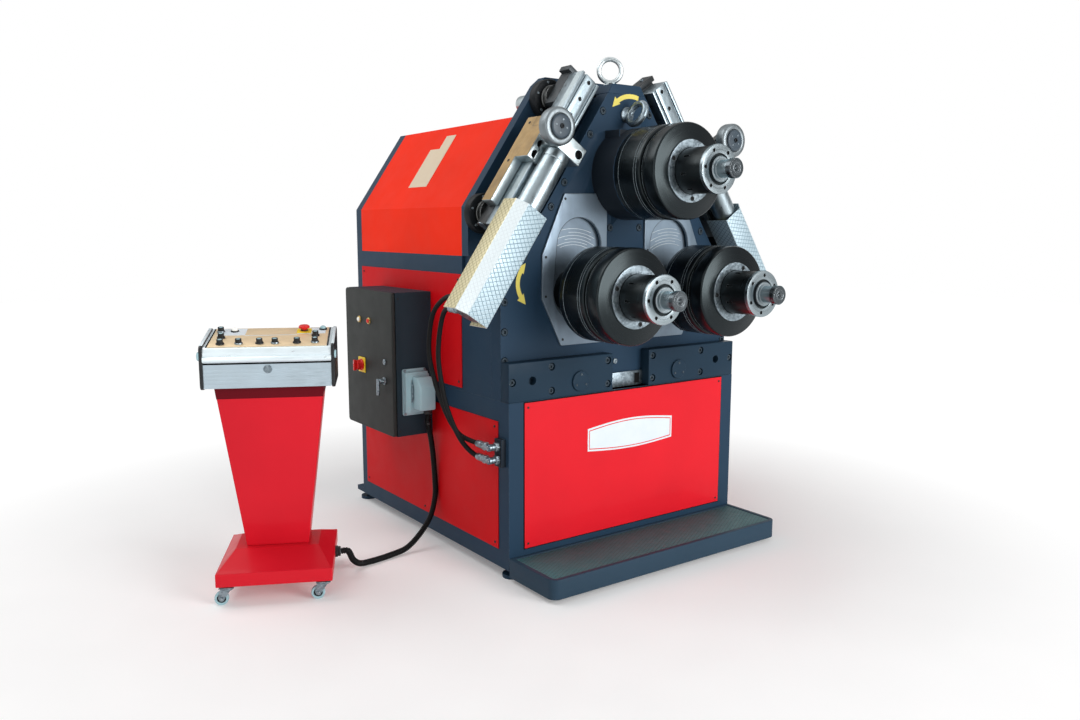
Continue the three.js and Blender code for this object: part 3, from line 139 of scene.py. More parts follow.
class Bench:
    """Models closed shapes with Blender's own operators."""

    def only(self, obj: bpy.types.Object) -> bpy.types.Object:
        """Selects one object alone and makes it active.

        Args:
            obj: The object.

        Returns:
            The same object.
        """
        bpy.ops.object.select_all(action="DESELECT")
        obj.select_set(True)
        bpy.context.view_layer.objects.active = obj
        return obj

    def settle(self, obj: bpy.types.Object) -> bpy.types.Object:
        """Applies an object's own place, turn and size to its mesh.

        Args:
            obj: The object.

        Returns:
            The same object.
        """
        self.only(obj)
        bpy.ops.object.transform_apply(location=True, rotation=True, scale=True)
        return obj

    def block(self, x: Span, y: Span, z: Span) -> bpy.types.Object:
        """Makes a box between two values on each axis.

        Args:
            x: The span along X.
            y: The span along Y.
            z: The span along Z.

        Returns:
            The box.
        """
        spans = (x, y, z)
        bpy.ops.object.select_all(action="DESELECT")
        bpy.ops.mesh.primitive_cube_add(
            size=1.0,
            location=[(a + b) / 2 for a, b in spans],
            scale=[abs(b - a) for a, b in spans],
        )
        return self.settle(bpy.context.object)

    def slab(self, x: Span, y: Span, z: Span, width: float, segments: int = 2) -> bpy.types.Object:
        """Makes a box with bevelled edges.

        Args:
            x: The span along X.
            y: The span along Y.
            z: The span along Z.
            width: The bevel's width.
            segments: Its segments.

        Returns:
            The box.
        """
        return self.soften(self.block(x, y, z), width, segments)

    def loop(self, points: list[Vector], filled: bool) -> bpy.types.Object:
        """Makes a closed loop of edges, or one face, through points.

        Args:
            points: The points in order.
            filled: Whether the loop holds a face.

        Returns:
            The loop.
        """
        bpy.ops.object.select_all(action="DESELECT")
        bpy.ops.mesh.primitive_circle_add(
            vertices=len(points), radius=1.0, fill_type="NGON" if filled else "NOTHING"
        )
        obj = bpy.context.object
        for vertex, place in zip(obj.data.vertices, points):
            vertex.co = place
        return obj

    def prism(self, points: list[Point], span: Span, axis: Axis = Axis.Y) -> bpy.types.Object:
        """Pulls an outline along an axis.

        Args:
            points: The outline, in the axis's two drawn coordinates.
            span: Where the prism starts and ends.
            axis: The axis it is pulled along.

        Returns:
            The prism.
        """
        low, high = span
        obj = self.loop([axis.point(a, b, low) for a, b in points], filled=True)
        bpy.ops.object.mode_set(mode="EDIT")
        bpy.ops.mesh.select_all(action="SELECT")
        bpy.ops.mesh.extrude_region_move(TRANSFORM_OT_translate={"value": axis.direction() * (high - low)})
        bpy.ops.mesh.select_all(action="SELECT")
        bpy.ops.mesh.normals_make_consistent(inside=False)
        bpy.ops.object.mode_set(mode="OBJECT")
        return obj

    def turned(
        self,
        profile: list[Point],
        axis: Axis = Axis.Y,
        centre: Point = (0.0, 0.0),
        steps: int = 64,
    ) -> bpy.types.Object:
        """Spins a closed profile about an axis.

        Args:
            profile: Points of radius and place along the axis.
            axis: The axis of the piece.
            centre: Where the axis stands in the two drawn coordinates.
            steps: The number of steps round.

        Returns:
            The turned piece.
        """
        u, v = centre
        obj = self.loop([axis.point(u + r, v, t) for r, t in profile], filled=False)
        bpy.ops.object.mode_set(mode="EDIT")
        bpy.ops.mesh.select_all(action="SELECT")
        bpy.ops.mesh.spin(
            steps=steps,
            angle=2 * math.pi,
            use_auto_merge=True,
            center=axis.point(u, v, 0.0),
            axis=axis.direction(),
        )
        bpy.ops.mesh.select_all(action="SELECT")
        bpy.ops.mesh.remove_doubles(threshold=0.001)
        bpy.ops.mesh.normals_make_consistent(inside=False)
        bpy.ops.object.mode_set(mode="OBJECT")
        return obj

    def bar(
        self,
        radius: float,
        span: Span,
        axis: Axis = Axis.Y,
        centre: Point = (0.0, 0.0),
        edge: float = 1.0,
        steps: int = 40,
    ) -> bpy.types.Object:
        """Makes a round bar with softened ends.

        Args:
            radius: The bar's radius.
            span: Where it starts and ends along the axis.
            axis: The bar's axis.
            centre: Where the axis stands in the two drawn coordinates.
            edge: The size of the softened edges.
            steps: The number of steps round.

        Returns:
            The bar.
        """
        low, high = min(span), max(span)
        rim = edge * 0.3
        profile = [
            (0.0, low), (radius - edge, low), (radius - rim, low + rim), (radius, low + edge),
            (radius, high - edge), (radius - rim, high - rim), (radius - edge, high), (0.0, high),
        ]
        return self.turned(profile, axis, centre, steps)

    def ring(
        self,
        outer: float,
        inner: float,
        span: Span,
        axis: Axis = Axis.Y,
        centre: Point = (0.0, 0.0),
        edge: float = 1.0,
        steps: int = 64,
    ) -> bpy.types.Object:
        """Makes a flat ring with softened edges.

        Args:
            outer: The outer radius.
            inner: The inner radius.
            span: Where it starts and ends along the axis.
            axis: The ring's axis.
            centre: Where the axis stands in the two drawn coordinates.
            edge: The size of the softened edges.
            steps: The number of steps round.

        Returns:
            The ring.
        """
        low, high = min(span), max(span)
        corners = [(inner, low), (outer, low), (outer, high), (inner, high)]
        return self.turned(rounded(corners, edge, 3), axis, centre, steps)

    def eye(
        self,
        radius: float,
        wire: float,
        place: Vector,
        turn: Triple,
    ) -> bpy.types.Object:
        """Makes a smooth round eye.

        Args:
            radius: The radius to the middle of the wire.
            wire: The wire's radius.
            place: The eye's centre.
            turn: Its turn about X, Y and Z.

        Returns:
            The eye.
        """
        bpy.ops.object.select_all(action="DESELECT")
        bpy.ops.mesh.primitive_torus_add(
            major_radius=radius,
            minor_radius=wire,
            major_segments=56,
            minor_segments=20,
            location=place,
            rotation=turn,
        )
        return self.settle(bpy.context.object)

    def apply(self, obj: bpy.types.Object, kind: str, **settings: object) -> bpy.types.Object:
        """Adds a modifier and applies it.

        Args:
            obj: The object.
            kind: The modifier's type.
            **settings: The modifier's settings.

        Returns:
            The same object.
        """
        self.only(obj)
        modifier = obj.modifiers.new(kind.lower(), kind)
        for key, value in settings.items():
            setattr(modifier, key, value)
        bpy.ops.object.modifier_apply(modifier=modifier.name)
        return obj

    def soften(self, obj: bpy.types.Object, width: float, segments: int = 2, angle: float = 35.0):
        """Bevels the sharp edges of an object.

        Args:
            obj: The object.
            width: The bevel's width.
            segments: Its segments.
            angle: The least angle between faces, in degrees.

        Returns:
            The same object.
        """
        return self.apply(
            obj,
            "BEVEL",
            width=width,
            segments=segments,
            limit_method="ANGLE",
            angle_limit=math.radians(angle),
            use_clamp_overlap=True,
            harden_normals=False,
        )

    def cut(self, obj: bpy.types.Object, *cutters: bpy.types.Object) -> bpy.types.Object:
        """Cuts shapes out of an object and removes the cutters.

        Args:
            obj: The object.
            *cutters: The shapes to cut away.

        Returns:
            The same object.
        """
        for cutter in cutters:
            self.apply(obj, "BOOLEAN", operation="DIFFERENCE", solver="EXACT", object=cutter)
            bpy.data.objects.remove(cutter)
        return obj

    def join(self, *objects: bpy.types.Object) -> bpy.types.Object:
        """Joins objects into the first one.

        Args:
            *objects: The objects.

        Returns:
            The first object, with the others' meshes in it.
        """
        self.only(objects[0])
        for other in objects[1:]:
            other.select_set(True)
        if len(objects) > 1:
            bpy.ops.object.join()
        return objects[0]

    def copies(self, master: bpy.types.Object, places: list[Matrix]) -> bpy.types.Object:
        """Repeats a shape at several places as one object and removes the master.

        Args:
            master: The shape.
            places: A matrix for each copy.

        Returns:
            The joined copies.
        """
        made = []
        for place in places:
            self.only(master)
            bpy.ops.object.duplicate()
            copy = bpy.context.object
            copy.data.transform(place)
            made.append(copy)
        bpy.data.objects.remove(master)
        return self.join(*made)

    def node_copy(self, node: str) -> bpy.types.Object:
        """Copies a CAD node's mesh as one merged shape, in the row frame.

        Args:
            node: The node's name.

        Returns:
            The copy.
        """
        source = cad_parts[node]
        copy = bpy.data.objects.new(node + "_copy", source.data.copy())
        bpy.context.scene.collection.objects.link(copy)
        copy.data.materials.clear()
        self.only(copy)
        bpy.ops.object.mode_set(mode="EDIT")
        bpy.ops.mesh.select_all(action="SELECT")
        bpy.ops.mesh.remove_doubles(threshold=0.00002)
        bpy.ops.mesh.dissolve_limited(angle_limit=math.radians(0.5))
        bpy.ops.mesh.normals_make_consistent(inside=False)
        bpy.ops.object.mode_set(mode="OBJECT")
        return copy

    def screw(self, head: float = 1.0, sides: int = 24) -> bpy.types.Object:
        """Makes a socket screw's head of unit radius that looks along -Y from the origin.

        Args:
            head: The head's height as a share of its radius.
            sides: The number of sides round.

        Returns:
            The head.
        """
        body = self.turned(
            [(0.0, 0.15), (1.0, 0.15), (1.0, 0.12 - head), (0.88, -head), (0.0, -head)],
            steps=sides,
        )
        key = self.turned(
            [(0.0, -head - 0.5), (0.56, -head - 0.5), (0.56, -head * 0.35), (0.0, -head * 0.35)],
            steps=6,
        )
        return self.cut(body, key)

    def screws(self, places: list[Matrix], head: float = 1.0, sides: int = 24) -> bpy.types.Object:
        """Makes a socket screw's head at each place.

        Args:
            places: The places.
            head: The heads' height as a share of their radius.
            sides: The number of sides round.

        Returns:
            The heads as one object.
        """
        return self.copies(self.screw(head, sides), places)


bench = Bench()


class Shop:
    """Turns finished shapes into named pieces of the model."""

    def __init__(self) -> None:
        """Starts an empty list of pieces."""
        self.made: list[str] = []

    def piece(
        self,
        obj: bpy.types.Object,
        name: str,
        finish: str,
        body: str = "machine",
        place: Matrix = MACHINE,
        stands_for: tuple[str, ...] = (),
        smooth: float = 32.0,
    ) -> None:
        """Names, places and shades a piece, and ties it to its body.

        Args:
            obj: The shape, drawn in its local frame.
            name: The piece's name.
            finish: The name of its finish.
            body: The body that it rides on.
            place: The local frame.
            stands_for: The CAD nodes that it replaces.
            smooth: The angle under which edges are shaded smooth, in degrees.
        """
        obj.data.transform(place)
        obj.name = name
        obj.data.name = name
        obj.data.materials.clear()
        obj.data.materials.append(finishes[finish])
        bench.only(obj)
        bpy.ops.object.shade_smooth_by_angle(angle=math.radians(smooth))
        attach(obj, body)
        if stands_for:
            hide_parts(*stands_for)
        self.made.append(name)
        log.info("piece %s: %d faces on %s", name, len(obj.data.polygons), body)

    def dress(self, node: str, finish: str) -> None:
        """Gives a shown CAD node a better material.

        Args:
            node: The node's name.
            finish: The name of the finish.
        """
        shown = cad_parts[node]
        shown.data.materials.clear()
        shown.data.materials.append(finishes[finish])
        log.info("node %s keeps showing in %s", node, finish)


shop = Shop()
IN_PLACE = Matrix.Identity(4)


class Graph:
    """Adds and links shader nodes with little ceremony."""

    def __init__(self, tree: bpy.types.NodeTree) -> None:
        """Takes the tree to fill.

        Args:
            tree: The node tree.
        """
        self.tree = tree

    def add(self, kind: str, inputs: dict | None = None, **settings: object) -> bpy.types.Node:
        """Adds a node and sets or links its inputs.

        Args:
            kind: The node's type.
            inputs: Values or sockets by input name or number.
            **settings: The node's own settings.

        Returns:
            The node.
        """
        node = self.tree.nodes.new(kind)
        for key, value in settings.items():
            setattr(node, key, value)
        self.feed(node, inputs or {})
        return node

    def feed(self, node: bpy.types.Node, inputs: dict) -> None:
        """Sets or links a node's inputs.

        Args:
            node: The node.
            inputs: Values or sockets by input name or number.
        """
        for key, value in inputs.items():
            if isinstance(value, bpy.types.NodeSocket):
                self.tree.links.new(value, node.inputs[key])
            else:
                node.inputs[key].default_value = value

    def place(self) -> bpy.types.NodeSocket:
        """Gives the object's own coordinates.

        Returns:
            The coordinates' socket.
        """
        return self.add("ShaderNodeTexCoord").outputs["Object"]

    def separate(self, vector: bpy.types.NodeSocket) -> bpy.types.bpy_prop_collection:
        """Splits a vector.

        Args:
            vector: The vector's socket.

        Returns:
            The sockets of X, Y and Z.
        """
        return self.add("ShaderNodeSeparateXYZ", {0: vector}).outputs

    def vector(self, operation: str, output: str, inputs: dict) -> bpy.types.NodeSocket:
        """Adds a vector maths node.

        Args:
            operation: The operation.
            output: The name of the output that is used.
            inputs: Values or sockets by input name or number.

        Returns:
            The output's socket.
        """
        return self.add("ShaderNodeVectorMath", inputs, operation=operation).outputs[output]

    def bevel(self, radius: object, sharp: float, soft: float) -> tuple:
        """Rounds sharp edges in the normal and finds where they are.

        Args:
            radius: The edges' radius.
            sharp: The cosine at which an edge begins.
            soft: The cosine at which it is full.

        Returns:
            The sockets of the normal and of the mask.
        """
        edge = self.add("ShaderNodeBevel", {"Radius": radius}, samples=4).outputs[0]
        facing = self.add("ShaderNodeNewGeometry").outputs["Normal"]
        dot = self.vector("DOT_PRODUCT", "Value", {0: edge, 1: facing})
        return edge, self.remap(dot, sharp, soft, 0.0, 1.0)

    def bump(self, strength: object, distance: float, height: object, normal: object):
        """Adds a bump to a normal.

        Args:
            strength: The bump's strength.
            distance: Its depth, in metres.
            height: The height's socket.
            normal: The normal's socket.

        Returns:
            The new normal's socket.
        """
        inputs = {"Strength": strength, "Distance": distance, "Height": height, "Normal": normal}
        return self.add("ShaderNodeBump", inputs).outputs[0]

    def math(self, operation: str, a: object, b: object = 0.0, clamp: bool = False):
        """Adds a maths node.

        Args:
            operation: The operation.
            a: The first value or socket.
            b: The second value or socket.
            clamp: Whether the result is held between 0 and 1.

        Returns:
            The result's socket.
        """
        node = self.add("ShaderNodeMath", {0: a, 1: b}, operation=operation, use_clamp=clamp)
        return node.outputs[0]

    def mix(self, share: object, a: object, b: object):
        """Mixes two colours.

        Args:
            share: How much of the second colour, from 0 to 1.
            a: The first colour or socket.
            b: The second colour or socket.

        Returns:
            The mixed colour's socket.
        """
        return self.add("ShaderNodeMix", {0: share, 6: a, 7: b}, data_type="RGBA").outputs[2]

    def remap(self, value: object, low: float, high: float, to_low: float, to_high: float):
        """Maps one range of values to another.

        Args:
            value: The value's socket.
            low: The start of the first range.
            high: Its end.
            to_low: The start of the second range.
            to_high: Its end.

        Returns:
            The result's socket.
        """
        inputs = {0: value, 1: low, 2: high, 3: to_low, 4: to_high}
        return self.add("ShaderNodeMapRange", inputs, clamp=True).outputs[0]

    def noise(self, place: object, scale: object, detail: float = 3.0, rough: float = 0.55):
        """Adds a noise texture.

        Args:
            place: The vector that it reads.
            scale: Its scale.
            detail: Its detail.
            rough: Its roughness.

        Returns:
            The value's socket.
        """
        inputs = {"Vector": place, "Scale": scale, "Detail": detail, "Roughness": rough}
        return self.add("ShaderNodeTexNoise", inputs).outputs[0]


@dataclass(frozen=True)
class Port:
    """One named input or output of an effect."""

    name: str
    kind: str = "NodeSocketFloat"
    value: object = None


class Effects:
    """Node groups that more than one material uses, each made once."""

    def __init__(self) -> None:
        """Starts with no group made."""
        self.made: dict[str, bpy.types.NodeTree] = {}

    def start(self, name: str, inputs: list[Port], outputs: list[Port]):
        """Makes an empty group with its ports.

        Args:
            name: The group's name.
            inputs: Its inputs.
            outputs: Its outputs.

        Returns:
            The graph, the group input node and the group output node.
        """
        tree = bpy.data.node_groups.new(name, "ShaderNodeTree")
        for port in inputs:
            socket = tree.interface.new_socket(port.name, in_out="INPUT", socket_type=port.kind)
            if port.value is not None:
                socket.default_value = port.value
        for port in outputs:
            tree.interface.new_socket(port.name, in_out="OUTPUT", socket_type=port.kind)
        graph = Graph(tree)
        self.made[name] = tree
        return graph, graph.add("NodeGroupInput"), graph.add("NodeGroupOutput")

    def get(self, name: str) -> bpy.types.NodeTree:
        """Gives a group, making it at its first use.

        Args:
            name: The group's name, which is also its builder's.

        Returns:
            The group.
        """
        if name not in self.made:
            getattr(self, name)()
        return self.made[name]

    def paint_film(self) -> None:
        """Sprayed paint: slow colour drift, orange peel, and edges that catch the light, lightened towards
        the edge colour partly for wear and partly as a painted glint.
        """
        graph, given, out = self.start(
            "paint_film",
            [
                Port("Colour", "NodeSocketColor", (0.5, 0.5, 0.5, 1.0)),
                Port("Edge colour", "NodeSocketColor", (0.6, 0.6, 0.6, 1.0)),
                Port("Edge wear and glint", value=0.3),
                Port("Drift", value=0.08),
                Port("Peel", value=0.15),
                Port("Roughness", value=0.4),
            ],
            [Port("Colour", "NodeSocketColor"), Port("Roughness"), Port("Normal", "NodeSocketVector")],
        )
        place = graph.place()
        drift = graph.remap(graph.noise(place, 1.7, 4.0), 0.3, 0.7, -1.0, 1.0)
        scale = graph.math("MULTIPLY_ADD", drift, given.outputs["Drift"])
        scale.node.inputs[2].default_value = 1.0
        toned = graph.vector("SCALE", "Vector", {0: given.outputs["Colour"], "Scale": scale})
        edge, rim = graph.bevel(0.0022, 0.97, 0.80)
        chips = graph.remap(graph.noise(place, 55.0, 4.0, 0.7), 0.42, 0.6, 0.25, 1.0)
        # Edges lightened towards the edge colour: partly wear, partly a painted glint.
        rim_wear_and_glint = graph.math("MULTIPLY", graph.math("MULTIPLY", rim, chips), given.outputs["Edge wear and glint"])
        colour = graph.mix(rim_wear_and_glint, toned, given.outputs["Edge colour"])
        haze = graph.remap(graph.noise(place, 14.0, 5.0), 0.25, 0.75, -0.05, 0.07)
        rough = graph.math("ADD", given.outputs["Roughness"], haze, clamp=True)
        peel = graph.noise(place, 420.0, 2.0)
        bump = graph.bump(given.outputs["Peel"], 0.0004, peel, edge)
        graph.feed(out, {"Colour": colour, "Roughness": rough, "Normal": bump})

    def turning_marks(self) -> None:
        """Rings left by the lathe round an axis along Y, on faces and on rims alike."""
        graph, given, out = self.start(
            "turning_marks",
            [Port("Centre", "NodeSocketVector", (0.0, 0.0, 0.0)), Port("Density", value=900.0)],
            [Port("Height"), Port("Sheen")],
        )
        place = graph.place()
        shifted = graph.vector("SUBTRACT", "Vector", {0: place, 1: given.outputs["Centre"]})
        x, y, z = graph.separate(shifted)
        flat = graph.add("ShaderNodeCombineXYZ", {0: x, 2: z}).outputs[0]
        along = graph.math("ADD", graph.vector("LENGTH", "Value", {0: flat}), y)
        coarse = graph.math("MULTIPLY", given.outputs["Density"], 0.07)
        fine, broad = (
            graph.add(
                "ShaderNodeTexNoise", {"W": along, "Scale": scale, "Detail": detail}, noise_dimensions="1D"
            ).outputs[0]
            for scale, detail in ((given.outputs["Density"], 2.0), (coarse, 3.0))
        )
        graph.feed(out, {"Height": fine, "Sheen": graph.remap(broad, 0.3, 0.7, 0.0, 1.0)})

    def brushing(self) -> None:
        """Fine straight strokes: the vector is stretched along the strokes before it comes in."""
        graph, given, out = self.start(
            "brushing",
            [Port("Vector", "NodeSocketVector"), Port("Fineness", value=60.0)],
            [Port("Height"), Port("Sheen")],
        )
        strokes = graph.noise(given.outputs["Vector"], given.outputs["Fineness"], 4.0, 0.7)
        broad = graph.noise(
            given.outputs["Vector"], graph.math("MULTIPLY", given.outputs["Fineness"], 0.1), 2.0
        )
        graph.feed(out, {"Height": strokes, "Sheen": graph.remap(broad, 0.3, 0.7, 0.0, 1.0)})

    def handling(self) -> None:
        """Smudges, faint scratches and oil film that dull a bare surface in patches."""
        graph, given, out = self.start("handling", [Port("Scale", value=9.0)], [Port("Mask")])
        place = graph.place()
        blots = graph.noise(place, given.outputs["Scale"], 5.0, 0.62)
        patches = graph.remap(blots, 0.42, 0.68, 0.0, 1.0)
        stretched = graph.add(
            "ShaderNodeMapping", {0: place, 3: (6.0, 6.0, 60.0), 2: (0.4, 0.3, 0.9)}
        ).outputs[0]
        scratches = graph.remap(graph.noise(stretched, 6.0, 6.0, 0.75), 0.60, 0.66, 0.0, 0.5)
        graph.feed(out, {"Mask": graph.math("MAXIMUM", patches, scratches)})

    def soft_edges(self) -> None:
        """A normal that rounds sharp edges and a mask of where they are."""
        graph, given, out = self.start(
            "soft_edges",
            [Port("Radius", value=0.0015)],
            [Port("Normal", "NodeSocketVector"), Port("Mask")],
        )
        normal, mask = graph.bevel(given.outputs["Radius"], 0.98, 0.82)
        graph.feed(out, {"Normal": normal, "Mask": mask})

    def lozenges(self) -> None:
        """A raised grid of small lozenges over a plane: the vector's X and Y span it."""
        graph, given, out = self.start(
            "lozenges",
            [Port("Vector", "NodeSocketVector"), Port("Pitch", value=0.006)],
            [Port("Height")],
        )
        x, y, _ = graph.separate(given.outputs["Vector"])
        turn = graph.math("DIVIDE", 2 * math.pi, given.outputs["Pitch"])
        first, second = (
            graph.math("ABSOLUTE", graph.math("SINE", graph.math("MULTIPLY", graph.math(way, x, y), turn)))
            for way in ("ADD", "SUBTRACT")
        )
        lines = graph.math("MINIMUM", first, second)
        graph.feed(out, {"Height": graph.remap(lines, 0.06, 0.34, 0.0, 1.0)})


effects = Effects()


def shader(name: str) -> tuple[Graph, bpy.types.Node, bpy.types.Material]:
    """Starts a material with its principled shader.

    Args:
        name: The material's name.

    Returns:
        The graph, the principled node and the material.
    """
    material = bpy.data.materials.new(name)
    material.use_nodes = True
    graph = Graph(material.node_tree)
    return graph, material.node_tree.nodes["Principled BSDF"], material


def effect(graph: Graph, name: str, inputs: dict | None = None) -> bpy.types.Node:
    """Adds a shared effect to a material.

    Args:
        graph: The material's graph.
        name: The effect's name.
        inputs: Its inputs by name.

    Returns:
        The group node.
    """
    return graph.add("ShaderNodeGroup", inputs, node_tree=effects.get(name))


def rgba(colour: Triple) -> tuple[float, float, float, float]:
    """Turns a colour as seen on a screen, from 0 to 255, into the linear one that shaders take.

    Args:
        colour: Red, green and blue as on a screen.

    Returns:
        The linear colour with full alpha.
    """
    linear = [
        c / 12.92 if c <= 0.04045 else ((c + 0.055) / 1.055) ** 2.4
        for c in (part / 255 for part in colour)
    ]
    return (*linear, 1.0)


@dataclass(frozen=True)
class Paint:
    """Sprayed paint on steel."""

    name: str
    colour: Triple
    edge: Triple = (150, 160, 168)
    edge_wear_and_glint: float = 0.3
    roughness: float = 0.4
    peel: float = 0.12
    drift: float = 0.08
    coat: float = 0.0

    def build(self) -> bpy.types.Material:
        """Makes the material.

        Returns:
            The material.
        """
        graph, principled, material = shader(self.name)
        film = effect(
            graph,
            "paint_film",
            {"Colour": rgba(self.colour), "Edge colour": rgba(self.edge), "Edge wear and glint": self.edge_wear_and_glint,
             "Drift": self.drift, "Peel": self.peel, "Roughness": self.roughness},
        )
        colour, rough, normal = film.outputs
        graph.feed(
            principled,
            {"Base Color": colour, "Roughness": rough, "Normal": normal, "Specular IOR Level": 0.1,
             "Coat Weight": self.coat, "Coat Roughness": 0.08},
        )
        return material


@dataclass(frozen=True)
class Turned:
    """Steel turned on a lathe about an axis along Y; its rounded edges are lightened towards the edge colour,
    partly for wear and partly as a painted highlight.
    """

    name: str
    colour: Triple
    centre: Point
    metallic: float = 1.0
    roughness: float = 0.28
    density: float = 900.0
    marks: float = 0.25
    edge: Triple = (225, 228, 232)
    edge_wear_and_glint: float = 0.5
    dull: Triple = (90, 94, 98)
    dirt: float = 0.3
    specular: float = 0.5
    round_over: float = 0.0014

    def build(self) -> bpy.types.Material:
        """Makes the material.

        Returns:
            The material.
        """
        graph, principled, material = shader(self.name)
        x, z = self.centre
        centre = MACHINE @ Vector((x, 0.0, z))
        rings = effect(
            graph, "turning_marks", {"Centre": (centre.x, 0.0, centre.z), "Density": self.density}
        )
        edges = effect(graph, "soft_edges", {"Radius": self.round_over})
        hands = effect(graph, "handling", {"Scale": 11.0})
        dirt = graph.math("MULTIPLY", hands.outputs["Mask"], self.dirt)
        colour = graph.mix(dirt, rgba(self.colour), rgba(self.dull))
        # The edge mask lightens the rims towards the edge colour: partly wear, partly a painted highlight.
        rim_wear_and_glint = graph.math("MULTIPLY", edges.outputs["Mask"], self.edge_wear_and_glint)
        colour = graph.mix(rim_wear_and_glint, colour, rgba(self.edge))
        spread = 0.015 + 0.3 * self.marks
        least, most = self.roughness - spread, self.roughness + spread
        sheen = graph.remap(rings.outputs["Sheen"], 0.0, 1.0, least, most)
        rough = graph.math("ADD", sheen, graph.math("MULTIPLY", dirt, 0.4), clamp=True)
        bump = graph.bump(self.marks, 0.0003, rings.outputs["Height"], edges.outputs["Normal"])
        graph.feed(
            principled,
            {"Base Color": colour, "Roughness": rough, "Normal": bump, "Metallic": self.metallic,
             "Specular IOR Level": self.specular, "Specular Tint": (0.78, 0.95, 1.0, 1.0)},
        )
        return material


@dataclass(frozen=True)
class Brushed:
    """Ground or brushed bare metal with straight strokes."""

    name: str
    colour: Triple
    turn: Triple = (0.0, 0.0, 0.0)
    stretch: Triple = (1.0, 12.0, 12.0)
    fineness: float = 60.0
    metallic: float = 1.0
    roughness: float = 0.3
    marks: float = 0.12
    stain: Triple = (120, 122, 120)
    stained: float = 0.3
    edge_wear_and_glint: float = 0.4

    def build(self) -> bpy.types.Material:
        """Makes the material.

        Returns:
            The material.
        """
        graph, principled, material = shader(self.name)
        place = graph.place()
        mapped = graph.add("ShaderNodeMapping", {0: place, 2: self.turn, 3: self.stretch}).outputs[0]
        strokes = effect(graph, "brushing", {"Vector": mapped, "Fineness": self.fineness})
        edges = effect(graph, "soft_edges", {"Radius": 0.0012})
        hands = effect(graph, "handling", {"Scale": 7.0})
        dirt = graph.math("MULTIPLY", hands.outputs["Mask"], self.stained)
        colour = graph.mix(dirt, rgba(self.colour), rgba(self.stain))
        # Edges lightened towards near white: partly wear, partly a painted glint.
        rim_wear_and_glint = graph.math("MULTIPLY", edges.outputs["Mask"], self.edge_wear_and_glint)
        colour = graph.mix(rim_wear_and_glint, colour, rgba((235, 238, 240)))
        rough = graph.remap(strokes.outputs["Sheen"], 0.0, 1.0, self.roughness - 0.07, self.roughness + 0.1)
        bump = graph.bump(self.marks, 0.0003, strokes.outputs["Height"], edges.outputs["Normal"])
        graph.feed(
            principled,
            {"Base Color": colour, "Roughness": rough, "Normal": bump, "Metallic": self.metallic},
        )
        return material


@dataclass(frozen=True)
class Zinc:
    """Galvanised steel with a faint spangle."""

    name: str
    light: Triple = (205, 206, 200)
    dark: Triple = (150, 152, 148)
    scale: float = 130.0
    roughness: float = 0.34

    def build(self) -> bpy.types.Material:
        """Makes the material.

        Returns:
            The material.
        """
        graph, principled, material = shader(self.name)
        place = graph.place()
        cells = graph.add("ShaderNodeTexVoronoi", {"Vector": place, "Scale": self.scale})
        tone = graph.add("ShaderNodeSeparateColor", {0: cells.outputs["Color"]}).outputs[0]
        colour = graph.mix(tone, rgba(self.dark), rgba(self.light))
        edges = effect(graph, "soft_edges", {"Radius": 0.001})
        # Edges lightened towards near white: partly wear, partly a painted glint.
        rim_wear_and_glint = graph.math("MULTIPLY", edges.outputs["Mask"], 0.35)
        colour = graph.mix(rim_wear_and_glint, colour, rgba((240, 240, 236)))
        rough = graph.remap(tone, 0.0, 1.0, self.roughness - 0.06, self.roughness + 0.08)
        bump = graph.bump(0.08, 0.0003, graph.noise(place, 500.0), edges.outputs["Normal"])
        graph.feed(principled, {"Base Color": colour, "Roughness": rough, "Normal": bump, "Metallic": 0.9})
        return material


@dataclass(frozen=True)
class Moulded:
    """Plastic or rubber with a fine grain."""

    name: str
    colour: Triple
    roughness: float = 0.5
    grain: float = 0.1
    scale: float = 900.0
    edge: Triple = (90, 92, 95)
    glow: float = 0.0
    specular: float = 0.3

    def build(self) -> bpy.types.Material:
        """Makes the material.

        Returns:
            The material.
        """
        graph, principled, material = shader(self.name)
        place = graph.place()
        edges = effect(graph, "soft_edges", {"Radius": 0.0007})
        drift = graph.remap(graph.noise(place, 25.0, 3.0), 0.3, 0.7, 0.0, 0.12)
        colour = graph.mix(drift, rgba(self.colour), rgba(self.edge))
        # Edges lightened towards the edge colour: partly wear, partly a painted glint.
        rim_wear_and_glint = graph.math("MULTIPLY", edges.outputs["Mask"], 0.25)
        colour = graph.mix(rim_wear_and_glint, colour, rgba(self.edge))
        least, most = self.roughness - 0.06, self.roughness + 0.06
        rough = graph.remap(graph.noise(place, 40.0), 0.3, 0.7, least, most)
        grain = graph.noise(place, self.scale, 2.0)
        bump = graph.bump(self.grain, 0.0002, grain, edges.outputs["Normal"])
        graph.feed(
            principled,
            {"Base Color": colour, "Roughness": rough, "Normal": bump, "Specular IOR Level": self.specular},
        )
        if self.glow:
            graph.feed(principled, {"Emission Color": colour, "Emission Strength": self.glow})
        return material


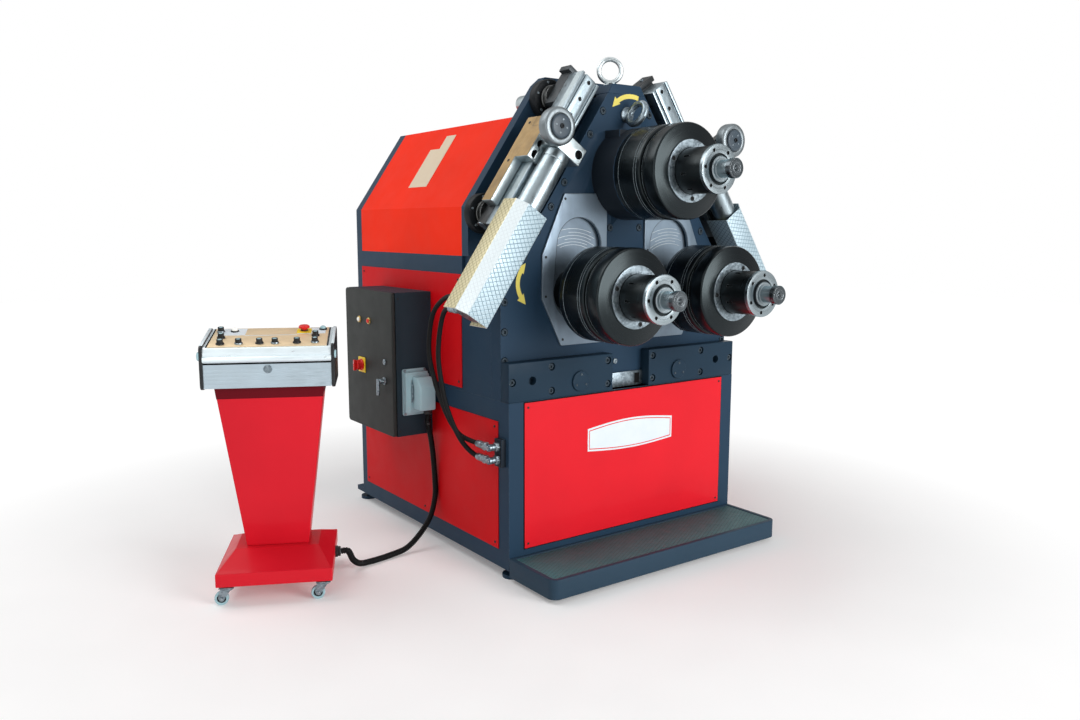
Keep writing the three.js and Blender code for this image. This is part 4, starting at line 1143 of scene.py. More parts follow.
@dataclass(frozen=True)
class Treaded:
    """Sheet with a raised lozenge tread, drawn in a plane of the guide or the floor; on a bent cover the bend
    gets a painted white highlight and the outward side a painted gold reflection.
    """

    name: str
    colour: Triple
    low: Triple
    turn: Triple = (0.0, 0.0, 0.0)
    pitch: float = 0.012
    metallic: float = 0.7
    roughness: float = 0.35
    height: float = 0.6
    side: int = 0
    reflection_tint: Triple = (204, 192, 150)
    reflection_tint_low: Triple = (140, 128, 84)

    def build(self) -> bpy.types.Material:
        """Makes the material.

        Returns:
            The material.
        """
        graph, principled, material = shader(self.name)
        place = graph.place()
        mapped = graph.add("ShaderNodeMapping", {0: place, 2: self.turn}).outputs[0]
        if self.side:
            x, y, z = graph.separate(mapped)
            unrolled = graph.math("ADD", graph.math("MULTIPLY", x, float(self.side)), y)
            long = graph.math("MULTIPLY", z, 1.25)
            mapped = graph.add("ShaderNodeCombineXYZ", {0: unrolled, 1: long}).outputs[0]
        grid = effect(graph, "lozenges", {"Vector": mapped, "Pitch": self.pitch})
        edges = effect(graph, "soft_edges", {"Radius": 0.0015})
        patches = graph.remap(graph.noise(place, 6.0, 4.0), 0.35, 0.65, 0.0, 0.25)
        colour = graph.mix(grid.outputs["Height"], rgba(self.low), rgba(self.colour))
        colour = graph.mix(patches, colour, rgba(self.low))
        if self.side:
            # Colour follows the face's facing: the bend is painted white as a highlight, and the outward side
            # takes a painted gold reflection.
            facing = graph.add("ShaderNodeNewGeometry").outputs["True Normal"]
            outward = graph.math("MULTIPLY", graph.separate(facing)[0], float(self.side))
            bend = graph.remap(outward, 0.25, 0.45, 0.0, 0.75)
            colour = graph.mix(bend, colour, rgba((240, 248, 250)))
            painted_gold_reflection = graph.mix(grid.outputs["Height"], rgba(self.reflection_tint_low), rgba(self.reflection_tint))
            colour = graph.mix(graph.remap(outward, 0.66, 0.8, 0.0, 1.0), colour, painted_gold_reflection)
        # Edges lightened towards near white: partly wear, partly a painted glint.
        rim_wear_and_glint = graph.math("MULTIPLY", edges.outputs["Mask"], 0.5)
        colour = graph.mix(rim_wear_and_glint, colour, rgba((240, 242, 242)))
        least, most = self.roughness - 0.05, self.roughness + 0.1
        rough = graph.remap(graph.noise(place, 30.0), 0.3, 0.7, least, most)
        bump = graph.bump(self.height, 0.001, grid.outputs["Height"], edges.outputs["Normal"])
        graph.feed(
            principled,
            {"Base Color": colour, "Roughness": rough, "Normal": bump, "Metallic": self.metallic},
        )
        return material


class Finishes:
    """Every finish of the machine, each built once."""

    def __init__(self) -> None:
        """Builds the finishes."""
        x, z = LOWER_AXIS
        roll_places = {"upper": UPPER_AXIS, "left_lower": (-x, z), "right_lower": (x, z)}
        looks = [
            Paint("slate_paint", (36, 58, 78), (120, 140, 156), edge_wear_and_glint=0.5, roughness=0.42),
            Paint("slate_shadow_paint", (30, 37, 45), (84, 96, 108), edge_wear_and_glint=0.4, roughness=0.45),
            Paint("beam_paint", (30, 50, 66), (110, 130, 146), edge_wear_and_glint=0.5, roughness=0.42),
            # A darker red that paints the console box's shadow on its column.
            Paint("neck_red_paint", (96, 6, 20), (120, 20, 34), edge_wear_and_glint=0.1, roughness=0.5),
            Paint("slate_dark_paint", (40, 46, 50), (110, 122, 130), edge_wear_and_glint=0.4, roughness=0.5),
            Paint("step_rim_paint", (44, 64, 80), (150, 164, 172), edge_wear_and_glint=0.6, roughness=0.45),
            Paint("red_paint_film", (206, 24, 40), (255, 120, 110), 0.25, 0.36, 0.08, coat=0.1),
            Paint("front_red_paint", (216, 24, 38), (255, 130, 120), 0.2, 0.38, 0.08, coat=0.1),
            # A darker red than the front sheet's, which paints the shade on the side and rear sheets.
            Paint("side_red_with_painted_shade", (200, 10, 20), (240, 90, 90), edge_wear_and_glint=0.25, roughness=0.5, peel=0.08),
            # A lighter, oranger red than the other sheets, which paints the light on the hood's slope.
            Paint("hood_paint", (240, 44, 12), (255, 130, 110), edge_wear_and_glint=0.2, roughness=0.55, peel=0.06),
            Paint("cabinet_paint", (52, 55, 54), (120, 122, 120), edge_wear_and_glint=0.3, roughness=0.5, peel=0.5),
            Paint("cabinet_side_paint", (40, 54, 63), (120, 126, 130), edge_wear_and_glint=0.3, roughness=0.5, peel=0.4),
            Paint("post_paint", (30, 33, 36), (90, 96, 100), edge_wear_and_glint=0.5, roughness=0.35),
            Treaded("step_tread", (58, 106, 110), (34, 62, 66), (0, 0, 0.25), 0.04, 0.0, 0.62, 0.5),
            Brushed("cover_plate_steel", (122, 138, 152), (0, 0.9, 0), (14.0, 1.0, 1.0), roughness=0.42,
                    metallic=0.6, stained=0.5, stain=(96, 108, 120)),
            Brushed("lip_aluminium", (228, 240, 245), (0, 0, 0.45), (1.0, 10.0, 10.0), 40.0,
                    metallic=0.5, roughness=0.34, marks=0.04, stained=0.05),
            Brushed("bright_ground_steel", (150, 158, 162), (0, 0, 0), (12.0, 12.0, 1.0)),
            Brushed("desk_aluminium_brushed", (182, 198, 208), (0, 0, 0.45), (1.0, 10.0, 10.0), 40.0,
                    metallic=0.85, roughness=0.4, stained=0.12),
            Brushed("panel_beige", (228, 204, 166), (0, 0, 0.45), (1.0, 12.0, 12.0), 40.0, metallic=0.45,
                    roughness=0.45, stained=0.1),
            Zinc("zinc_plating", (152, 166, 174), (112, 124, 132)),
            Zinc("pale_zinc", (214, 222, 224), (190, 200, 203)),
            # The pale edge colour at 0.9 paints highlights on the screw heads' rims, with some wear.
            Paint("screw_paint", (50, 62, 72), (150, 164, 172), edge_wear_and_glint=0.9, roughness=0.35),
            Zinc("gold_zinc", (206, 178, 110), (160, 132, 76)),
            Moulded("black_plastic_grain", (24, 27, 29), 0.4),
            Moulded("grey_plastic_grain", (152, 186, 194), 0.5, edge=(200, 214, 220)),
            Moulded("red_plastic_gloss", (214, 24, 24), 0.28, 0.05, edge=(250, 120, 110)),
            Moulded("yellow_plastic", (232, 200, 30), 0.45, edge=(250, 230, 120)),
            Moulded("white_label", (214, 224, 230), 0.5, 0.02, edge=(250, 250, 250)),
            Moulded("pale_label", (214, 196, 170), 0.5, 0.02, edge=(230, 220, 200)),
            Moulded("black_rubber_matt", (14, 15, 16), 0.62, 0.2, 500.0, edge=(40, 42, 44), specular=0.15),
            # The conduit's pale edge colour at 0.9 paints glints along its ribs.
            Paint("conduit_black", (16, 18, 19), (214, 224, 228), edge_wear_and_glint=0.9, roughness=0.4),
            Moulded("disc_slate", (56, 68, 78), 0.35, edge=(110, 122, 130)),
            # Black for dark joints, and for discs and sheets that paint the shade inside holes and slots.
            Moulded("recess_black", (9, 9, 10), 0.7, edge=(20, 20, 22), specular=0.1),
            Moulded("lamp_white", (240, 240, 232), 0.25, 0.02, edge=(255, 255, 255), glow=0.15),
            Moulded("lamp_red", (214, 40, 30), 0.25, 0.02, edge=(255, 120, 100), glow=0.1),
            Moulded("arrow_yellow", (222, 206, 96), 0.5, 0.02, edge=(240, 228, 150)),
        ]
        for name, centre in roll_places.items():
            looks += [
                # The rolls' pale edge colour at 0.95 mostly paints the highlights on the groove and flange
                # rims.
                Turned(name + "_roll_black", (10, 14, 17), centre, 0.0, 0.25, 1500.0, 0.015,
                       (176, 192, 200), 0.95, (8, 10, 11), 0.05, 0.3, 0.0018),
                Turned(name + "_shaft_bright", (150, 161, 166), centre, 1.0, 0.26, 1300.0, 0.12,
                       (214, 222, 226), 0.5, (100, 108, 112)),
                Turned(name + "_shaft_dark", (92, 98, 102), centre, 1.0, 0.24, 1300.0, 0.14,
                       (200, 206, 210), 0.6, (50, 54, 57)),
                Turned(name + "_sleeve_black", (13, 17, 19), centre, 0.0, 0.3, 1300.0, 0.05,
                       (120, 128, 132), 0.6, (9, 11, 12), 0.1, 0.3),
            ]
        for side, label in SIDES:
            lean = side * SLANT
            looks += [
                Brushed(label + "_rail_steel", (158, 172, 179), (0, lean, 0), (14.0, 14.0, 1.0),
                        roughness=0.34, stained=0.4, stain=(120, 130, 136)),
                Brushed(label + "_barrel_steel", (154, 167, 173), (0, lean, 0), (14.0, 14.0, 1.0),
                        roughness=0.33, stained=0.3, stain=(110, 118, 122)),
                Brushed(label + "_roller_steel", (126, 134, 138), (0, lean, 0), (14.0, 14.0, 1.0),
                        roughness=0.42, stained=0.3, stain=(104, 110, 112)),
                Brushed(label + "_rough_steel", (50, 56, 60), (0, lean, 0), (6.0, 6.0, 1.0),
                        roughness=0.45, metallic=0.5, stained=0.7, stain=(38, 34, 30)),
                Brushed(label + "_dark_steel", (92, 94, 94), (0, lean, 0), (14.0, 14.0, 1.0),
                        roughness=0.3, stained=0.4, stain=(58, 56, 50)),
                Brushed(label + "_block_steel", (178, 190, 194), (0, lean, 0), (10.0, 10.0, 1.0),
                        roughness=0.36, stained=0.3, stain=(140, 148, 146)),
                # Gold on the guides' outward faces is a painted warm reflection on the steel.
                Brushed(label + "_brass_steel", (164, 136, 90), (0, lean, 0), (14.0, 14.0, 1.0),
                        roughness=0.45, metallic=0.55, stained=0.7, stain=(104, 84, 54)),
                Treaded(label + "_cover_tread", (180, 200, 209), (104, 128, 142),
                        (0, lean, 0), 0.05, 0.35, 0.38, 0.5, side, (214, 206, 168), (150, 138, 92)),
            ]
        self.built = {look.name: look.build() for look in looks}

    def __getitem__(self, name: str) -> bpy.types.Material:
        """Gives a finish by name.

        Args:
            name: The finish's name.

        Returns:
            The material.
        """
        return self.built[name]


finishes = Finishes()


def shaped(points: list[Triple], segments: int = 6) -> list[Point]:
    """Rounds the corners of an outline, each by its own radius.

    Args:
        points: Each corner's two coordinates and its radius.
        segments: The number of edges in each rounded corner.

    Returns:
        The outline.
    """
    found = []
    for i, (x, y, radius) in enumerate(points):
        here = Vector((x, y))
        if radius <= 0.0:
            found.append((x, y))
            continue
        before = Vector(points[i - 1][:2]) - here
        after = Vector(points[(i + 1) % len(points)][:2]) - here
        half = before.angle(after) / 2
        reach = radius / math.tan(half)
        middle = here + (before.normalized() + after.normalized()).normalized() * radius / math.sin(half)
        start = here + before.normalized() * reach - middle
        end = here + after.normalized() * reach - middle
        for k in range(segments + 1):
            arm = start.normalized().slerp(end.normalized(), k / segments)
            found.append(tuple(middle + arm * radius))
    return found


def oblong(x: Span, y: Span, radius: float, segments: int = 6) -> list[Point]:
    """Draws a rectangle with rounded corners.

    Args:
        x: Its span along the first drawn coordinate.
        y: Its span along the second one.
        radius: The corner radius.
        segments: The number of edges in each corner.

    Returns:
        The outline.
    """
    corners = [(x[0], y[0]), (x[1], y[0]), (x[1], y[1]), (x[0], y[1])]
    return shaped([(*corner, radius) for corner in corners], segments)


def stadium(radius: float, low: float, high: float, steps: int = 20) -> list[Point]:
    """Draws an upright slot.

    Args:
        radius: Half of the slot's width.
        low: The lower centre.
        high: The upper centre.
        steps: The number of edges in each half circle.

    Returns:
        The outline.
    """
    right = [(radius * math.cos(math.pi * k / steps), high + radius * math.sin(math.pi * k / steps))
             for k in range(steps + 1)]
    left = [(-radius * math.cos(math.pi * k / steps), low - radius * math.sin(math.pi * k / steps))
            for k in range(steps + 1)]
    return right + left


def carriage_frame(side: int) -> Matrix:
    """Gives the machine-frame place of a carriage: origin on the roll, Z along the lift.

    Args:
        side: -1 for the left carriage and 1 for the right one.

    Returns:
        The frame, in millimetres.
    """
    turn = Matrix.Rotation(-side * math.radians(5.4), 4, "Y")
    return Matrix.Translation((side * LOWER_AXIS[0], 0.0, LOWER_AXIS[1])) @ turn


class Maker:
    """A group of pieces that is drawn in one frame."""

    place: Matrix = MACHINE
    label = ""
    body = "machine"

    def add(
        self, obj: bpy.types.Object, name: str, finish: str, slot: str, body: str = "",
        stands_for: tuple[str, ...] = (), smooth: float = 32.0,
    ) -> None:
        """Makes a piece of a shape drawn in the group's frame.

        Args:
            obj: The shape.
            name: The piece's name, after the group's label.
            finish: The finish's name, with "*" for the label.
            slot: The material slot; not used.
            body: The body it rides on, or nothing for the group's own.
            stands_for: The CAD nodes it replaces.
            smooth: The angle under which edges are shaded smooth, in degrees.
        """
        start = self.label + "_" if self.label else ""
        shop.piece(
            obj, start + name, finish.replace("*", self.label), body or self.body, self.place,
            stands_for, smooth,
        )


QUARTER = math.pi / 2
UPWARD = Matrix.Rotation(-QUARTER, 4, "X")


def fastener(x: float, y: float, z: float, size: float, turn: Matrix = IN_PLACE) -> Matrix:
    """Places a fastener, which looks to the front unless it is turned.

    Args:
        x: Its place across.
        y: Its place in depth.
        z: Its height.
        size: Its radius.
        turn: Its turn.

    Returns:
        The place.
    """
    return Matrix.Translation((x, y, z)) @ turn @ Matrix.Scale(size, 4)


class Base:
    """The lower frame with its red sheets, name plate and screws."""

    side_face = 603.3

    def front_sheet(self) -> None:
        """Makes the front sheet, the dark joint round it and its screws."""
        outline = oblong((-530, 530), (119, 686), 3, 4)
        sheet = bench.soften(bench.prism(outline, (-3.3, -0.3)), 0.8, 2)
        shop.piece(
            sheet, "front_sheet", "front_red_paint", stands_for=("front_panel",),
            smooth=18.0,
        )
        joint = bench.prism(oblong((-534, 534), (115, 690), 4, 4), (-0.26, -0.04))
        shop.piece(joint, "front_sheet_joint", "recess_black")
        places = [(x, z) for x in (-514, 514) for z in (137, 668)]
        heads = bench.copies(bench.screw(0.45), [fastener(x, -3.3, z, 4.4) for x, z in places])
        shop.piece(heads, "front_sheet_screws", "black_plastic_grain")

    def name_plate(self) -> None:
        """Makes the blank white plate with its bulged edges and red inner line."""

        def outline(inset: float) -> list[Point]:
            top = [(-226 + inset + (457 - 2 * inset) * k / 16,
                    548 - inset + 20 * math.sin(math.pi * k / 16)) for k in range(17)]
            foot = [(x, 457 + inset - 14 * math.sin(math.pi * k / 16)) for k, (x, _) in enumerate(top)]
            return foot + top[::-1]
        plate = bench.soften(bench.prism(outline(0.0), (-4.4, -3.25)), 0.4, 1)
        shop.piece(plate, "blank_name_plate", "white_label")
        line = bench.cut(bench.prism(outline(7.0), (-4.55, -4.3)), bench.prism(outline(10.5), (-5.0, -4.0)))
        shop.piece(line, "blank_name_plate_line", "red_plastic_gloss")

    def side_screws(self) -> None:
        """Makes the screws of the side and rear sheets."""
        lower = [(y, z) for y in (92.0, 651.0, 1210.0) for z in (135.0, 591.0)]
        upper = [(y, z) for y in (352.0, 1210.0) for z in (726.0, 1134.0)]
        for side, label in SIDES:
            out = Matrix.Rotation(side * QUARTER, 4, "Z")
            places = [fastener(side * self.side_face, y, z, 5.0, out) for y, z in lower + upper]
            heads = bench.screws(places, 0.45)
            shop.piece(heads, label + "_sheet_screws", "black_plastic_grain")
        back = Matrix.Rotation(math.pi, 4, "Z")
        places = [
            fastener(x, 1286.0 + 3.3, z, 6.5, back) for x in (-482.0, 0.0, 482.0) for z in (760.0, 1146.0)
        ]
        shop.piece(bench.screws(places, 0.45), "rear_sheet_screws", "black_plastic_grain")

    def build(self) -> None:
        """Makes the base."""
        shop.dress("base_frame", "slate_paint")
        shop.dress("body_frame", "slate_paint")
        sheets = [label + part for part in ("_base_panel", "_body_panel") for _, label in SIDES]
        # The side and rear sheets take a darker red that paints the shade on them.
        for node in (*sheets, "rear_panel"):
            shop.dress(node, "side_red_with_painted_shade")
        shop.dress("power_unit", "slate_dark_paint")
        self.front_sheet()
        self.name_plate()
        self.side_screws()


class Step:
    """The footboard: a rounded rim round a treaded plate."""

    def outline(self, inset: float) -> list[Point]:
        """Draws the board from above.

        Args:
            inset: How far the outline lies inside the board's edge.

        Returns:
            The outline.
        """
        x, front, back = 600.0 - inset, -280.0 + inset, -inset * 0.9 - 0.3
        corner = max(35.0 - inset, 6.0)
        return shaped([(-x, front, corner), (x, front, corner), (x, back, 2.0), (-x, back, 2.0)], 8)

    def build(self) -> None:
        """Makes the rim and the tread."""
        rim = bench.prism(self.outline(0.0), (18.0, 93.0), Axis.Z)
        rim = bench.cut(rim, bench.prism(self.outline(19.0), (88.4, 99.0), Axis.Z))
        rim = bench.cut(rim, bench.prism(self.outline(6.0), (10.0, 84.0), Axis.Z))
        bench.soften(rim, 2.6, 3, 50.0)
        shop.piece(rim, "step_rim", "step_rim_paint", stands_for=("step_platform",))
        tread = bench.soften(bench.prism(self.outline(20.2), (85.0, 91.2), Axis.Z), 1.2, 2, 50.0)
        shop.piece(tread, "step_tread_plate", "step_tread")


class Beam:
    """The lower beam in front of the head, with its screws, pins and lift barrels."""

    foot, top, depth = 691.3, 840.3, 52.7
    pin_axis = (264.0, 745.0)
    bolts = [(582, 768), (401, 814), (401, 720), (121, 814), (121, 720)]
    plain = (492, 768)

    def block(self, low: float, high: float, label: str) -> None:
        """Makes one half of the beam with its counterbored screws.

        Args:
            low: The half's left end.
            high: Its right end.
            label: The start of its name.
        """
        half = bench.slab((low, high), (0.0, self.depth), (self.foot, self.top), 2.4, 3)
        side = -1 if high < 0 else 1
        shafts = [
            bench.bar(15.5, (-3.0, 17.0), centre=(side * x, z), edge=0.5, steps=28) for x, z in self.bolts
        ]
        x, z = self.plain
        shafts.append(bench.bar(17.0, (-3.0, 30.0), centre=(side * x, z), edge=0.5, steps=32))
        half = bench.cut(half, bench.join(*shafts))
        stands = ("lower_beam",) if side < 0 else ()
        shop.piece(half, label + "_beam_block", "beam_paint", stands_for=stands)
        heads = bench.copies(bench.screw(0.9), [fastener(side * x, 16.0, z, 12.0) for x, z in self.bolts])
        shop.piece(heads, label + "_beam_screws", "screw_paint")

    def pin(self, side: int, label: str) -> None:
        """Makes one lift pin with its round cap and three screws.

        Args:
            side: -1 for the left pin and 1 for the right one.
            label: The start of its name.
        """
        x, z = side * self.pin_axis[0], self.pin_axis[1]
        cap = bench.turned(
            [(0.0, -9.0), (33.0, -9.0), (38.4, -8.3), (40.0, -6.6), (40.0, 0.2), (0.0, 0.2)],
            centre=(x, z), steps=56,
        )
        shop.piece(cap, label + "_pin_cap", "beam_paint")
        places = [
            fastener(x + 27 * math.cos(a), -9.0, z + 27 * math.sin(a), 4.6)
            for a in (math.radians(d) for d in (90.0, 210.0, 330.0))
        ]
        shop.piece(bench.screws(places, 0.4, 16), label + "_pin_cap_screws", "screw_paint")
        shop.piece(
            bench.bar(30.0, (0.3, 196.0), centre=(x, z), edge=1.0, steps=40), label + "_lift_pin",
            "bright_ground_steel",
        )
        tube = bench.ring(62.0, 31.0, (z - 42.0 - LOWER_AXIS[1], -145.8), Axis.Z, (0.0, 196.0), 1.5, 48)
        tube.data.transform(carriage_frame(side))
        shop.piece(tube, label + "_lift_barrel", "black_plastic_grain")

    def build(self) -> None:
        """Makes the beam."""
        self.block(-600.0, -97.0, "left")
        self.block(98.0, 600.0, "right")
        plate = bench.slab((-97.0, 98.0), (43.7, self.depth), (self.foot, 751.3), 0.8)
        shop.piece(plate, "beam_gap_plate", "zinc_plating")
        # A thin black sheet paints the shade inside the slot in the gap plate.
        slot = bench.prism(oblong((58, 84), (700, 742), 3), (43.2, 43.75))
        shop.piece(slot, "beam_gap_slot", "recess_black")
        for side, label in SIDES:
            self.pin(side, label)


class Head:
    """The front head plate with its stop block, cap, eyes, slot covers and direction arrows."""

    cover_corner = (102.0, 884.0)
    cover_size = (314.0, 586.0)
    cap_top = 1894.3

    def on_cover(self, side: int, shares: list[Point]) -> list[Point]:
        """Puts points on a slot cover.

        Args:
            side: -1 for the left cover and 1 for the right one.
            shares: The points as shares of the cover's width and height.

        Returns:
            The points across and up.
        """
        (x0, z0), (wide, high) = self.cover_corner, self.cover_size
        return [(side * (x0 + x * wide), z0 + z * high) for x, z in shares]

    def bolts(self) -> list[Point]:
        """Gives the places of the head's bolts.

        Returns:
            Their places across and up.
        """
        places = [(side * 583.0, z) for side in (-1, 1) for z in (1064.0, 952.0, 843.0)]
        places += [(-77.0, 1338.0), (77.0, 1338.0)]
        places += [(side * (121.0 + 62.2 * k), 1786.0 - 92.6 * k) for side in (-1, 1) for k in range(7)]
        return places

    def plate(self) -> None:
        """Makes the head plate with its counterbored bolts."""
        plate = bench.node_copy("front_head_plate")
        bores = bench.join(*[
            bench.bar(15.5, (48.0, 68.0), centre=spot, edge=0.5, steps=24) for spot in self.bolts()
        ])
        bores.data.transform(MACHINE)
        plate = bench.cut(plate, bores)
        shop.piece(
            plate, "head_plate", "slate_paint", place=IN_PLACE,
            stands_for=("front_head_plate",),
        )
        heads = bench.screws([fastener(x, 62.0, z, 13.2) for x, z in self.bolts()], 0.9, 20)
        shop.piece(heads, "head_plate_screws", "screw_paint")
        single = bench.screws([fastener(-43.0, 53.0, 799.0, 11.0)], 0.5, 20)
        shop.piece(single, "head_gap_screw", "zinc_plating")

    def stop_block(self) -> None:
        """Makes the dark stop block over the upper roll."""
        block = bench.slab((-110.3, -33.7), (-35.3, 53.0), (1626.0, 1712.3), 3.0, 3)
        shop.piece(block, "stop_block", "slate_shadow_paint")

    def cap(self) -> None:
        """Makes the cap with its lifting eye and the eye bolt below it."""
        points = [(-97.3, 1855.3, 2), (97.3, 1855.3, 2), (71.3, self.cap_top, 5), (-71.3, self.cap_top, 5)]
        cap = bench.soften(bench.prism(shaped(points, 4), (53.0, 189.0)), 2.0, 3)
        shop.piece(cap, "crown_cap", "slate_paint", stands_for=("head_cap",))
        bolts = [fastener(x, 88.0, self.cap_top, 8.0, UPWARD) for x in (-54.0, 54.0)]
        shop.piece(bench.screws(bolts, 0.7), "crown_cap_screws", "black_plastic_grain")
        collar = bench.turned(
            [(0.0, 1894.0), (28.0, 1894.0), (28.0, 1903.0), (26.0, 1906.0), (19.0, 1909.0), (15.0, 1914.0),
             (0.0, 1916.0)],
            Axis.Z, (0.0, 157.0), 48,
        )
        ring = bench.eye(45.0, 9.5, Vector((0.0, 157.0, 1960.8)), (math.pi / 2, 0.0, -0.56))
        shop.piece(bench.join(collar, ring), "lifting_eye", "pale_zinc")
        front = bench.turned(
            [(0.0, 53.1), (31.0, 53.1), (31.0, 46.0), (29.0, 43.5), (20.0, 41.5), (15.0, 36.0), (13.0, 28.0),
             (0.0, 28.0)],
            centre=(0.0, 1778.0), steps=36,
        )
        loop = bench.eye(43.0, 12.5, Vector((0.0, -10.0, 1778.0)), (0.0, 1.95, 0.0))
        shop.piece(bench.join(front, loop), "front_eye_bolt", "zinc_plating")

    def slot_cover(self, side: int, label: str) -> None:
        """Makes one ground plate round a carriage's slot, with its small screws and edge line.

        Args:
            side: -1 for the left plate and 1 for the right one.
            label: The start of its name.
        """
        shares = [(0, 0), (0.713, 0), (1, 0.316), (1, 0.602), (0.669, 0.993), (0.111, 1), (0, 0.969)]
        points = [(*point, 5.0) for point in self.on_cover(side, shares)]
        plate = bench.soften(bench.prism(shaped(points, 3), (42.7, 52.7)), 0.9, 2)
        hole = bench.prism(stadium(108.0, 0.0, 178.0, 24), (30.0, 60.0))
        hole.data.transform(carriage_frame(side))
        housing = bench.bar(176.8, (30.0, 60.0), centre=UPPER_AXIS, edge=0.5, steps=80)
        plate = bench.cut(plate, hole, housing)
        shop.piece(
            plate, label + "_slot_plate", "cover_plate_steel",
            stands_for=(label + "_slot_cover",),
        )
        edge = bench.cut(
            bench.prism(stadium(110.4, 0.0, 178.0, 28), (42.4, 43.6)),
            bench.prism(stadium(108.8, 0.0, 178.0, 28), (40.0, 50.0)),
        )
        edge.data.transform(carriage_frame(side))
        edge = bench.cut(edge, bench.bar(178.4, (30.0, 60.0), centre=UPPER_AXIS, edge=0.5, steps=80))
        shop.piece(edge, label + "_slot_edge", "slate_shadow_paint")
        self.scratches(side, label)
        spots = [(0.05, 0.04), (0.05, 0.3), (0.05, 0.62), (0.69, 0.04), (0.95, 0.33), (0.95, 0.585),
                 (0.66, 0.96), (0.14, 0.965)]
        places = [fastener(x, 42.7, z, 5.0) for x, z in self.on_cover(side, spots)]
        shop.piece(
            bench.screws(places, 0.35, 16), label + "_slot_plate_screws",
            "black_plastic_grain",
        )

    def scratches(self, side: int, label: str) -> None:
        """Makes the bright arcs that the roll has worn into the sliding shield.

        Args:
            side: -1 for the left shield and 1 for the right one.
            label: The start of its name.
        """
        arcs = []
        for radius, start, stop in (
            (190.0, 1.15, 2.0), (201.0, 1.3, 2.05), (213.0, 1.15, 1.85), (226.0, 1.25, 2.0),
            (238.0, 1.2, 1.75), (252.0, 1.3, 1.9),
        ):
            steps = 24
            angles = [start + (stop - start) * k / steps for k in range(steps + 1)]
            rim = [(radius * math.cos(a), radius * math.sin(a) - 8.0) for a in angles]
            inner = [((radius - 1.5) * math.cos(a), (radius - 1.5) * math.sin(a) - 8.0) for a in angles]
            inside = [i for i, (x, _) in enumerate(rim) if abs(x) < 100.0]
            first, last = inside[0], inside[-1] + 1
            arcs.append(bench.prism(rim[first:last] + inner[first:last][::-1], (63.3, 64.2)))
        rim_wear_and_glint = bench.join(*arcs)
        rim_wear_and_glint.data.transform(carriage_frame(side))
        shop.piece(rim_wear_and_glint, label + "_shield_arcs", "pale_zinc", label + "_lift")

    def arrow(self, points: list[Point], heads: list[tuple[int, int]], name: str) -> None:
        """Makes a flat curved arrow on the head's face.

        Args:
            points: Three points that the arrow runs through.
            heads: For each head, the index of its tip and of the point it comes from.
            name: The piece's name.
        """
        a, b, c = (Vector(p) for p in points)
        line = [
            (1 - t) * (1 - 2 * t) * a + 4 * t * (1 - t) * b + t * (2 * t - 1) * c
            for t in (k / 18 for k in range(19))
        ]
        tips = {0: (line[0], line[1]), 18: (line[-1], line[-2])}
        start = 3 if any(tip == 0 for tip, _ in heads) else 0
        stop = 16 if any(tip == 18 for tip, _ in heads) else 19
        body = line[start:stop]
        width = 9.0
        lower, higher = [], []
        for i, spot in enumerate(body):
            along = (body[min(i + 1, len(body) - 1)] - body[max(i - 1, 0)]).normalized()
            across = Vector((-along.y, along.x)) * width
            lower.append(tuple(spot - across))
            higher.append(tuple(spot + across))
        parts = [bench.prism(lower + higher[::-1], (52.3, 53.0))]
        for tip, _ in heads:
            end, near = tips[tip]
            along = (end - near).normalized()
            across = Vector((-along.y, along.x))
            root = end - along * 30
            outline = [tuple(end + along * 8), tuple(root + across * 19), tuple(root - across * 19)]
            parts.append(bench.prism(outline, (52.2, 53.0)))
        shop.piece(bench.join(*parts), name, "arrow_yellow")

    def hood_strip(self) -> None:
        """Makes the pale plain strip on the left slope of the hood."""
        thick = 1.0
        low, high, step = 110.0, 380.0, 312.0
        points = [(715, low), (875, low), (875, step), (795, step), (795, high), (715, high)]
        strip = bench.prism(points, (0.0, thick), Axis.X)
        along = Vector((math.sin(SLANT), 0.0, math.cos(SLANT)))
        outward = Vector((-math.cos(SLANT), 0.0, math.sin(SLANT)))
        base = Vector((-600.0, 0.0, 1417.0)) + outward * 0.15
        turn = Matrix(
            (
                (outward.x, 0.0, along.x, base.x),
                (0.0, 1.0, 0.0, 0.0),
                (outward.z, 0.0, along.z, base.z),
                (0.0, 0.0, 0.0, 1.0),
            )
        )
        strip.data.transform(turn)
        shop.piece(strip, "hood_plain_strip", "pale_label")

    def build(self) -> None:
        """Makes the head."""
        self.plate()
        self.stop_block()
        self.cap()
        for side, label in SIDES:
            self.slot_cover(side, label)
        self.arrow([(-492, 1200), (-523, 1129), (-492, 1057)], [(0, 1), (18, 17)], "side_arrow")
        self.arrow([(-68, 1810), (-10, 1847), (61, 1846)], [(0, 1)], "top_arrow")
        self.hood_strip()
        # The hood takes a lighter, oranger red that paints the light on its slope.
        shop.dress("hood", "hood_paint")
        shop.dress("rear_head_plate", "slate_paint")


@dataclass(frozen=True)
class RollSizes:
    """Sizes of a bending roll, its sleeve, ring and shaft, in millimetres."""

    radius: float = 177.6
    front: float = -305.0
    back: float = -80.0
    edge: float = 9.0
    ring_radius: float = 115.0
    ring_thick: float = 8.0
    bore: float = 55.6
    shaft: float = 55.0
    tip: float = -533.0
    end: float = 35.5
    end_length: float = 24.0
    stub: float = 31.0
    nose: float = 46.0
    nose_proud: float = 10.0
    sleeve: float = 84.0
    sleeve_length: float = 124.0
    end_ring: float = 88.0
    end_thick: float = 15.0
    recess: float = 55.0
    shaft_back: float = 400.0

    @property
    def sleeve_back(self) -> float:
        """Gives the sleeve's rear end, just before the clamp ring.

        Returns:
            Its place along Y.
        """
        return self.front - self.ring_thick - 0.3

    @property
    def end_back(self) -> float:
        """Gives the end ring's rear face, just before the sleeve.

        Returns:
            Its place along Y.
        """
        return self.sleeve_back - self.sleeve_length - 0.1


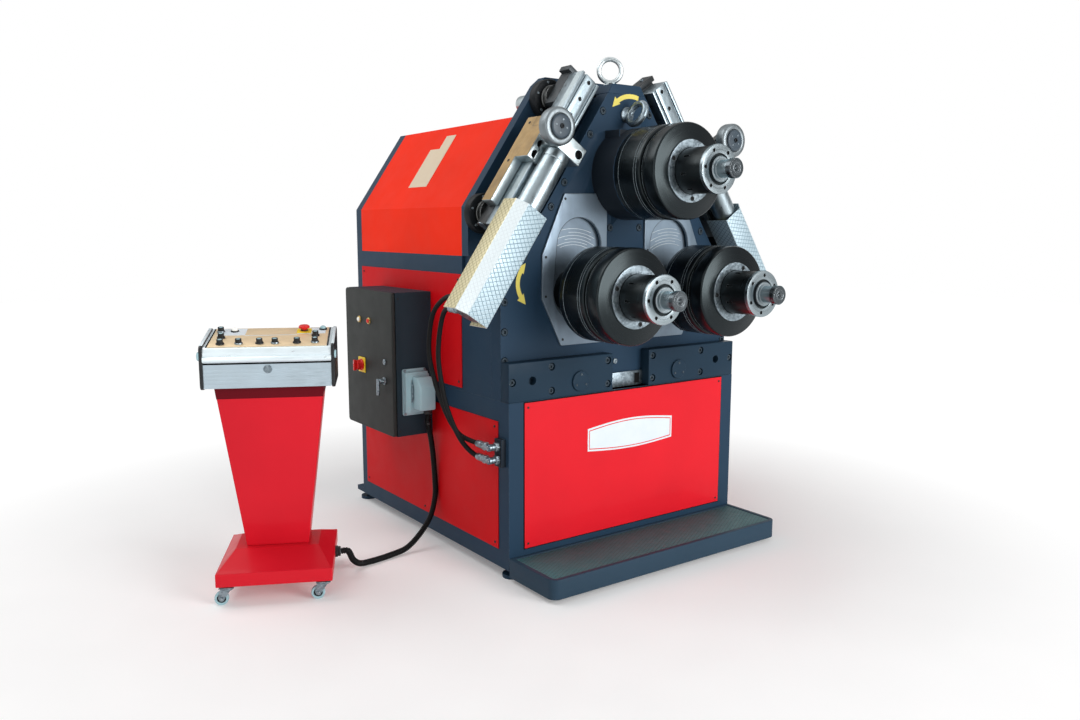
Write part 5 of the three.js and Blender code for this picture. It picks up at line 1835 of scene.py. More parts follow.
class Roll(Maker):
    """One bending roll with its clamp ring, sleeve, end ring and shaft."""

    def __init__(self, label: str, centre: Point, body: str, phase: float) -> None:
        """Takes what tells the three rolls apart.

        Args:
            label: The name that the pieces and the CAD nodes start with.
            centre: The axis in X and Z.
            body: The body that turns.
            phase: The turn of the ring's screws, in degrees.
        """
        self.label = label
        self.centre = centre
        self.body = body
        self.phase = math.radians(phase)
        self.sizes = RollSizes()

    def round_axis(self, radius: float, angle: float) -> Point:
        """Gives a point on a circle about the roll's axis.

        Args:
            radius: The circle's radius.
            angle: The place on the circle.

        Returns:
            The point across and up.
        """
        x, z = self.centre
        return (x + radius * math.cos(angle), z + radius * math.sin(angle))

    def drum(self) -> None:
        """Makes the roll with its grooves, rounded rims and fine lines."""
        s = self.sizes
        r = s.radius
        profile = [(s.bore, s.front), (r - 26.0, s.front), (r - 24.0, s.front + 1.2)]
        profile += [
            (r - s.edge + s.edge * math.sin(a), s.front + 1.2 + s.edge - s.edge * math.cos(a))
            for a in (0.3, 0.65, 1.0, 1.3, math.pi / 2)
        ]
        profile += [
            (r, -252.0), (r - 0.6, -249.6), (r - 2.2, -247.6), (r - 5.0, -246.2), (r - 11.0, -244.8),
            (r - 12.0, -242.0), (r - 12.0, -229.0), (r - 11.0, -226.2), (r - 5.0, -224.8),
            (r - 2.2, -223.4), (r - 0.6, -221.4), (r, -219.0),
        ]
        for y, depth, wide in ((-205.0, 0.9, 2.0), (-193.0, 1.2, 2.4), (-109.0, 0.9, 2.0)):
            profile += [(r, y), (r - depth, y + 0.6), (r - depth, y + wide - 0.6), (r, y + wide)]
        profile += [(r, s.back - 7.0), (r - 2.0, s.back - 2.0), (r - 7.0, s.back), (s.bore, s.back)]
        drum = bench.turned(profile, centre=self.centre, steps=128)
        self.add(drum, "roll_drum", "*_roll_black", "roll_steel", stands_for=(self.label + "_roll",))

    def clamp_ring(self) -> None:
        """Makes the zinc ring against the roll with its three screws."""
        s = self.sizes
        front = s.front - s.ring_thick
        span = (front, s.front - 0.05)
        ring = bench.ring(s.ring_radius, s.sleeve + 0.8, span, centre=self.centre, edge=1.4)
        spots = [self.round_axis(100.0, self.phase + i * 2 * math.pi / 3) for i in range(3)]
        bores = [
            bench.bar(9.5, (front - 2.0, s.front - 2.0), edge=0.4, steps=24, centre=spot) for spot in spots
        ]
        self.add(bench.cut(ring, bench.join(*bores)), "clamp_ring", "zinc_plating", "bright_steel")
        heads = bench.screws([fastener(x, s.front - 3.4, z, 7.6) for x, z in spots], 0.8)
        self.add(heads, "clamp_screws", "black_plastic_grain", "roll_steel")

    def sleeve(self) -> None:
        """Makes the black locking sleeve with its spanner slots."""
        s = self.sizes
        back = s.sleeve_back
        front = back - s.sleeve_length
        r = s.sleeve
        profile = [
            (s.shaft + 0.2, front), (r - 2.0, front), (r, front + 2.0), (r, back - 1.0), (r - 1.0, back),
            (s.shaft + 0.2, back),
        ]
        sleeve = bench.turned(profile, centre=self.centre, steps=96)
        slots = []
        for i in range(8):
            angle = self.phase + i * math.pi / 4
            slot = bench.block((-4.5, 4.5), (back - 54.0, back - 28.0), (r - 7.0, r + 4.0))
            slot.data.transform(
                Matrix.Translation((self.centre[0], 0.0, self.centre[1])) @ Matrix.Rotation(angle, 4, "Y")
            )
            slots.append(slot)
        self.add(bench.cut(sleeve, bench.join(*slots)), "sleeve", "*_sleeve_black", "roll_steel")

    def end_ring(self) -> None:
        """Makes the bright end ring with its six holes, black discs that paint the shade inside them, and
        dark inner ring.
        """
        s = self.sizes
        back = s.end_back
        front = back - s.end_thick
        ring = bench.ring(s.end_ring, s.recess, (front, back), centre=self.centre, edge=2.0, steps=96)
        spots = [self.round_axis(71.0, self.phase + 0.35 + i * math.pi / 3) for i in range(6)]
        holes = [
            bench.bar(7.0, (front - 2.0, front + 9.0), edge=0.4, steps=20, centre=spot) for spot in spots
        ]
        self.add(bench.cut(ring, bench.join(*holes)), "end_ring", "*_shaft_bright", "bright_steel")
        # Black discs sunk in the holes paint the shade inside them.
        hole_shade_plugs = bench.join(*[
            bench.bar(6.9, (front + 3.5, front + 9.2), edge=0.3, steps=16, centre=spot) for spot in spots
        ])
        self.add(hole_shade_plugs, "end_ring_hole_shade", "recess_black", "roll_steel")
        span = (front + 5.0, back - 0.5)
        inner = bench.ring(s.recess - 0.4, s.nose + 0.4, span, centre=self.centre, edge=1.2)
        self.add(inner, "inner_ring", "*_sleeve_black", "roll_steel")

    def shaft(self) -> None:
        """Makes the shaft with its stepped nose, stub and centre hole."""
        s = self.sizes
        ring_front = s.end_back - s.end_thick
        end_back = s.tip + s.end_length
        nose_front = ring_front - s.nose_proud
        profile = [
            (0.0, end_back - 1.0), (s.stub, end_back - 1.0), (s.stub, nose_front - 1.5),
            (s.stub + 1.5, nose_front), (s.nose - 3.0, nose_front), (s.nose, nose_front + 3.0),
            (s.nose, ring_front + 7.0), (s.shaft - 4.0, ring_front + 9.0), (s.shaft, ring_front + 24.0),
            (s.shaft, s.shaft_back), (0.0, s.shaft_back),
        ]
        end = bench.turned(
            [(0.0, s.tip + 12.0), (5.0, s.tip + 7.0), (9.5, s.tip + 1.0), (11.0, s.tip), (17.0, s.tip),
             (17.6, s.tip + 0.7), (19.0, s.tip + 0.7), (19.6, s.tip), (s.end - 3.4, s.tip),
             (s.end, s.tip + 3.4), (s.end, end_back - 1.5), (s.end - 1.5, end_back), (0.0, end_back)],
            centre=self.centre, steps=72,
        )
        self.add(end, "shaft_end", "*_shaft_dark", "bright_steel")
        core = bench.turned(profile, centre=self.centre, steps=72)
        self.add(core, "shaft_core", "*_shaft_bright", "bright_steel", stands_for=(self.label + "_shaft",))

    def build(self) -> None:
        """Makes the whole roll."""
        self.drum()
        self.clamp_ring()
        self.sleeve()
        self.end_ring()
        self.shaft()


class Rolls:
    """The three rolls and what shows of their seats."""

    def build(self) -> None:
        """Makes the rolls and the smooth necks behind them."""
        Roll("upper", UPPER_AXIS, "upper_spindle", 35.0).build()
        for (side, label), phase in zip(SIDES, (40.0, 65.0)):
            centre = (side * LOWER_AXIS[0], LOWER_AXIS[1])
            Roll(label + "_lower", centre, label + "_spindle", phase).build()
            neck = bench.turned(
                rounded([(56.0, -79.4), (92.3, -79.4), (92.3, 64.0), (56.0, 64.0)], 2.0, 3), centre=centre
            )
            shop.piece(
                neck, label + "_carriage_neck", label + "_lower_sleeve_black", label + "_lift"
            )
            shop.dress(label + "_carriage", "cover_plate_steel")
        housing = bench.turned(
            rounded([(56.0, -79.5), (176.4, -79.5), (176.4, 54.0), (56.0, 54.0)], 6.0, 5), centre=UPPER_AXIS
        )
        shop.piece(housing, "upper_housing", "slate_shadow_paint")


class Guide(Maker):
    """One slanted side guide, drawn with x out from the shoulder and z up along it."""

    barrel_axis = 94.0
    roller_axis = (199.0, 564.0)
    rail_screws = (866.0, 790.0, 714.0, 640.0, 330.0)
    hole_heights = (487.5, 533.5)

    def __init__(self, side: int, label: str) -> None:
        """Takes the guide's side.

        Args:
            side: -1 for the left guide and 1 for the right one.
            label: The start of the pieces' names.
        """
        self.side = side
        self.label = label
        self.place = guide_frame(side)
        self.slide_body = label + "_guide"
        self.wheel_body = label + "_guide_wheel"

    def across(self, low: float, high: float) -> Span:
        """Gives a span out from the shoulder.

        Args:
            low: The nearer end.
            high: The farther end.

        Returns:
            The span along X.
        """
        return (self.side * low, self.side * high)

    def rail(self) -> None:
        """Makes the grooved rail, its ground outer strip, its screws and the tail behind the cover."""
        section = [
            (47, 55), (59, 55), (59, 64), (68, 64), (68, 55), (120, 55), (120, 64), (129, 64), (129, 55),
            (141, 55), (141, 137), (47, 137),
        ]
        rail = bench.prism([(self.side * h, y) for h, y in section], (190.0, 888.0), Axis.Z)
        bench.soften(rail, 1.4, 2)
        bores = [
            bench.bar(8.5, (50.0, 66.0), centre=(self.side * self.barrel_axis, s), edge=0.4, steps=20)
            for s in self.rail_screws
        ]
        rail = bench.cut(rail, bench.join(*bores))
        self.add(rail, "rail_bar", "*_rail_steel", "bright_steel", stands_for=(self.label + "_guide_rail",))
        heads = [fastener(self.side * self.barrel_axis, 64.5, s, 7.0) for s in self.rail_screws]
        self.add(bench.screws(heads, 0.8, 16), "rail_screws", "black_plastic_grain", "roll_steel")
        strip = bench.slab(self.across(141.0, 141.9), (58.0, 92.0), (192.0, 886.0), 0.4, 1)
        self.add(strip, "rail_strip", "*_block_steel", "bright_steel")
        tail = bench.slab(self.across(47.0, 100.0), (55.0, 137.0), (-60.0, 190.0), 2.0)
        self.add(tail, "rail_tail", "*_dark_steel", "bright_steel")

    def beam(self) -> None:
        """Makes the two rough seats behind the rail, the key below and the cap on top."""
        for name, span in (("lower_seat", (190.0, 340.0)), ("upper_seat", (752.0, 894.8))):
            seat = bench.slab(self.across(30.0, 141.0), (137.2, 200.0), span, 2.4, 3)
            self.add(seat, "rail_" + name, "*_rough_steel", "bright_steel")
        key = bench.prism(stadium(13.0, -16.0, 16.0, 8), (0.0, 3.0), Axis.Y)
        key.data.transform(
            Matrix.Translation((self.side * 122.0, 168.0, 187.0)) @ Matrix.Rotation(QUARTER, 4, "X")
            @ Matrix.Rotation(QUARTER, 4, "Y")
        )
        self.add(key, "rail_key", "zinc_plating", "bright_steel")
        cap = bench.slab(self.across(30.0, 156.0), (137.2, 200.0), (895.0, 917.0), 2.0, 3)
        self.add(cap, "guide_beam_cap", "*_rough_steel", "bright_steel")
        screws = [fastener(self.side * h, 168.0, 917.0, 8.0, UPWARD) for h in (58.0, 118.0)]
        self.add(bench.screws(screws, 0.8, 16), "guide_beam_cap_screws", "zinc_plating", "bright_steel")

    def posts(self) -> None:
        """Makes the two posts that carry the beam, with stepped collars and flanges."""
        for s, name in ((262.0, "lower_post"), (806.0, "upper_post")):
            centre = (self.side * 105.0, s)
            post = bench.turned(
                [(0.0, 199.4), (53.0, 199.4), (53.0, 204.0), (51.0, 207.0), (51.0, 226.0), (53.0, 229.0),
                 (53.0, 296.0), (0.0, 296.0)],
                centre=centre, steps=56,
            )
            self.add(post, name, "*_dark_steel", "bright_steel")
            end = bench.bar(34.0, (295.0, 440.0), centre=centre, edge=3.0, steps=48)
            self.add(end, name + "_end", "*_block_steel", "bright_steel")
            flange = bench.turned(
                [(52.9, 240.0), (70.0, 240.0), (76.0, 242.0), (78.0, 246.0), (78.0, 277.5), (52.9, 277.5)],
                centre=centre, steps=56,
            )
            self.add(flange, name + "_flange", "post_paint", "bright_steel")
            bolts = [
                fastener(centre[0] + 65 * math.cos(a), 240.6, s + 65 * math.sin(a), 5.0)
                for a in (k * math.pi / 3 + 0.3 for k in range(6))
            ]
            self.add(bench.screws(bolts, 0.7, 16), name + "_bolts", "zinc_plating", "bright_steel")

    def cylinder(self) -> None:
        """Makes the hydraulic barrel, its end collars, saddles and hose ports."""
        centre = (self.side * self.barrel_axis, 0.0)
        barrel = bench.turned(
            [(22.4, -150.0), (22.4, 530.0), (44.0, 530.0), (46.0, 528.6), (48.0, 525.0), (48.0, 497.0),
             (46.2, 495.0), (46.2, 491.0), (48.0, 489.0), (48.0, -130.0), (46.2, -132.0), (46.2, -136.0),
             (48.0, -138.0), (48.0, -168.0), (44.0, -172.0), (0.0, -172.0), (0.0, -150.0)],
            Axis.Z, centre, 64,
        )
        self.add(barrel, "barrel", "*_barrel_steel", "bright_steel")
        saddle = bench.slab(self.across(64.0, 124.0), (20.0, 67.0), (380.0, 420.0), 2.0)
        self.add(saddle, "barrel_saddle", "*_block_steel", "bright_steel")
        hanger = bench.slab(self.across(38.3, 163.7), (20.0, 55.0), (50.0, 80.0), 1.5)
        self.add(hanger, "barrel_hanger", "*_block_steel", "bright_steel")
        foot = bench.block(self.across(47.0, 141.0), (55.0, 67.0), (50.0, 80.0))
        self.add(foot, "barrel_hanger_foot", "*_block_steel", "bright_steel")
        for s, name in ((-105.0, "upper_port"), (-150.0, "lower_port")):
            port = bench.turned(
                [(0.0, 24.0), (13.0, 24.0), (13.0, 62.0), (16.0, 63.0), (16.0, 72.0), (13.0, 73.0),
                 (13.0, 93.0), (11.0, 95.0), (0.0, 95.0)],
                centre=(self.side * self.barrel_axis, s), steps=28,
            )
            self.add(port, name, "zinc_plating", "bright_steel")

    def rod(self) -> None:
        """Makes the bright rod that drives the slide."""
        rod = bench.bar(22.0, (300.0, 532.4), Axis.Z, (self.side * self.barrel_axis, 0.0), 1.2, 48)
        self.add(rod, "slide_rod", "*_barrel_steel", "bright_steel", self.slide_body)

    def slide(self) -> None:
        """Makes the slide: gib, lug, keeper, yoke and inner plate, with their holes; a thin face and cheek
        carry a painted gold reflection, and black discs paint the shade inside the holes.
        """
        body = self.slide_body
        gib = bench.slab(self.across(142.4, 180.0), (120.0, 181.0), (269.0, 650.0), 2.0, 3)
        stand = (self.label + "_guide_slide",)
        self.add(gib, "slide_gib", "*_block_steel", "bright_steel", body, stand)
        # A thin face and the cheek on the gib's outward side carry the painted gold reflection.
        face = bench.join(
            bench.block(self.across(180.0, 180.8), (121.0, 180.0), (270.0, 649.0)),
            bench.block(self.across(180.0, 180.8), (42.0, 121.0), (464.0, 603.0)),
        )
        self.add(face, "slide_gib_reflection_face", "*_brass_steel", "bright_steel", body)
        cheek = bench.slab(self.across(142.4, 180.8), (62.0, 120.6), (604.2, 649.0), 1.0)
        self.add(cheek, "slide_cheek", "*_brass_steel", "bright_steel", body)
        turn = Matrix.Rotation(self.side * QUARTER, 4, "Z")
        screws = [fastener(self.side * 180.6, 150.0, s, 6.0, turn) for s in (448.0, 622.0)]
        self.add(bench.screws(screws, 0.3, 18), "slide_gib_screws", "black_plastic_grain", "roll_steel", body)
        lug = bench.slab(self.across(142.0, 180.0), (41.0, 120.4), (463.0, 604.0), 3.0, 3)
        keeper = bench.slab(self.across(124.0, 150.0), (41.0, 54.3), (463.0, 604.0), 2.0)
        yoke = bench.slab(self.across(10.0, 152.0), (-36.0, 49.0), (532.0, 604.0), 4.0, 4)
        holes = bench.join(*[
            bench.bar(17.0, (36.0, 65.0), centre=(self.side * 152.0, s), edge=0.4, steps=32)
            for s in self.hole_heights
        ])
        lug = bench.cut(lug, holes)
        self.add(lug, "slide_lug", "*_block_steel", "bright_steel", body)
        self.add(keeper, "slide_keeper", "*_block_steel", "bright_steel", body)
        hole = bench.bar(17.0, (-40.0, -12.0), centre=(self.side * 34.0, 568.0), edge=0.4, steps=32)
        yoke = bench.cut(yoke, hole)
        self.add(yoke, "slide_yoke", "*_block_steel", "bright_steel", body)
        centre = (self.side * self.roller_axis[0], self.roller_axis[1])
        arm = bench.bar(38.0, (-62.0, -34.4), centre=centre, edge=2.0, steps=56)
        link = bench.slab(self.across(130.0, 199.0), (-61.8, -34.6), (532.0, 604.0), 2.0)
        self.add(bench.join(arm, link), "slide_arm", "*_dark_steel", "bright_steel", body)
        inner = bench.slab(self.across(10.0, 45.4), (48.4, 120.0), (532.0, 604.0), 2.0)
        self.add(inner, "slide_inner_plate", "*_block_steel", "bright_steel", body)
        # Black discs in the holes paint the shade inside them.
        hole_shade_cores = bench.join(
            *[
                bench.bar(16.8, (56.0, 65.5), centre=(self.side * 152.0, s), edge=0.4, steps=32)
                for s in self.hole_heights
            ],
            bench.bar(16.8, (-22.0, -11.5), centre=(self.side * 34.0, 568.0), edge=0.4, steps=32),
        )
        self.add(hole_shade_cores, "slide_hole_shade", "recess_black", "roll_steel", body)
        scale = bench.block(self.across(118.0, 123.4), (50.6, 54.8), (466.0, 601.0))
        self.add(scale, "slide_wiper", "black_rubber_matt", "black_rubber", body)

    def roller(self) -> None:
        """Makes the guide roller, its axle and cap."""
        centre = (self.side * self.roller_axis[0], self.roller_axis[1])
        wheel = bench.turned(
            [(20.5, -106.0), (44.0, -106.0), (45.5, -109.4), (48.0, -110.8), (52.0, -111.0), (59.0, -110.6),
             (64.4, -108.4), (67.4, -104.6), (68.4, -99.0), (68.4, -73.0), (67.0, -68.0), (63.0, -65.0),
             (20.5, -65.0)],
            centre=centre, steps=72,
        )
        stand = (self.label + "_guide_roller",)
        self.add(wheel, "roller_rim", "*_roller_steel", "bright_steel", self.wheel_body, stand)
        core = bench.turned(
            [(21.0, -108.6), (41.0, -108.6), (43.6, -107.4), (43.8, -105.8), (21.0, -105.8)],
            centre=centre, steps=56,
        )
        self.add(core, "roller_face", "disc_slate", "roll_steel", self.wheel_body)
        axle = bench.bar(20.0, (-111.3, -35.0), centre=centre, edge=1.0, steps=40)
        self.add(axle, "roller_axle", "*_barrel_steel", "bright_steel", self.slide_body)
        cap = bench.turned(
            [(0.0, -116.3), (34.0, -116.3), (39.0, -115.4), (42.0, -112.8), (42.0, -111.3), (0.0, -111.3)],
            centre=centre, steps=56,
        )
        self.add(cap, "roller_cap", "disc_slate", "roll_steel", self.slide_body)
        bolt = bench.screws([fastener(centre[0], -114.4, centre[1], 9.0)], 0.65, 20)
        self.add(bolt, "roller_bolt", "post_paint", "bright_steel", self.slide_body)
        dots = [fastener(centre[0] + 24.0 * math.cos(a), -115.6, centre[1] + 24.0 * math.sin(a), 3.4)
                for a in (0.35, 0.35 + math.pi, 1.9, 1.9 + math.pi)]
        self.add(bench.screws(dots, 0.4, 12), "roller_dots", "zinc_plating", "bright_steel",
                 self.slide_body)

    def cover(self) -> None:
        """Makes the bent cover in front of the barrel."""
        outer = shaped(
            [(34, 56, 0), (34, -60, 5), (131, -60, 7), (168, -23, 7), (168, 56, 0), (164, 56, 0),
             (164, -21.3, 4), (129.3, -56, 4), (38, -56, 2), (38, 56, 0)],
            4,
        )
        points = [(self.side * h, y) for h, y in outer]
        sheet = bench.soften(bench.prism(points, (-180.0, 282.0), Axis.Z), 0.6, 2, 60.0)
        self.add(
            sheet, "cover_sheet", "*_cover_tread", "tread_plate",
            stands_for=(self.label + "_guide_cover",), smooth=40.0,
        )

    def build(self) -> None:
        """Makes the whole guide."""
        self.rail()
        self.beam()
        self.posts()
        self.cylinder()
        self.rod()
        self.slide()
        self.roller()
        self.cover()


class Guides:
    """Both slanted guides."""

    def build(self) -> None:
        """Makes the guides."""
        for side, label in SIDES:
            Guide(side, label).build()


def taper(obj: bpy.types.Object, level: float, centre: Vector, scale: Triple) -> bpy.types.Object:
    """Narrows the upper end of a shape about a point.

    Args:
        obj: The shape.
        level: The height over which its points move.
        centre: The point that they draw in to.
        scale: The factors along each axis.

    Returns:
        The same shape.
    """
    bench.only(obj)
    bpy.ops.object.mode_set(mode="EDIT")
    bpy.ops.mesh.select_mode(type="VERT")
    bpy.ops.mesh.select_all(action="DESELECT")
    bpy.ops.object.mode_set(mode="OBJECT")
    for vertex in obj.data.vertices:
        vertex.select = vertex.co.z > level
    bpy.ops.object.mode_set(mode="EDIT")
    bpy.ops.transform.resize(value=scale, center_override=centre)
    bpy.ops.object.mode_set(mode="OBJECT")
    return obj


def frustum(foot: tuple[float, ...], top: tuple[float, ...], z: Span) -> bpy.types.Object:
    """Makes a closed body between two level rectangles.

    Args:
        foot: The lower rectangle: low and high X, low and high Y.
        top: The upper rectangle, in the same order.
        z: The two heights.

    Returns:
        The body.
    """
    body = bench.block(foot[:2], foot[2:], z)
    middle = Vector(((foot[0] + foot[1]) / 2, (foot[2] + foot[3]) / 2, z[1]))
    scale = ((top[1] - top[0]) / (foot[1] - foot[0]), (top[3] - top[2]) / (foot[3] - foot[2]), 1.0)
    taper(body, (z[0] + z[1]) / 2, middle, scale)
    shift = Vector(((top[0] + top[1]) / 2, (top[2] + top[3]) / 2, z[1])) - middle
    bench.only(body)
    bpy.ops.object.mode_set(mode="EDIT")
    bpy.ops.transform.translate(value=shift)
    bpy.ops.object.mode_set(mode="OBJECT")
    return body


class Cabinet(Maker):
    """The electrical cabinet with its door, switch, lamps, lock, handle and plug."""

    body = "door"
    face = -784.2
    lamp_level = 945.0
    gland_axis = (-660.0, 509.0)
    hose_line = -654.0
    port_depth = 44.0

    def door(self) -> None:
        """Makes the door leaf with rounded corners and its dark seal."""
        outline = oblong((574, 1020), (478, 1075), 16, 6)
        leaf = bench.soften(bench.prism(outline, (self.face, -768.6), Axis.X), 4.0, 4, 60.0)
        self.add(leaf, "door_leaf", "cabinet_paint", "frame_paint", stands_for=("cabinet_door",))
        seal = bench.prism(oblong((580, 1014), (484, 1069), 12, 5), (-768.7, -767.0), Axis.X)
        self.add(seal, "door_seal", "black_rubber_matt", "black_rubber")

    def proud(self, profile: list[Point]) -> list[Point]:
        """Puts a profile of radius and height on the door's face.

        Args:
            profile: The profile.

        Returns:
            The profile along X.
        """
        return [(radius, self.face - height) for radius, height in profile]

    def lamps(self) -> None:
        """Makes the white and red lamps with their gold bezels."""
        for name, y, lens in (("white_lamp", 878.0, "lamp_white"), ("red_lamp", 785.0, "lamp_red")):
            bezel = bench.turned(
                self.proud([(9.4, -0.5), (14.5, -0.5), (14.5, 3.5), (13.0, 6.0), (9.4, 6.0)]),
                Axis.X, (y, self.lamp_level), 40,
            )
            self.add(bezel, name + "_bezel", "gold_zinc", "bright_steel")
            dome = bench.turned(
                self.proud([(0.0, 12.0), (4.5, 11.4), (7.6, 9.6), (9.2, 6.8), (9.3, -0.2), (0.0, -0.2)]),
                Axis.X, (y, self.lamp_level), 40,
            )
            self.add(dome, name + "_lens", lens, "red_plastic" if "red" in name else "grey_plastic")

    def switch(self) -> None:
        """Makes the main switch on its square plate."""
        y, z = 862.0, 749.0
        plate = bench.prism(
            oblong((y - 33, y + 33), (z - 33, z + 33), 5),
            (self.face - 4.0, self.face + 0.2), Axis.X,
        )
        bench.soften(plate, 1.0, 2, 50.0)
        self.add(plate, "switch_plate", "yellow_plastic", "red_plastic")
        face = self.face - 4.3
        knob = bench.turned(
            [(0.0, face), (25.0, face), (25.0, face - 5.0), (23.6, face - 7.0), (22.0, face - 8.0),
             (20.4, face - 24.0), (18.0, face - 26.0), (0.0, face - 26.0)],
            Axis.X, (y, z), 48,
        )
        flutes = []
        for k in range(8):
            angle = k * math.pi / 4 + math.pi / 8
            flutes.append(
                bench.bar(4.2, (face - 40.0, face - 8.2), Axis.X,
                          (y + 24.5 * math.cos(angle), z + 24.5 * math.sin(angle)), 0.4, 16)
            )
        knob = bench.cut(knob, bench.join(*flutes))
        self.add(knob, "switch_knob", "red_plastic_gloss", "red_plastic", "switch", ("main_switch",))
        grip = bench.slab((face - 38.0, face - 25.5), (y - 6.0, y + 6.0), (z - 23.0, z + 23.0), 2.5, 3)
        self.add(grip, "switch_grip", "red_plastic_gloss", "red_plastic", "switch")
        mark = bench.block((face - 38.3, face - 37.8), (y - 1.4, y + 1.4), (z + 6.0, z + 20.0))
        self.add(mark, "switch_mark", "white_label", "grey_plastic", "switch")

    def lock_and_handle(self) -> None:
        """Makes the lock and the hinged T handle."""
        lock = bench.turned(
            self.proud([(0.0, 6.0), (9.0, 6.0), (12.0, 4.4), (12.0, -0.2), (0.0, -0.2)]),
            Axis.X, (643.0, 786.0), 40,
        )
        slot = bench.block((self.face - 9.0, self.face - 3.0), (641.6, 644.4), (781.0, 791.0))
        self.add(bench.cut(lock, slot), "door_lock", "zinc_plating", "bright_steel")
        hub = bench.turned(
            self.proud(
                [(0.0, 26.3), (8.0, 26.3), (10.0, 24.0), (11.0, 8.0), (16.0, 5.0), (16.0, 0.3), (0.0, 0.3)]
            ),
            Axis.X, (647.0, 706.0), 36,
        )
        self.add(hub, "handle_hub", "zinc_plating", "bright_steel", "handle", ("door_handle",))
        bar = bench.slab((self.face - 38.3, self.face - 25.5), (641.0, 653.0), (648.0, 718.0), 4.0, 4)
        self.add(bar, "handle_bar", "zinc_plating", "bright_steel", "handle")

    def plug(self) -> None:
        """Makes the socket's flange, the plug hood with its clamps, and the gland."""
        flange = bench.prism(oblong((-744, -636), (566, 760), 8), (565.5, 573.9))
        bench.soften(flange, 0.8, 2, 60.0)
        self.add(flange, "socket_flange", "grey_plastic_grain", "grey_plastic", "machine")
        spots = [(-735, 573), (-644, 573), (-735, 753), (-644, 753)]
        self.add(
            bench.copies(bench.screw(0.6, 18), [fastener(x, 565.5, z, 6.0) for x, z in spots]),
            "socket_flange_screws", "zinc_plating", "bright_steel", "machine",
        )
        rims = [
            bench.prism(oblong((-740.8, -639), (580.5, 747.5), 3), (543.2, 566.0)),
            bench.prism(oblong((-722, -634), (588, 740), 7), (541.8, 556.0)),
        ]
        for rim in rims:
            bench.soften(rim, 1.6, 3, 60.0)
        self.add(bench.join(*rims), "socket_body", "grey_plastic_grain", "grey_plastic", "machine")
        hood = bench.prism(
            [(544.0, 596.3), (473.7, 596.3), (473.7, 696.0), (507.0, 730.3), (544.0, 730.3)],
            (-711.3, -641.0), Axis.X,
        )
        bench.soften(hood, 6.0, 5)
        self.add(hood, "plug_hood", "grey_plastic_grain", "grey_plastic", "machine", ("control_plug",))
        for x, name in ((-716.0, "left"), (-636.5, "right")):
            clamp = bench.prism(
                shaped([(566, 604, 5), (556, 604, 5), (530, 640, 10), (530, 690, 10), (556, 748, 8),
                        (566, 752, 6)]),
                (x - 2.2, x + 2.2), Axis.X,
            )
            bench.soften(clamp, 0.8, 2, 60.0)
            hole = bench.bar(7.0, (x - 6.0, x + 6.0), Axis.X, (547.0, 664.0), 0.4, 24)
            self.add(bench.cut(clamp, hole), "plug_clamp_" + name, "zinc_plating", "bright_steel", "machine")
            peg = bench.bar(5.0, (min(x, -667.0), max(x, -667.0)), Axis.X, (549.0, 664.0), 1.0, 24)
            self.add(peg, "plug_clamp_peg_" + name, "zinc_plating", "bright_steel", "machine")
        gland = bench.join(
            bench.turned([(12.8, 596.4), (22.0, 596.4), (22.0, 588.0), (19.4, 586.4), (12.8, 586.4)], Axis.Z,
                         self.gland_axis, 6),
            bench.turned([(12.9, 586.5), (19.0, 586.5), (19.0, 579.0), (16.0, 575.7), (12.9, 575.7)], Axis.Z,
                         self.gland_axis, 40),
        )
        self.add(gland, "plug_gland", "black_plastic_grain", "black_plastic", "machine")

    def side_screws(self) -> None:
        """Makes the small screws near the corners of the cabinet's front side."""
        places = [fastener(x, 574.0, z, 4.0) for x in (-755.0, -615.0) for z in (1050.0, 500.0)]
        heads = bench.screws(places, 0.35, 16)
        self.add(heads, "cabinet_side_screws", "black_plastic_grain", "roll_steel", "machine")

    def ports(self) -> None:
        """Makes the smooth elbows of the two hose ports on the machine's side."""
        block = bench.slab((-620.4, -599.8), (19.6, 68.4), (445.6, 552.4), 2.0, 3)
        self.add(block, "port_block", "slate_shadow_paint", "frame_paint", "machine")
        for name, end, z in (("upper", 120.0, 524.0), ("lower", 118.0, 474.0)):
            parts = [
                bench.turned([(0.0, -620.0), (18.0, -620.0), (18.0, -632.0), (16.0, -634.0), (0.0, -634.0)],
                             Axis.X, (self.port_depth, z), 6),
                bench.bar(13.4, (-656.0, -633.0), Axis.X, (self.port_depth, z), 1.0, 36),
                bench.turned(
                    [(0.0, 44.0), (13.4, 44.0), (13.4, 70.0), (0.0, 70.0)], Axis.Y, (self.hose_line, z), 36
                ),
                bench.turned(
                    [(0.0, 69.0), (16.0, 69.0), (17.0, 71.0), (17.0, 86.0), (16.0, 88.0), (0.0, 88.0)],
                    Axis.Y, (self.hose_line, z), 6,
                ),
                bench.turned(
                    [(0.0, 87.0), (13.4, 87.0), (14.2, 89.0), (14.2, 95.0), (13.4, 97.0), (13.4, 101.0),
                     (14.2, 103.0), (14.2, end + 10.0), (13.0, end + 13.0), (10.4, end + 14.0),
                     (0.0, end + 14.0)],
                    Axis.Y, (self.hose_line, z), 36,
                ),
            ]
            bend = bench.turned(
                [(0.0, -670.0), (9.0, -668.5), (13.4, -662.0), (13.4, -650.0), (0.0, -650.0)],
                Axis.X, (self.port_depth, z), 36,
            )
            elbow = bench.join(*parts, bend)
            self.add(elbow, name + "_hose_elbow", "zinc_plating", "bright_steel", "machine")
        for name, x, z in (("upper", -736.8, 1081.3), ("lower", -762.1, 1044.1)):
            ferrule = bench.turned(
                [(0.0, 95.2), (14.0, 95.2), (16.0, 97.0), (16.0, 106.0), (13.6, 108.0), (13.6, 112.0),
                 (15.0, 114.0), (15.0, 138.0), (13.4, 141.0), (10.2, 142.0), (0.0, 142.0)],
                Axis.Y, (x, z), 32,
            )
            self.add(ferrule, name + "_hose_ferrule", "zinc_plating", "bright_steel", "machine")

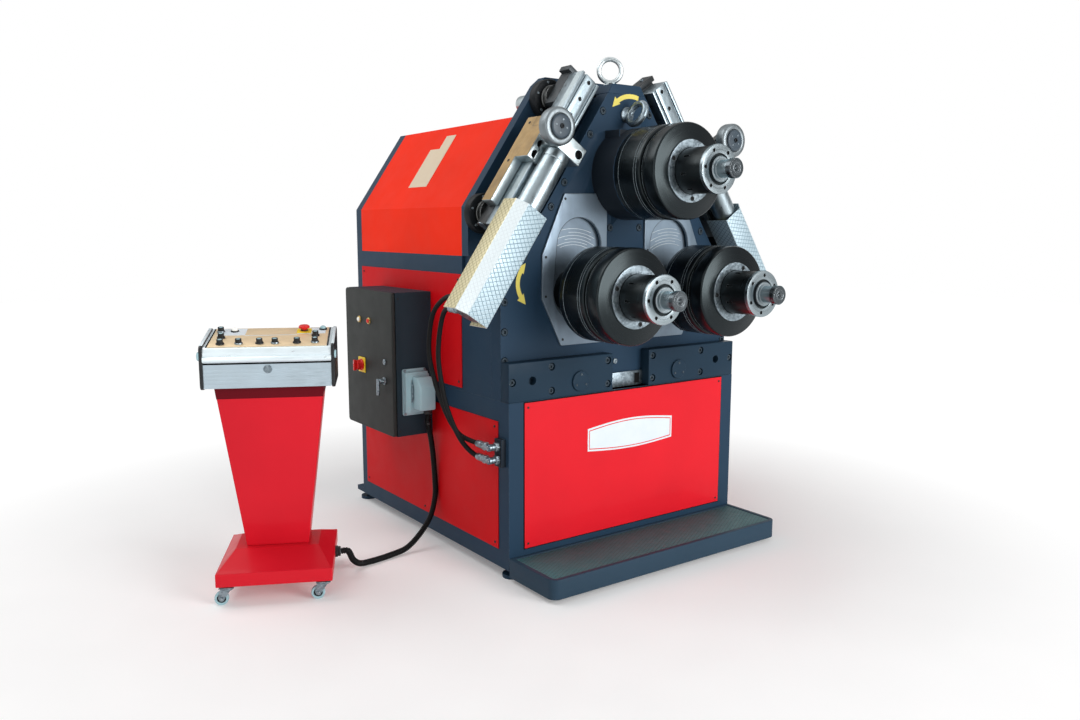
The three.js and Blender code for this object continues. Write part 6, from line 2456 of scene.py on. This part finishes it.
    def build(self) -> None:
        """Makes the cabinet."""
        shop.dress("cabinet_box", "cabinet_side_paint")
        self.door()
        self.lamps()
        self.switch()
        self.lock_and_handle()
        self.plug()
        self.side_screws()
        self.ports()


class Console(Maker):
    """The control console on casters, drawn with its front along -Y."""

    place = CONSOLE
    shares = [(-0.71, 0.16), (-0.44, 0.17), (-0.13, 0.17), (0.1, 0.17), (0.43, 0.17), (0.7, 0.18),
              (-0.74, 0.46), (-0.79, 0.77), (0.69, 0.5)]
    lamp_shares = [(-0.58, 0.78), (0.79, 0.82)]
    stop_share = (0.5, 0.74)
    half_panel = 230.0
    panel_foot = (66.0, 922.0)
    panel_run = (242.0, 44.0)
    tilt = math.atan2(panel_run[1], panel_run[0])
    half_box = 218.3
    wheel_radius = 25.0

    def on_panel(self, share: Point = (0.0, 0.0), lift: float = 0.0) -> Matrix:
        """Places a shape on the sloping panel.

        Args:
            share: Its place as shares of the half width and of the depth, from the front edge's middle.
            lift: Its height over the panel.

        Returns:
            The place.
        """
        v, height = (foot + share[1] * run for foot, run in zip(self.panel_foot, self.panel_run))
        return (
            Matrix.Translation((share[0] * self.half_panel, v, height)) @ Matrix.Rotation(self.tilt, 4, "X")
            @ Matrix.Translation((0.0, 0.0, lift))
        )

    def base(self) -> None:
        """Makes the red base with its sloped top and the conduit's entry."""
        skirt = bench.slab((-202.0, 202.0), (0.0, 433.0), (76.0, 125.0), 3.0, 3)
        hollow = bench.block((-197.0, 197.0), (5.0, 428.0), (60.0, 118.0))
        skirt = bench.cut(skirt, hollow)
        self.add(skirt, "console_skirt", "red_paint_film", "red_paint", stands_for=("console_base",))
        top = frustum((-201.0, 201.0, 1.0, 432.0), (-148.0, 148.0, 131.0, 302.0), (123.5, 171.0))
        bench.soften(top, 2.4, 3, 20.0)
        self.add(top, "console_base_top", "red_paint_film", "red_paint", smooth=20.0)
        entry = bench.join(
            bench.turned([(0.0, 201.5), (22.0, 201.5), (22.0, 211.0), (19.4, 212.6), (0.0, 212.6)], Axis.X,
                         (240.0, 100.0), 6),
            bench.bar(19.0, (212.0, 222.0), Axis.X, (240.0, 100.0), 2.0, 40),
        )
        self.add(entry, "conduit_entry", "black_plastic_grain", "black_plastic")

    def column(self) -> None:
        """Makes the tapered column and, below the box, a darker band that paints the box's shadow on it."""
        column = frustum((-111.0, 111.0, 154.0, 290.0), (-187.0, 187.0, 93.0, 282.0), (171.2, 768.0))
        bench.soften(column, 3.0, 3, 20.0)
        stand = ("console_column",)
        self.add(column, "column_sheet", "red_paint_film", "red_paint", stands_for=stand, smooth=20.0)
        # The band below the box is painted darker: it paints the box's shadow on the column.
        neck = frustum((-183.6, 183.6, 95.4, 282.6), (-188.6, 188.6, 91.0, 282.8), (735.0, 777.6))
        bench.soften(neck, 1.0, 2, 20.0)
        self.add(neck, "column_box_shadow_band", "neck_red_paint", "red_paint", smooth=20.0)

    def box(self) -> None:
        """Makes the brushed box with its curved lip, bar, ribs, end caps and lock."""
        half = self.half_box
        low = [(66.0, 778.0)]
        for z in (792.0, 805.0, 818.0, 831.0, 844.0):
            low += [(66.0, z - 1.0), (66.35, z), (66.0, z + 1.0)]
        lower = low + [(66.0, 862.0), (308.0, 862.0), (308.0, 778.0)]
        shell = bench.prism(lower, (-half, half), Axis.X)
        self.add(
            shell, "box_lower_shell", "desk_aluminium_brushed", "desk_aluminium",
            stands_for=("console_box",), smooth=20.0,
        )
        gap = bench.block((-half, half), (71.0, 305.0), (861.8, 868.2))
        self.add(gap, "box_gap", "recess_black", "black_rubber")
        upper = shaped([(66, 868, 1), (308, 868, 1), (308, 964, 6), (74, 921.6, 14), (66, 902, 8)], 6)
        hood = bench.prism(upper, (-half, half), Axis.X)
        self.add(hood, "box_upper_shell", "lip_aluminium", "desk_aluminium", smooth=40.0)
        bar = bench.bar(11.0, (-half, half), Axis.X, (66.8, 880.0), 0.8, 40)
        self.add(bar, "box_front_bar", "lip_aluminium", "desk_aluminium")
        cap_profile = shaped([(61, 773, 18), (313, 773, 18), (313, 971, 22), (61, 927, 20)], 8)
        for side, name in SIDES:
            cap = bench.soften(bench.prism(cap_profile, (side * 217.6, side * 230.0), Axis.X), 3.0, 3, 50.0)
            self.add(cap, "box_end_cap_" + name, "black_plastic_grain", "black_plastic")
            trim = bench.slab((side * 218.4, side * 229.2), (12.0, 226.0), (3.6, 5.9), 0.5)
            trim.data.transform(self.on_panel())
            self.add(trim, "box_end_trim_" + name, "lip_aluminium", "desk_aluminium")
            boss = bench.bar(15.0, (side * 229.0, side * 236.0), Axis.X, (70.0, 893.0), 2.5, 36)
            self.add(boss, "box_side_knob_" + name, "grey_plastic_grain", "grey_plastic")
        lock = bench.turned(
            [(0.0, 60.4), (8.0, 60.4), (8.4, 62.4), (13.5, 62.4), (15.0, 64.0), (15.0, 66.6), (0.0, 66.6)],
            Axis.Y, (0.0, 844.0), 40,
        )
        slot = bench.block((-1.4, 1.4), (58.0, 63.0), (839.0, 849.0))
        self.add(bench.cut(lock, slot), "box_lock", "zinc_plating", "bright_steel")

    def panel(self) -> None:
        """Makes the beige panel with its pale fields and dark side joints."""
        plate = bench.slab((-203.0, 203.0), (10.0, 231.0), (-2.0, 0.9), 0.6)
        plate.data.transform(self.on_panel())
        self.add(plate, "panel_plate", "panel_beige", "desk_aluminium")
        for x, name in ((-206.5, "left"), (206.5, "right")):
            joint = bench.block((x - 2.0, x + 2.0), (10.0, 231.0), (-1.0, 0.5))
            joint.data.transform(self.on_panel())
            self.add(joint, "panel_joint_" + name, "recess_black", "black_rubber")
        fields = [(-190.0, -92.0, 142.0, 226.0), (92.0, 192.0, 150.0, 226.0), (-92.0, 92.0, 136.0, 141.0)]
        for i, (x0, x1, y0, y1) in enumerate(fields):
            field = bench.prism(oblong((x0, x1), (y0, y1), 2), (0.7, 1.3), Axis.Z)
            field.data.transform(self.on_panel())
            self.add(field, "panel_field_%d" % (i + 1), "white_label", "grey_plastic")

    def fit(
        self, profile: list[Point], share: Point, name: str, finish: str, slot: str, body: str = "",
        stands_for: tuple[str, ...] = (), steps: int = 36, lift: float = 0.0,
    ) -> None:
        """Makes a turned piece that stands on the sloping panel.

        Args:
            profile: Points of radius and height.
            share: Its place, as in on_panel.
            name: The piece's name.
            finish: The finish's name.
            slot: The material slot.
            body: The body it rides on, or nothing for the console.
            stands_for: The CAD nodes it replaces.
            steps: The number of steps round.
            lift: Its height over the panel.
        """
        obj = bench.turned(profile, Axis.Z, steps=steps)
        obj.data.transform(self.on_panel(share, lift))
        self.add(obj, name, finish, slot, body, stands_for)

    def controls(self) -> None:
        """Makes the bezels, buttons, lamps and the stop button."""
        for i, share in enumerate(self.shares):
            body = "button_%d" % (i + 1)
            finish = "zinc_plating" if i % 2 else "black_plastic_grain"
            rim = [(11.4, 0.0), (14.5, 0.0), (14.5, 3.6), (13.2, 5.8), (12.2, 6.0), (11.4, 6.0)]
            self.fit(rim, share, body + "_bezel", finish, "bright_steel", lift=0.5)
            cap = [(0.0, 18.6), (7.0, 18.6), (9.0, 19.4), (10.2, 19.4), (11.0, 18.4), (11.0, 5.7), (0.0, 5.7)]
            stands = ("push_" + body,)
            self.fit(cap, share, body + "_cap", "black_plastic_grain", "black_plastic", body, stands)
            face = [(0.0, 18.3), (6.9, 18.3), (6.9, 19.0), (0.0, 19.3)]
            self.fit(face, share, body + "_face", "grey_plastic_grain", "black_plastic", body, steps=32)
        for name, share, lens in zip(("panel_lamp_left", "panel_lamp_right"), self.lamp_shares,
                                     ("lamp_white", "grey_plastic_grain")):
            rim = [(11.2, 0.0), (14.5, 0.0), (14.5, 3.6), (13.2, 5.8), (11.2, 6.0)]
            self.fit(rim, share, name + "_bezel", "black_plastic_grain", "bright_steel", lift=0.5)
            dome = [(0.0, 15.4), (6.0, 14.6), (9.6, 12.0), (11.0, 8.0), (11.0, 0.0), (0.0, 0.0)]
            self.fit(dome, share, name + "_lens", lens, "black_plastic")
        plate = bench.soften(bench.prism(oblong((-26, 26), (-26, 26), 3), (-0.5, 4.2), Axis.Z), 1.0, 2, 50.0)
        plate = bench.cut(plate, bench.bar(10.3, (-3.0, 8.0), Axis.Z, edge=0.2, steps=40))
        plate.data.transform(self.on_panel(self.stop_share))
        self.add(plate, "stop_plate", "yellow_plastic", "black_plastic")
        spot = self.stop_share
        collar = [(10.2, 4.1), (13.4, 4.1), (13.4, 6.6), (13.0, 7.0), (10.2, 7.0)]
        self.fit(collar, spot, "stop_collar", "black_plastic_grain", "black_plastic", steps=40)
        head = [
            (0.0, 24.5), (12.0, 24.4), (17.0, 23.0), (20.0, 19.6), (20.0, 15.6), (17.6, 13.8), (13.0, 13.5),
            (9.8, 13.2), (9.8, 7.5), (0.0, 7.5),
        ]
        stands = ("emergency_stop",)
        self.fit(head, spot, "stop_head", "red_plastic_gloss", "red_plastic", "stop_button", stands, 48)

    def caster(self, side: int, v: float, label: str) -> None:
        """Makes one caster: plate, swivel race, fork, axle, tyre and hub.

        Args:
            side: -1 for the left side and 1 for the right one.
            v: Its depth in the console.
            label: The CAD nodes' label.
        """
        u = side * 168.0
        front = label.startswith("front")
        fork_body = label + "_swivel" if front else "machine"
        wheel_u = u - 20.0
        plate = bench.slab((u - 26.0, u + 26.0), (v - 26.0, v + 26.0), (65.6, 69.6), 1.0)
        stands = (label + "_caster_fork",) if front else ()
        self.add(plate, label + "_plate", "zinc_plating", "bright_steel", fork_body, stands)
        race = bench.turned(
            [(0.0, 54.0), (17.0, 54.0), (21.0, 57.0), (21.0, 62.0), (18.0, 65.7), (0.0, 65.7)],
            Axis.Z, (u, v), 36,
        )
        self.add(race, label + "_race", "zinc_plating", "bright_steel", fork_body)
        cheeks = []
        for dv in (-1, 1):
            inner, outer = v + dv * 11.7, v + dv * 14.4
            cheek = bench.prism(
                shaped([(u + 16, 60, 4), (u - 24, 60, 4), (wheel_u - 11, 27, 8), (wheel_u - 4, 16, 7),
                        (wheel_u + 8, 16, 7), (wheel_u + 14, 30, 6)]),
                (min(inner, outer), max(inner, outer)),
            )
            bench.soften(cheek, 0.8, 2, 50.0)
            cheeks.append(cheek)
        bridge = bench.slab((u - 24.0, u + 16.0), (v - 14.4, v + 14.4), (56.5, 60.0), 1.0)
        fork = bench.join(*cheeks, bridge)
        self.add(fork, label + "_fork_cheeks", "zinc_plating", "bright_steel", fork_body)
        axle = bench.join(
            bench.bar(4.0, (v - 15.0, v + 15.0), Axis.Y, (wheel_u, self.wheel_radius), 0.5, 24),
            bench.turned(
                [(0.0, v - 19.0), (6.6, v - 19.0), (7.0, v - 18.4), (7.0, v - 14.4), (0.0, v - 14.4)],
                Axis.Y, (wheel_u, self.wheel_radius), 6,
            ),
            bench.turned(
                [(0.0, v + 14.4), (7.0, v + 14.4), (7.0, v + 18.4), (6.6, v + 19.0), (0.0, v + 19.0)],
                Axis.Y, (wheel_u, self.wheel_radius), 6,
            ),
        )
        self.add(axle, label + "_axle", "zinc_plating", "bright_steel", fork_body)
        tyre = bench.turned(
            [(16.0, v - 9.0), (22.5, v - 10.0), (24.4, v - 8.0), (25.0, v - 4.0), (25.0, v + 4.0),
             (24.4, v + 8.0), (22.5, v + 10.0), (16.0, v + 9.0)],
            Axis.Y, (wheel_u, self.wheel_radius), 48,
        )
        wheel_body = label + "_wheel"
        stands = (label + "_caster_wheel",)
        self.add(tyre, label + "_tyre", "grey_plastic_grain", "grey_plastic", wheel_body, stands)
        hub = bench.turned(
            [(4.6, v - 10.0), (8.0, v - 10.0), (9.0, v - 6.0), (16.2, v - 5.0), (16.2, v + 5.0),
             (9.0, v + 6.0), (8.0, v + 10.0), (4.6, v + 10.0)],
            Axis.Y, (wheel_u, self.wheel_radius), 40,
        )
        self.add(hub, label + "_hub", "black_plastic_grain", "grey_plastic", wheel_body)

    def build(self) -> None:
        """Makes the console."""
        self.base()
        self.column()
        self.box()
        self.panel()
        self.controls()
        for side, name in SIDES:
            self.caster(side, 36.0, "front_" + name)
            self.caster(side, 397.0, "rear_" + name)


class Cords:
    """The two hydraulic hoses and the ribbed conduit to the console."""

    upper = [
        (-654, 120, 524), (-654, 150, 524), (-680, 220, 544), (-705, 246, 592), (-720, 300, 682),
        (-722, 346, 760), (-722, 379, 853), (-722, 358, 976), (-722, 325, 1026), (-722, 250, 1072),
        (-732, 165, 1086), (-736.8, 124, 1081.3), (-736.8, 95.3, 1081.3),
    ]
    lower = [
        (-654, 118, 474), (-654, 148, 474), (-672, 184, 500), (-715, 183, 563), (-735, 228, 667),
        (-745, 245, 756), (-750, 256, 846), (-752, 239, 949), (-755, 200, 1024), (-762, 150, 1046),
        (-762.1, 124, 1044.1), (-762.1, 95.3, 1044.1),
    ]
    conduit = [
        (-660, 509, 575.7), (-660, 509, 555.7), (-650, 529, 534), (-632, 532, 440), (-618, 535, 284),
        (-618, 535, 214), (-642, 530, 134), (-667, 526, 98), (-722, 515, 50), (-775, 505, 22),
        (-853, 491, 14), (-944, 474, 14), (-1000, 464, 20), (-1036, 446, 48), (-1070.0, 422.5, 100),
        (-1092.2, 433.2, 100),
    ]

    def smooth(self, points: list[Triple], per_span: int) -> list[Vector]:
        """Runs a centripetal curve through points, as the CAD source does.

        Args:
            points: The route's points, in millimetres.
            per_span: The number of steps between two points.

        Returns:
            The curve's points, in the row frame in metres.
        """
        knots = [Vector(p) for p in points]
        knots = [2 * knots[0] - knots[1], *knots, 2 * knots[-1] - knots[-2]]
        found = []
        for a, b, c, d in zip(knots, knots[1:], knots[2:], knots[3:]):
            steps = [max((q - p).length, 1e-6) ** 0.5 for p, q in ((a, b), (b, c), (c, d))]
            before = ((b - a) / steps[0] - (c - a) / (steps[0] + steps[1]) + (c - b) / steps[1]) * steps[1]
            after = ((c - b) / steps[1] - (d - b) / (steps[1] + steps[2]) + (d - c) / steps[2]) * steps[1]
            for k in range(per_span):
                t = k / per_span
                found.append(
                    b * (2 * t**3 - 3 * t**2 + 1) + before * (t**3 - 2 * t**2 + t)
                    + c * (3 * t**2 - 2 * t**3) + after * (t**3 - t**2)
                )
        found.append(knots[-2])
        return [MACHINE @ p for p in found]

    def tube(self, path: list[Vector], radius: float, waves: float) -> bpy.types.Object:
        """Sweeps a round section along a path.

        Args:
            path: The path, in metres.
            radius: The section's radius, in metres.
            waves: How far the radius falls between ribs, in metres.

        Returns:
            The tube as a mesh.
        """
        curve = bpy.data.curves.new("route", "CURVE")
        curve.dimensions = "3D"
        curve.bevel_depth = radius
        curve.bevel_resolution = 5
        curve.use_fill_caps = True
        spline = curve.splines.new("POLY")
        spline.points.add(len(path) - 1)
        for i, (point, place) in enumerate(zip(spline.points, path)):
            point.co = (*place, 1.0)
            point.radius = 1.0 - (waves / radius if i % 4 in (2, 3) else 0.0)
        obj = bpy.data.objects.new("route", curve)
        bpy.context.scene.collection.objects.link(obj)
        bench.only(obj)
        bpy.ops.object.convert(target="MESH")
        return bpy.context.object

    def even(self, path: list[Vector], step: float) -> list[Vector]:
        """Spaces a path's points evenly.

        Args:
            path: The path.
            step: The distance between points.

        Returns:
            The new path.
        """
        found = [path[0]]
        left = step
        for a, b in zip(path, path[1:]):
            length = (b - a).length
            done = 0.0
            while length - done >= left:
                done += left
                found.append(a.lerp(b, done / length))
                left = step
            left -= length - done
        if (found[-1] - path[-1]).length > step * 0.2:
            found.append(path[-1])
        else:
            found[-1] = path[-1]
        return found

    def length(self, path: list[Vector]) -> float:
        """Measures a path.

        Args:
            path: The path.

        Returns:
            Its length.
        """
        return sum((b - a).length for a, b in zip(path, path[1:]))

    def lay(self, name: str, route: list, radius: float, node: str, ribbed: bool) -> None:
        """Args:
            name: The piece's name.
            route: Its points, in millimetres.
            radius: Its radius, in metres.
            node: The CAD node that it stands for.
            ribbed: Whether the tube is ribbed.
        """
        step, waves = (0.0019, 0.0022) if ribbed else (0.006, 0.0)
        path = self.even(self.smooth(route, 10), step)
        obj = self.tube(path, radius, waves)
        finish = "conduit_black" if ribbed else "black_rubber_matt"
        shop.piece(obj, name, finish, place=IN_PLACE, stands_for=(node,), smooth=60.0)

    def build(self) -> None:
        """Makes the cords."""
        self.lay("upper_hydraulic_hose", self.upper, 0.0095, "upper_hose", False)
        self.lay("lower_hydraulic_hose", self.lower, 0.0095, "lower_hose", False)
        self.lay("ribbed_conduit", self.conduit, 0.0125, "control_conduit", True)


class Studio:
    """Camera, lights, floor and white surroundings."""

    def camera(self) -> None:
        """Puts the camera where the photograph was taken from."""
        yaw, pitch, roll = 0.6263, 0.1460, 0.0022
        bpy.ops.object.camera_add(location=(-2.0650, -3.1459, 1.3399))
        camera = bpy.context.object
        level = math.cos(pitch)
        forward = Vector((math.sin(yaw) * level, math.cos(yaw) * level, -math.sin(pitch)))
        lean = Matrix.Rotation(roll, 3, "Z").to_quaternion()
        camera.rotation_mode = "QUATERNION"
        camera.rotation_quaternion = forward.to_track_quat("-Z", "Y") @ lean
        camera.data.lens = 30.16
        camera.data.sensor_width = 36.0
        camera.data.clip_end = 60.0
        bpy.context.scene.camera = camera

    def area(self, name: str, place: Vector, aim: Vector, size: float, power: float) -> None:
        """Adds a soft light.

        Args:
            name: The light's name.
            place: Where it hangs.
            aim: What it points at.
            size: Its width.
            power: Its power.
        """
        bpy.ops.object.light_add(type="AREA", location=place)
        light = bpy.context.object
        light.name = name
        light.data.size = size
        light.data.energy = power
        light.rotation_mode = "QUATERNION"
        light.rotation_quaternion = (aim - place).to_track_quat("-Z", "Y")

    def floor(self) -> None:
        """Lays a pale floor that takes the machine's shadow."""
        bpy.ops.object.select_all(action="DESELECT")
        bpy.ops.mesh.primitive_plane_add(size=30.0, location=(0.0, 0.0, 0.0))
        floor = bpy.context.object
        floor.name = "studio_floor"
        graph, principled, material = shader("pale_floor")
        place = graph.place()
        tone = graph.remap(graph.noise(place, 3.0), 0.3, 0.7, 0.86, 0.9)
        far = graph.remap(graph.vector("LENGTH", "Value", {0: place}), 1.3, 2.6, 0.0, 1.0)
        near = graph.math("MULTIPLY", tone, graph.math("SUBTRACT", 1.0, far))
        grey = graph.add("ShaderNodeCombineColor", {0: near, 1: near, 2: near}).outputs[0]
        glow = graph.math("ADD", graph.math("MULTIPLY", far, 0.85), 0.15)
        graph.feed(
            principled,
            {"Base Color": grey, "Emission Strength": glow, "Emission Color": WHITE, "Roughness": 0.8,
             "Specular IOR Level": 0.1},
        )
        floor.data.materials.append(material)

    def world(self) -> None:
        """Sets a white background that lights softly."""
        world = bpy.data.worlds.new("studio_world")
        bpy.context.scene.world = world
        world.use_nodes = True
        graph = Graph(world.node_tree)
        path = graph.add("ShaderNodeLightPath")
        seen = graph.math("MAXIMUM", path.outputs["Is Camera Ray"], path.outputs["Is Transmission Ray"])
        x, y, z = graph.separate(graph.add("ShaderNodeNewGeometry").outputs["Incoming"])
        waves = graph.math("SINE", graph.math("MULTIPLY", graph.math("ARCTAN2", y, x), 4.0))
        panels = graph.remap(waves, -0.35, 0.35, 0.0, 1.0)
        above = graph.remap(z, -0.55, -0.8, 0.0, 1.0)
        shown = graph.remap(graph.math("MAXIMUM", panels, above), 0.0, 1.0, -0.1, 0.65)
        glossy = graph.math("MULTIPLY", path.outputs["Is Glossy Ray"], shown)
        extra = graph.math("MAXIMUM", graph.math("MULTIPLY", seen, 0.65), glossy)
        strength = graph.math("ADD", extra, 0.35)
        graph.feed(world.node_tree.nodes["Background"], {"Color": WHITE, "Strength": strength})

    def build(self) -> None:
        """Makes the studio."""
        self.camera()
        self.floor()
        self.world()
        aim = Vector((0.1, -0.3, 0.9))
        self.area("key", Vector((1.9, -6.6, 2.4)), aim, 3.6, 318.0)
        self.area("low_fill", Vector((1.4, -5.6, 0.5)), Vector((0.3, -0.5, 0.4)), 2.2, 30.0)
        self.area("left_fill", Vector((-4.4, -2.6, 2.2)), aim, 3.0, 34.0)
        self.area("hood_light", Vector((-2.2, 1.4, 4.4)), Vector((0.0, 0.3, 1.2)), 3.0, 80.0)
        scene = bpy.context.scene
        scene.view_settings.view_transform = "Standard"


PARTS = (Base, Step, Beam, Head, Rolls, Guides, Cabinet, Console, Cords)


def main() -> None:
    """Builds every piece."""
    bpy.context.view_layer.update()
    for part in PARTS:
        part().build()
    Studio().build()
    log.info("%d pieces made", len(shop.made))


if __name__ == "__main__":
    main()
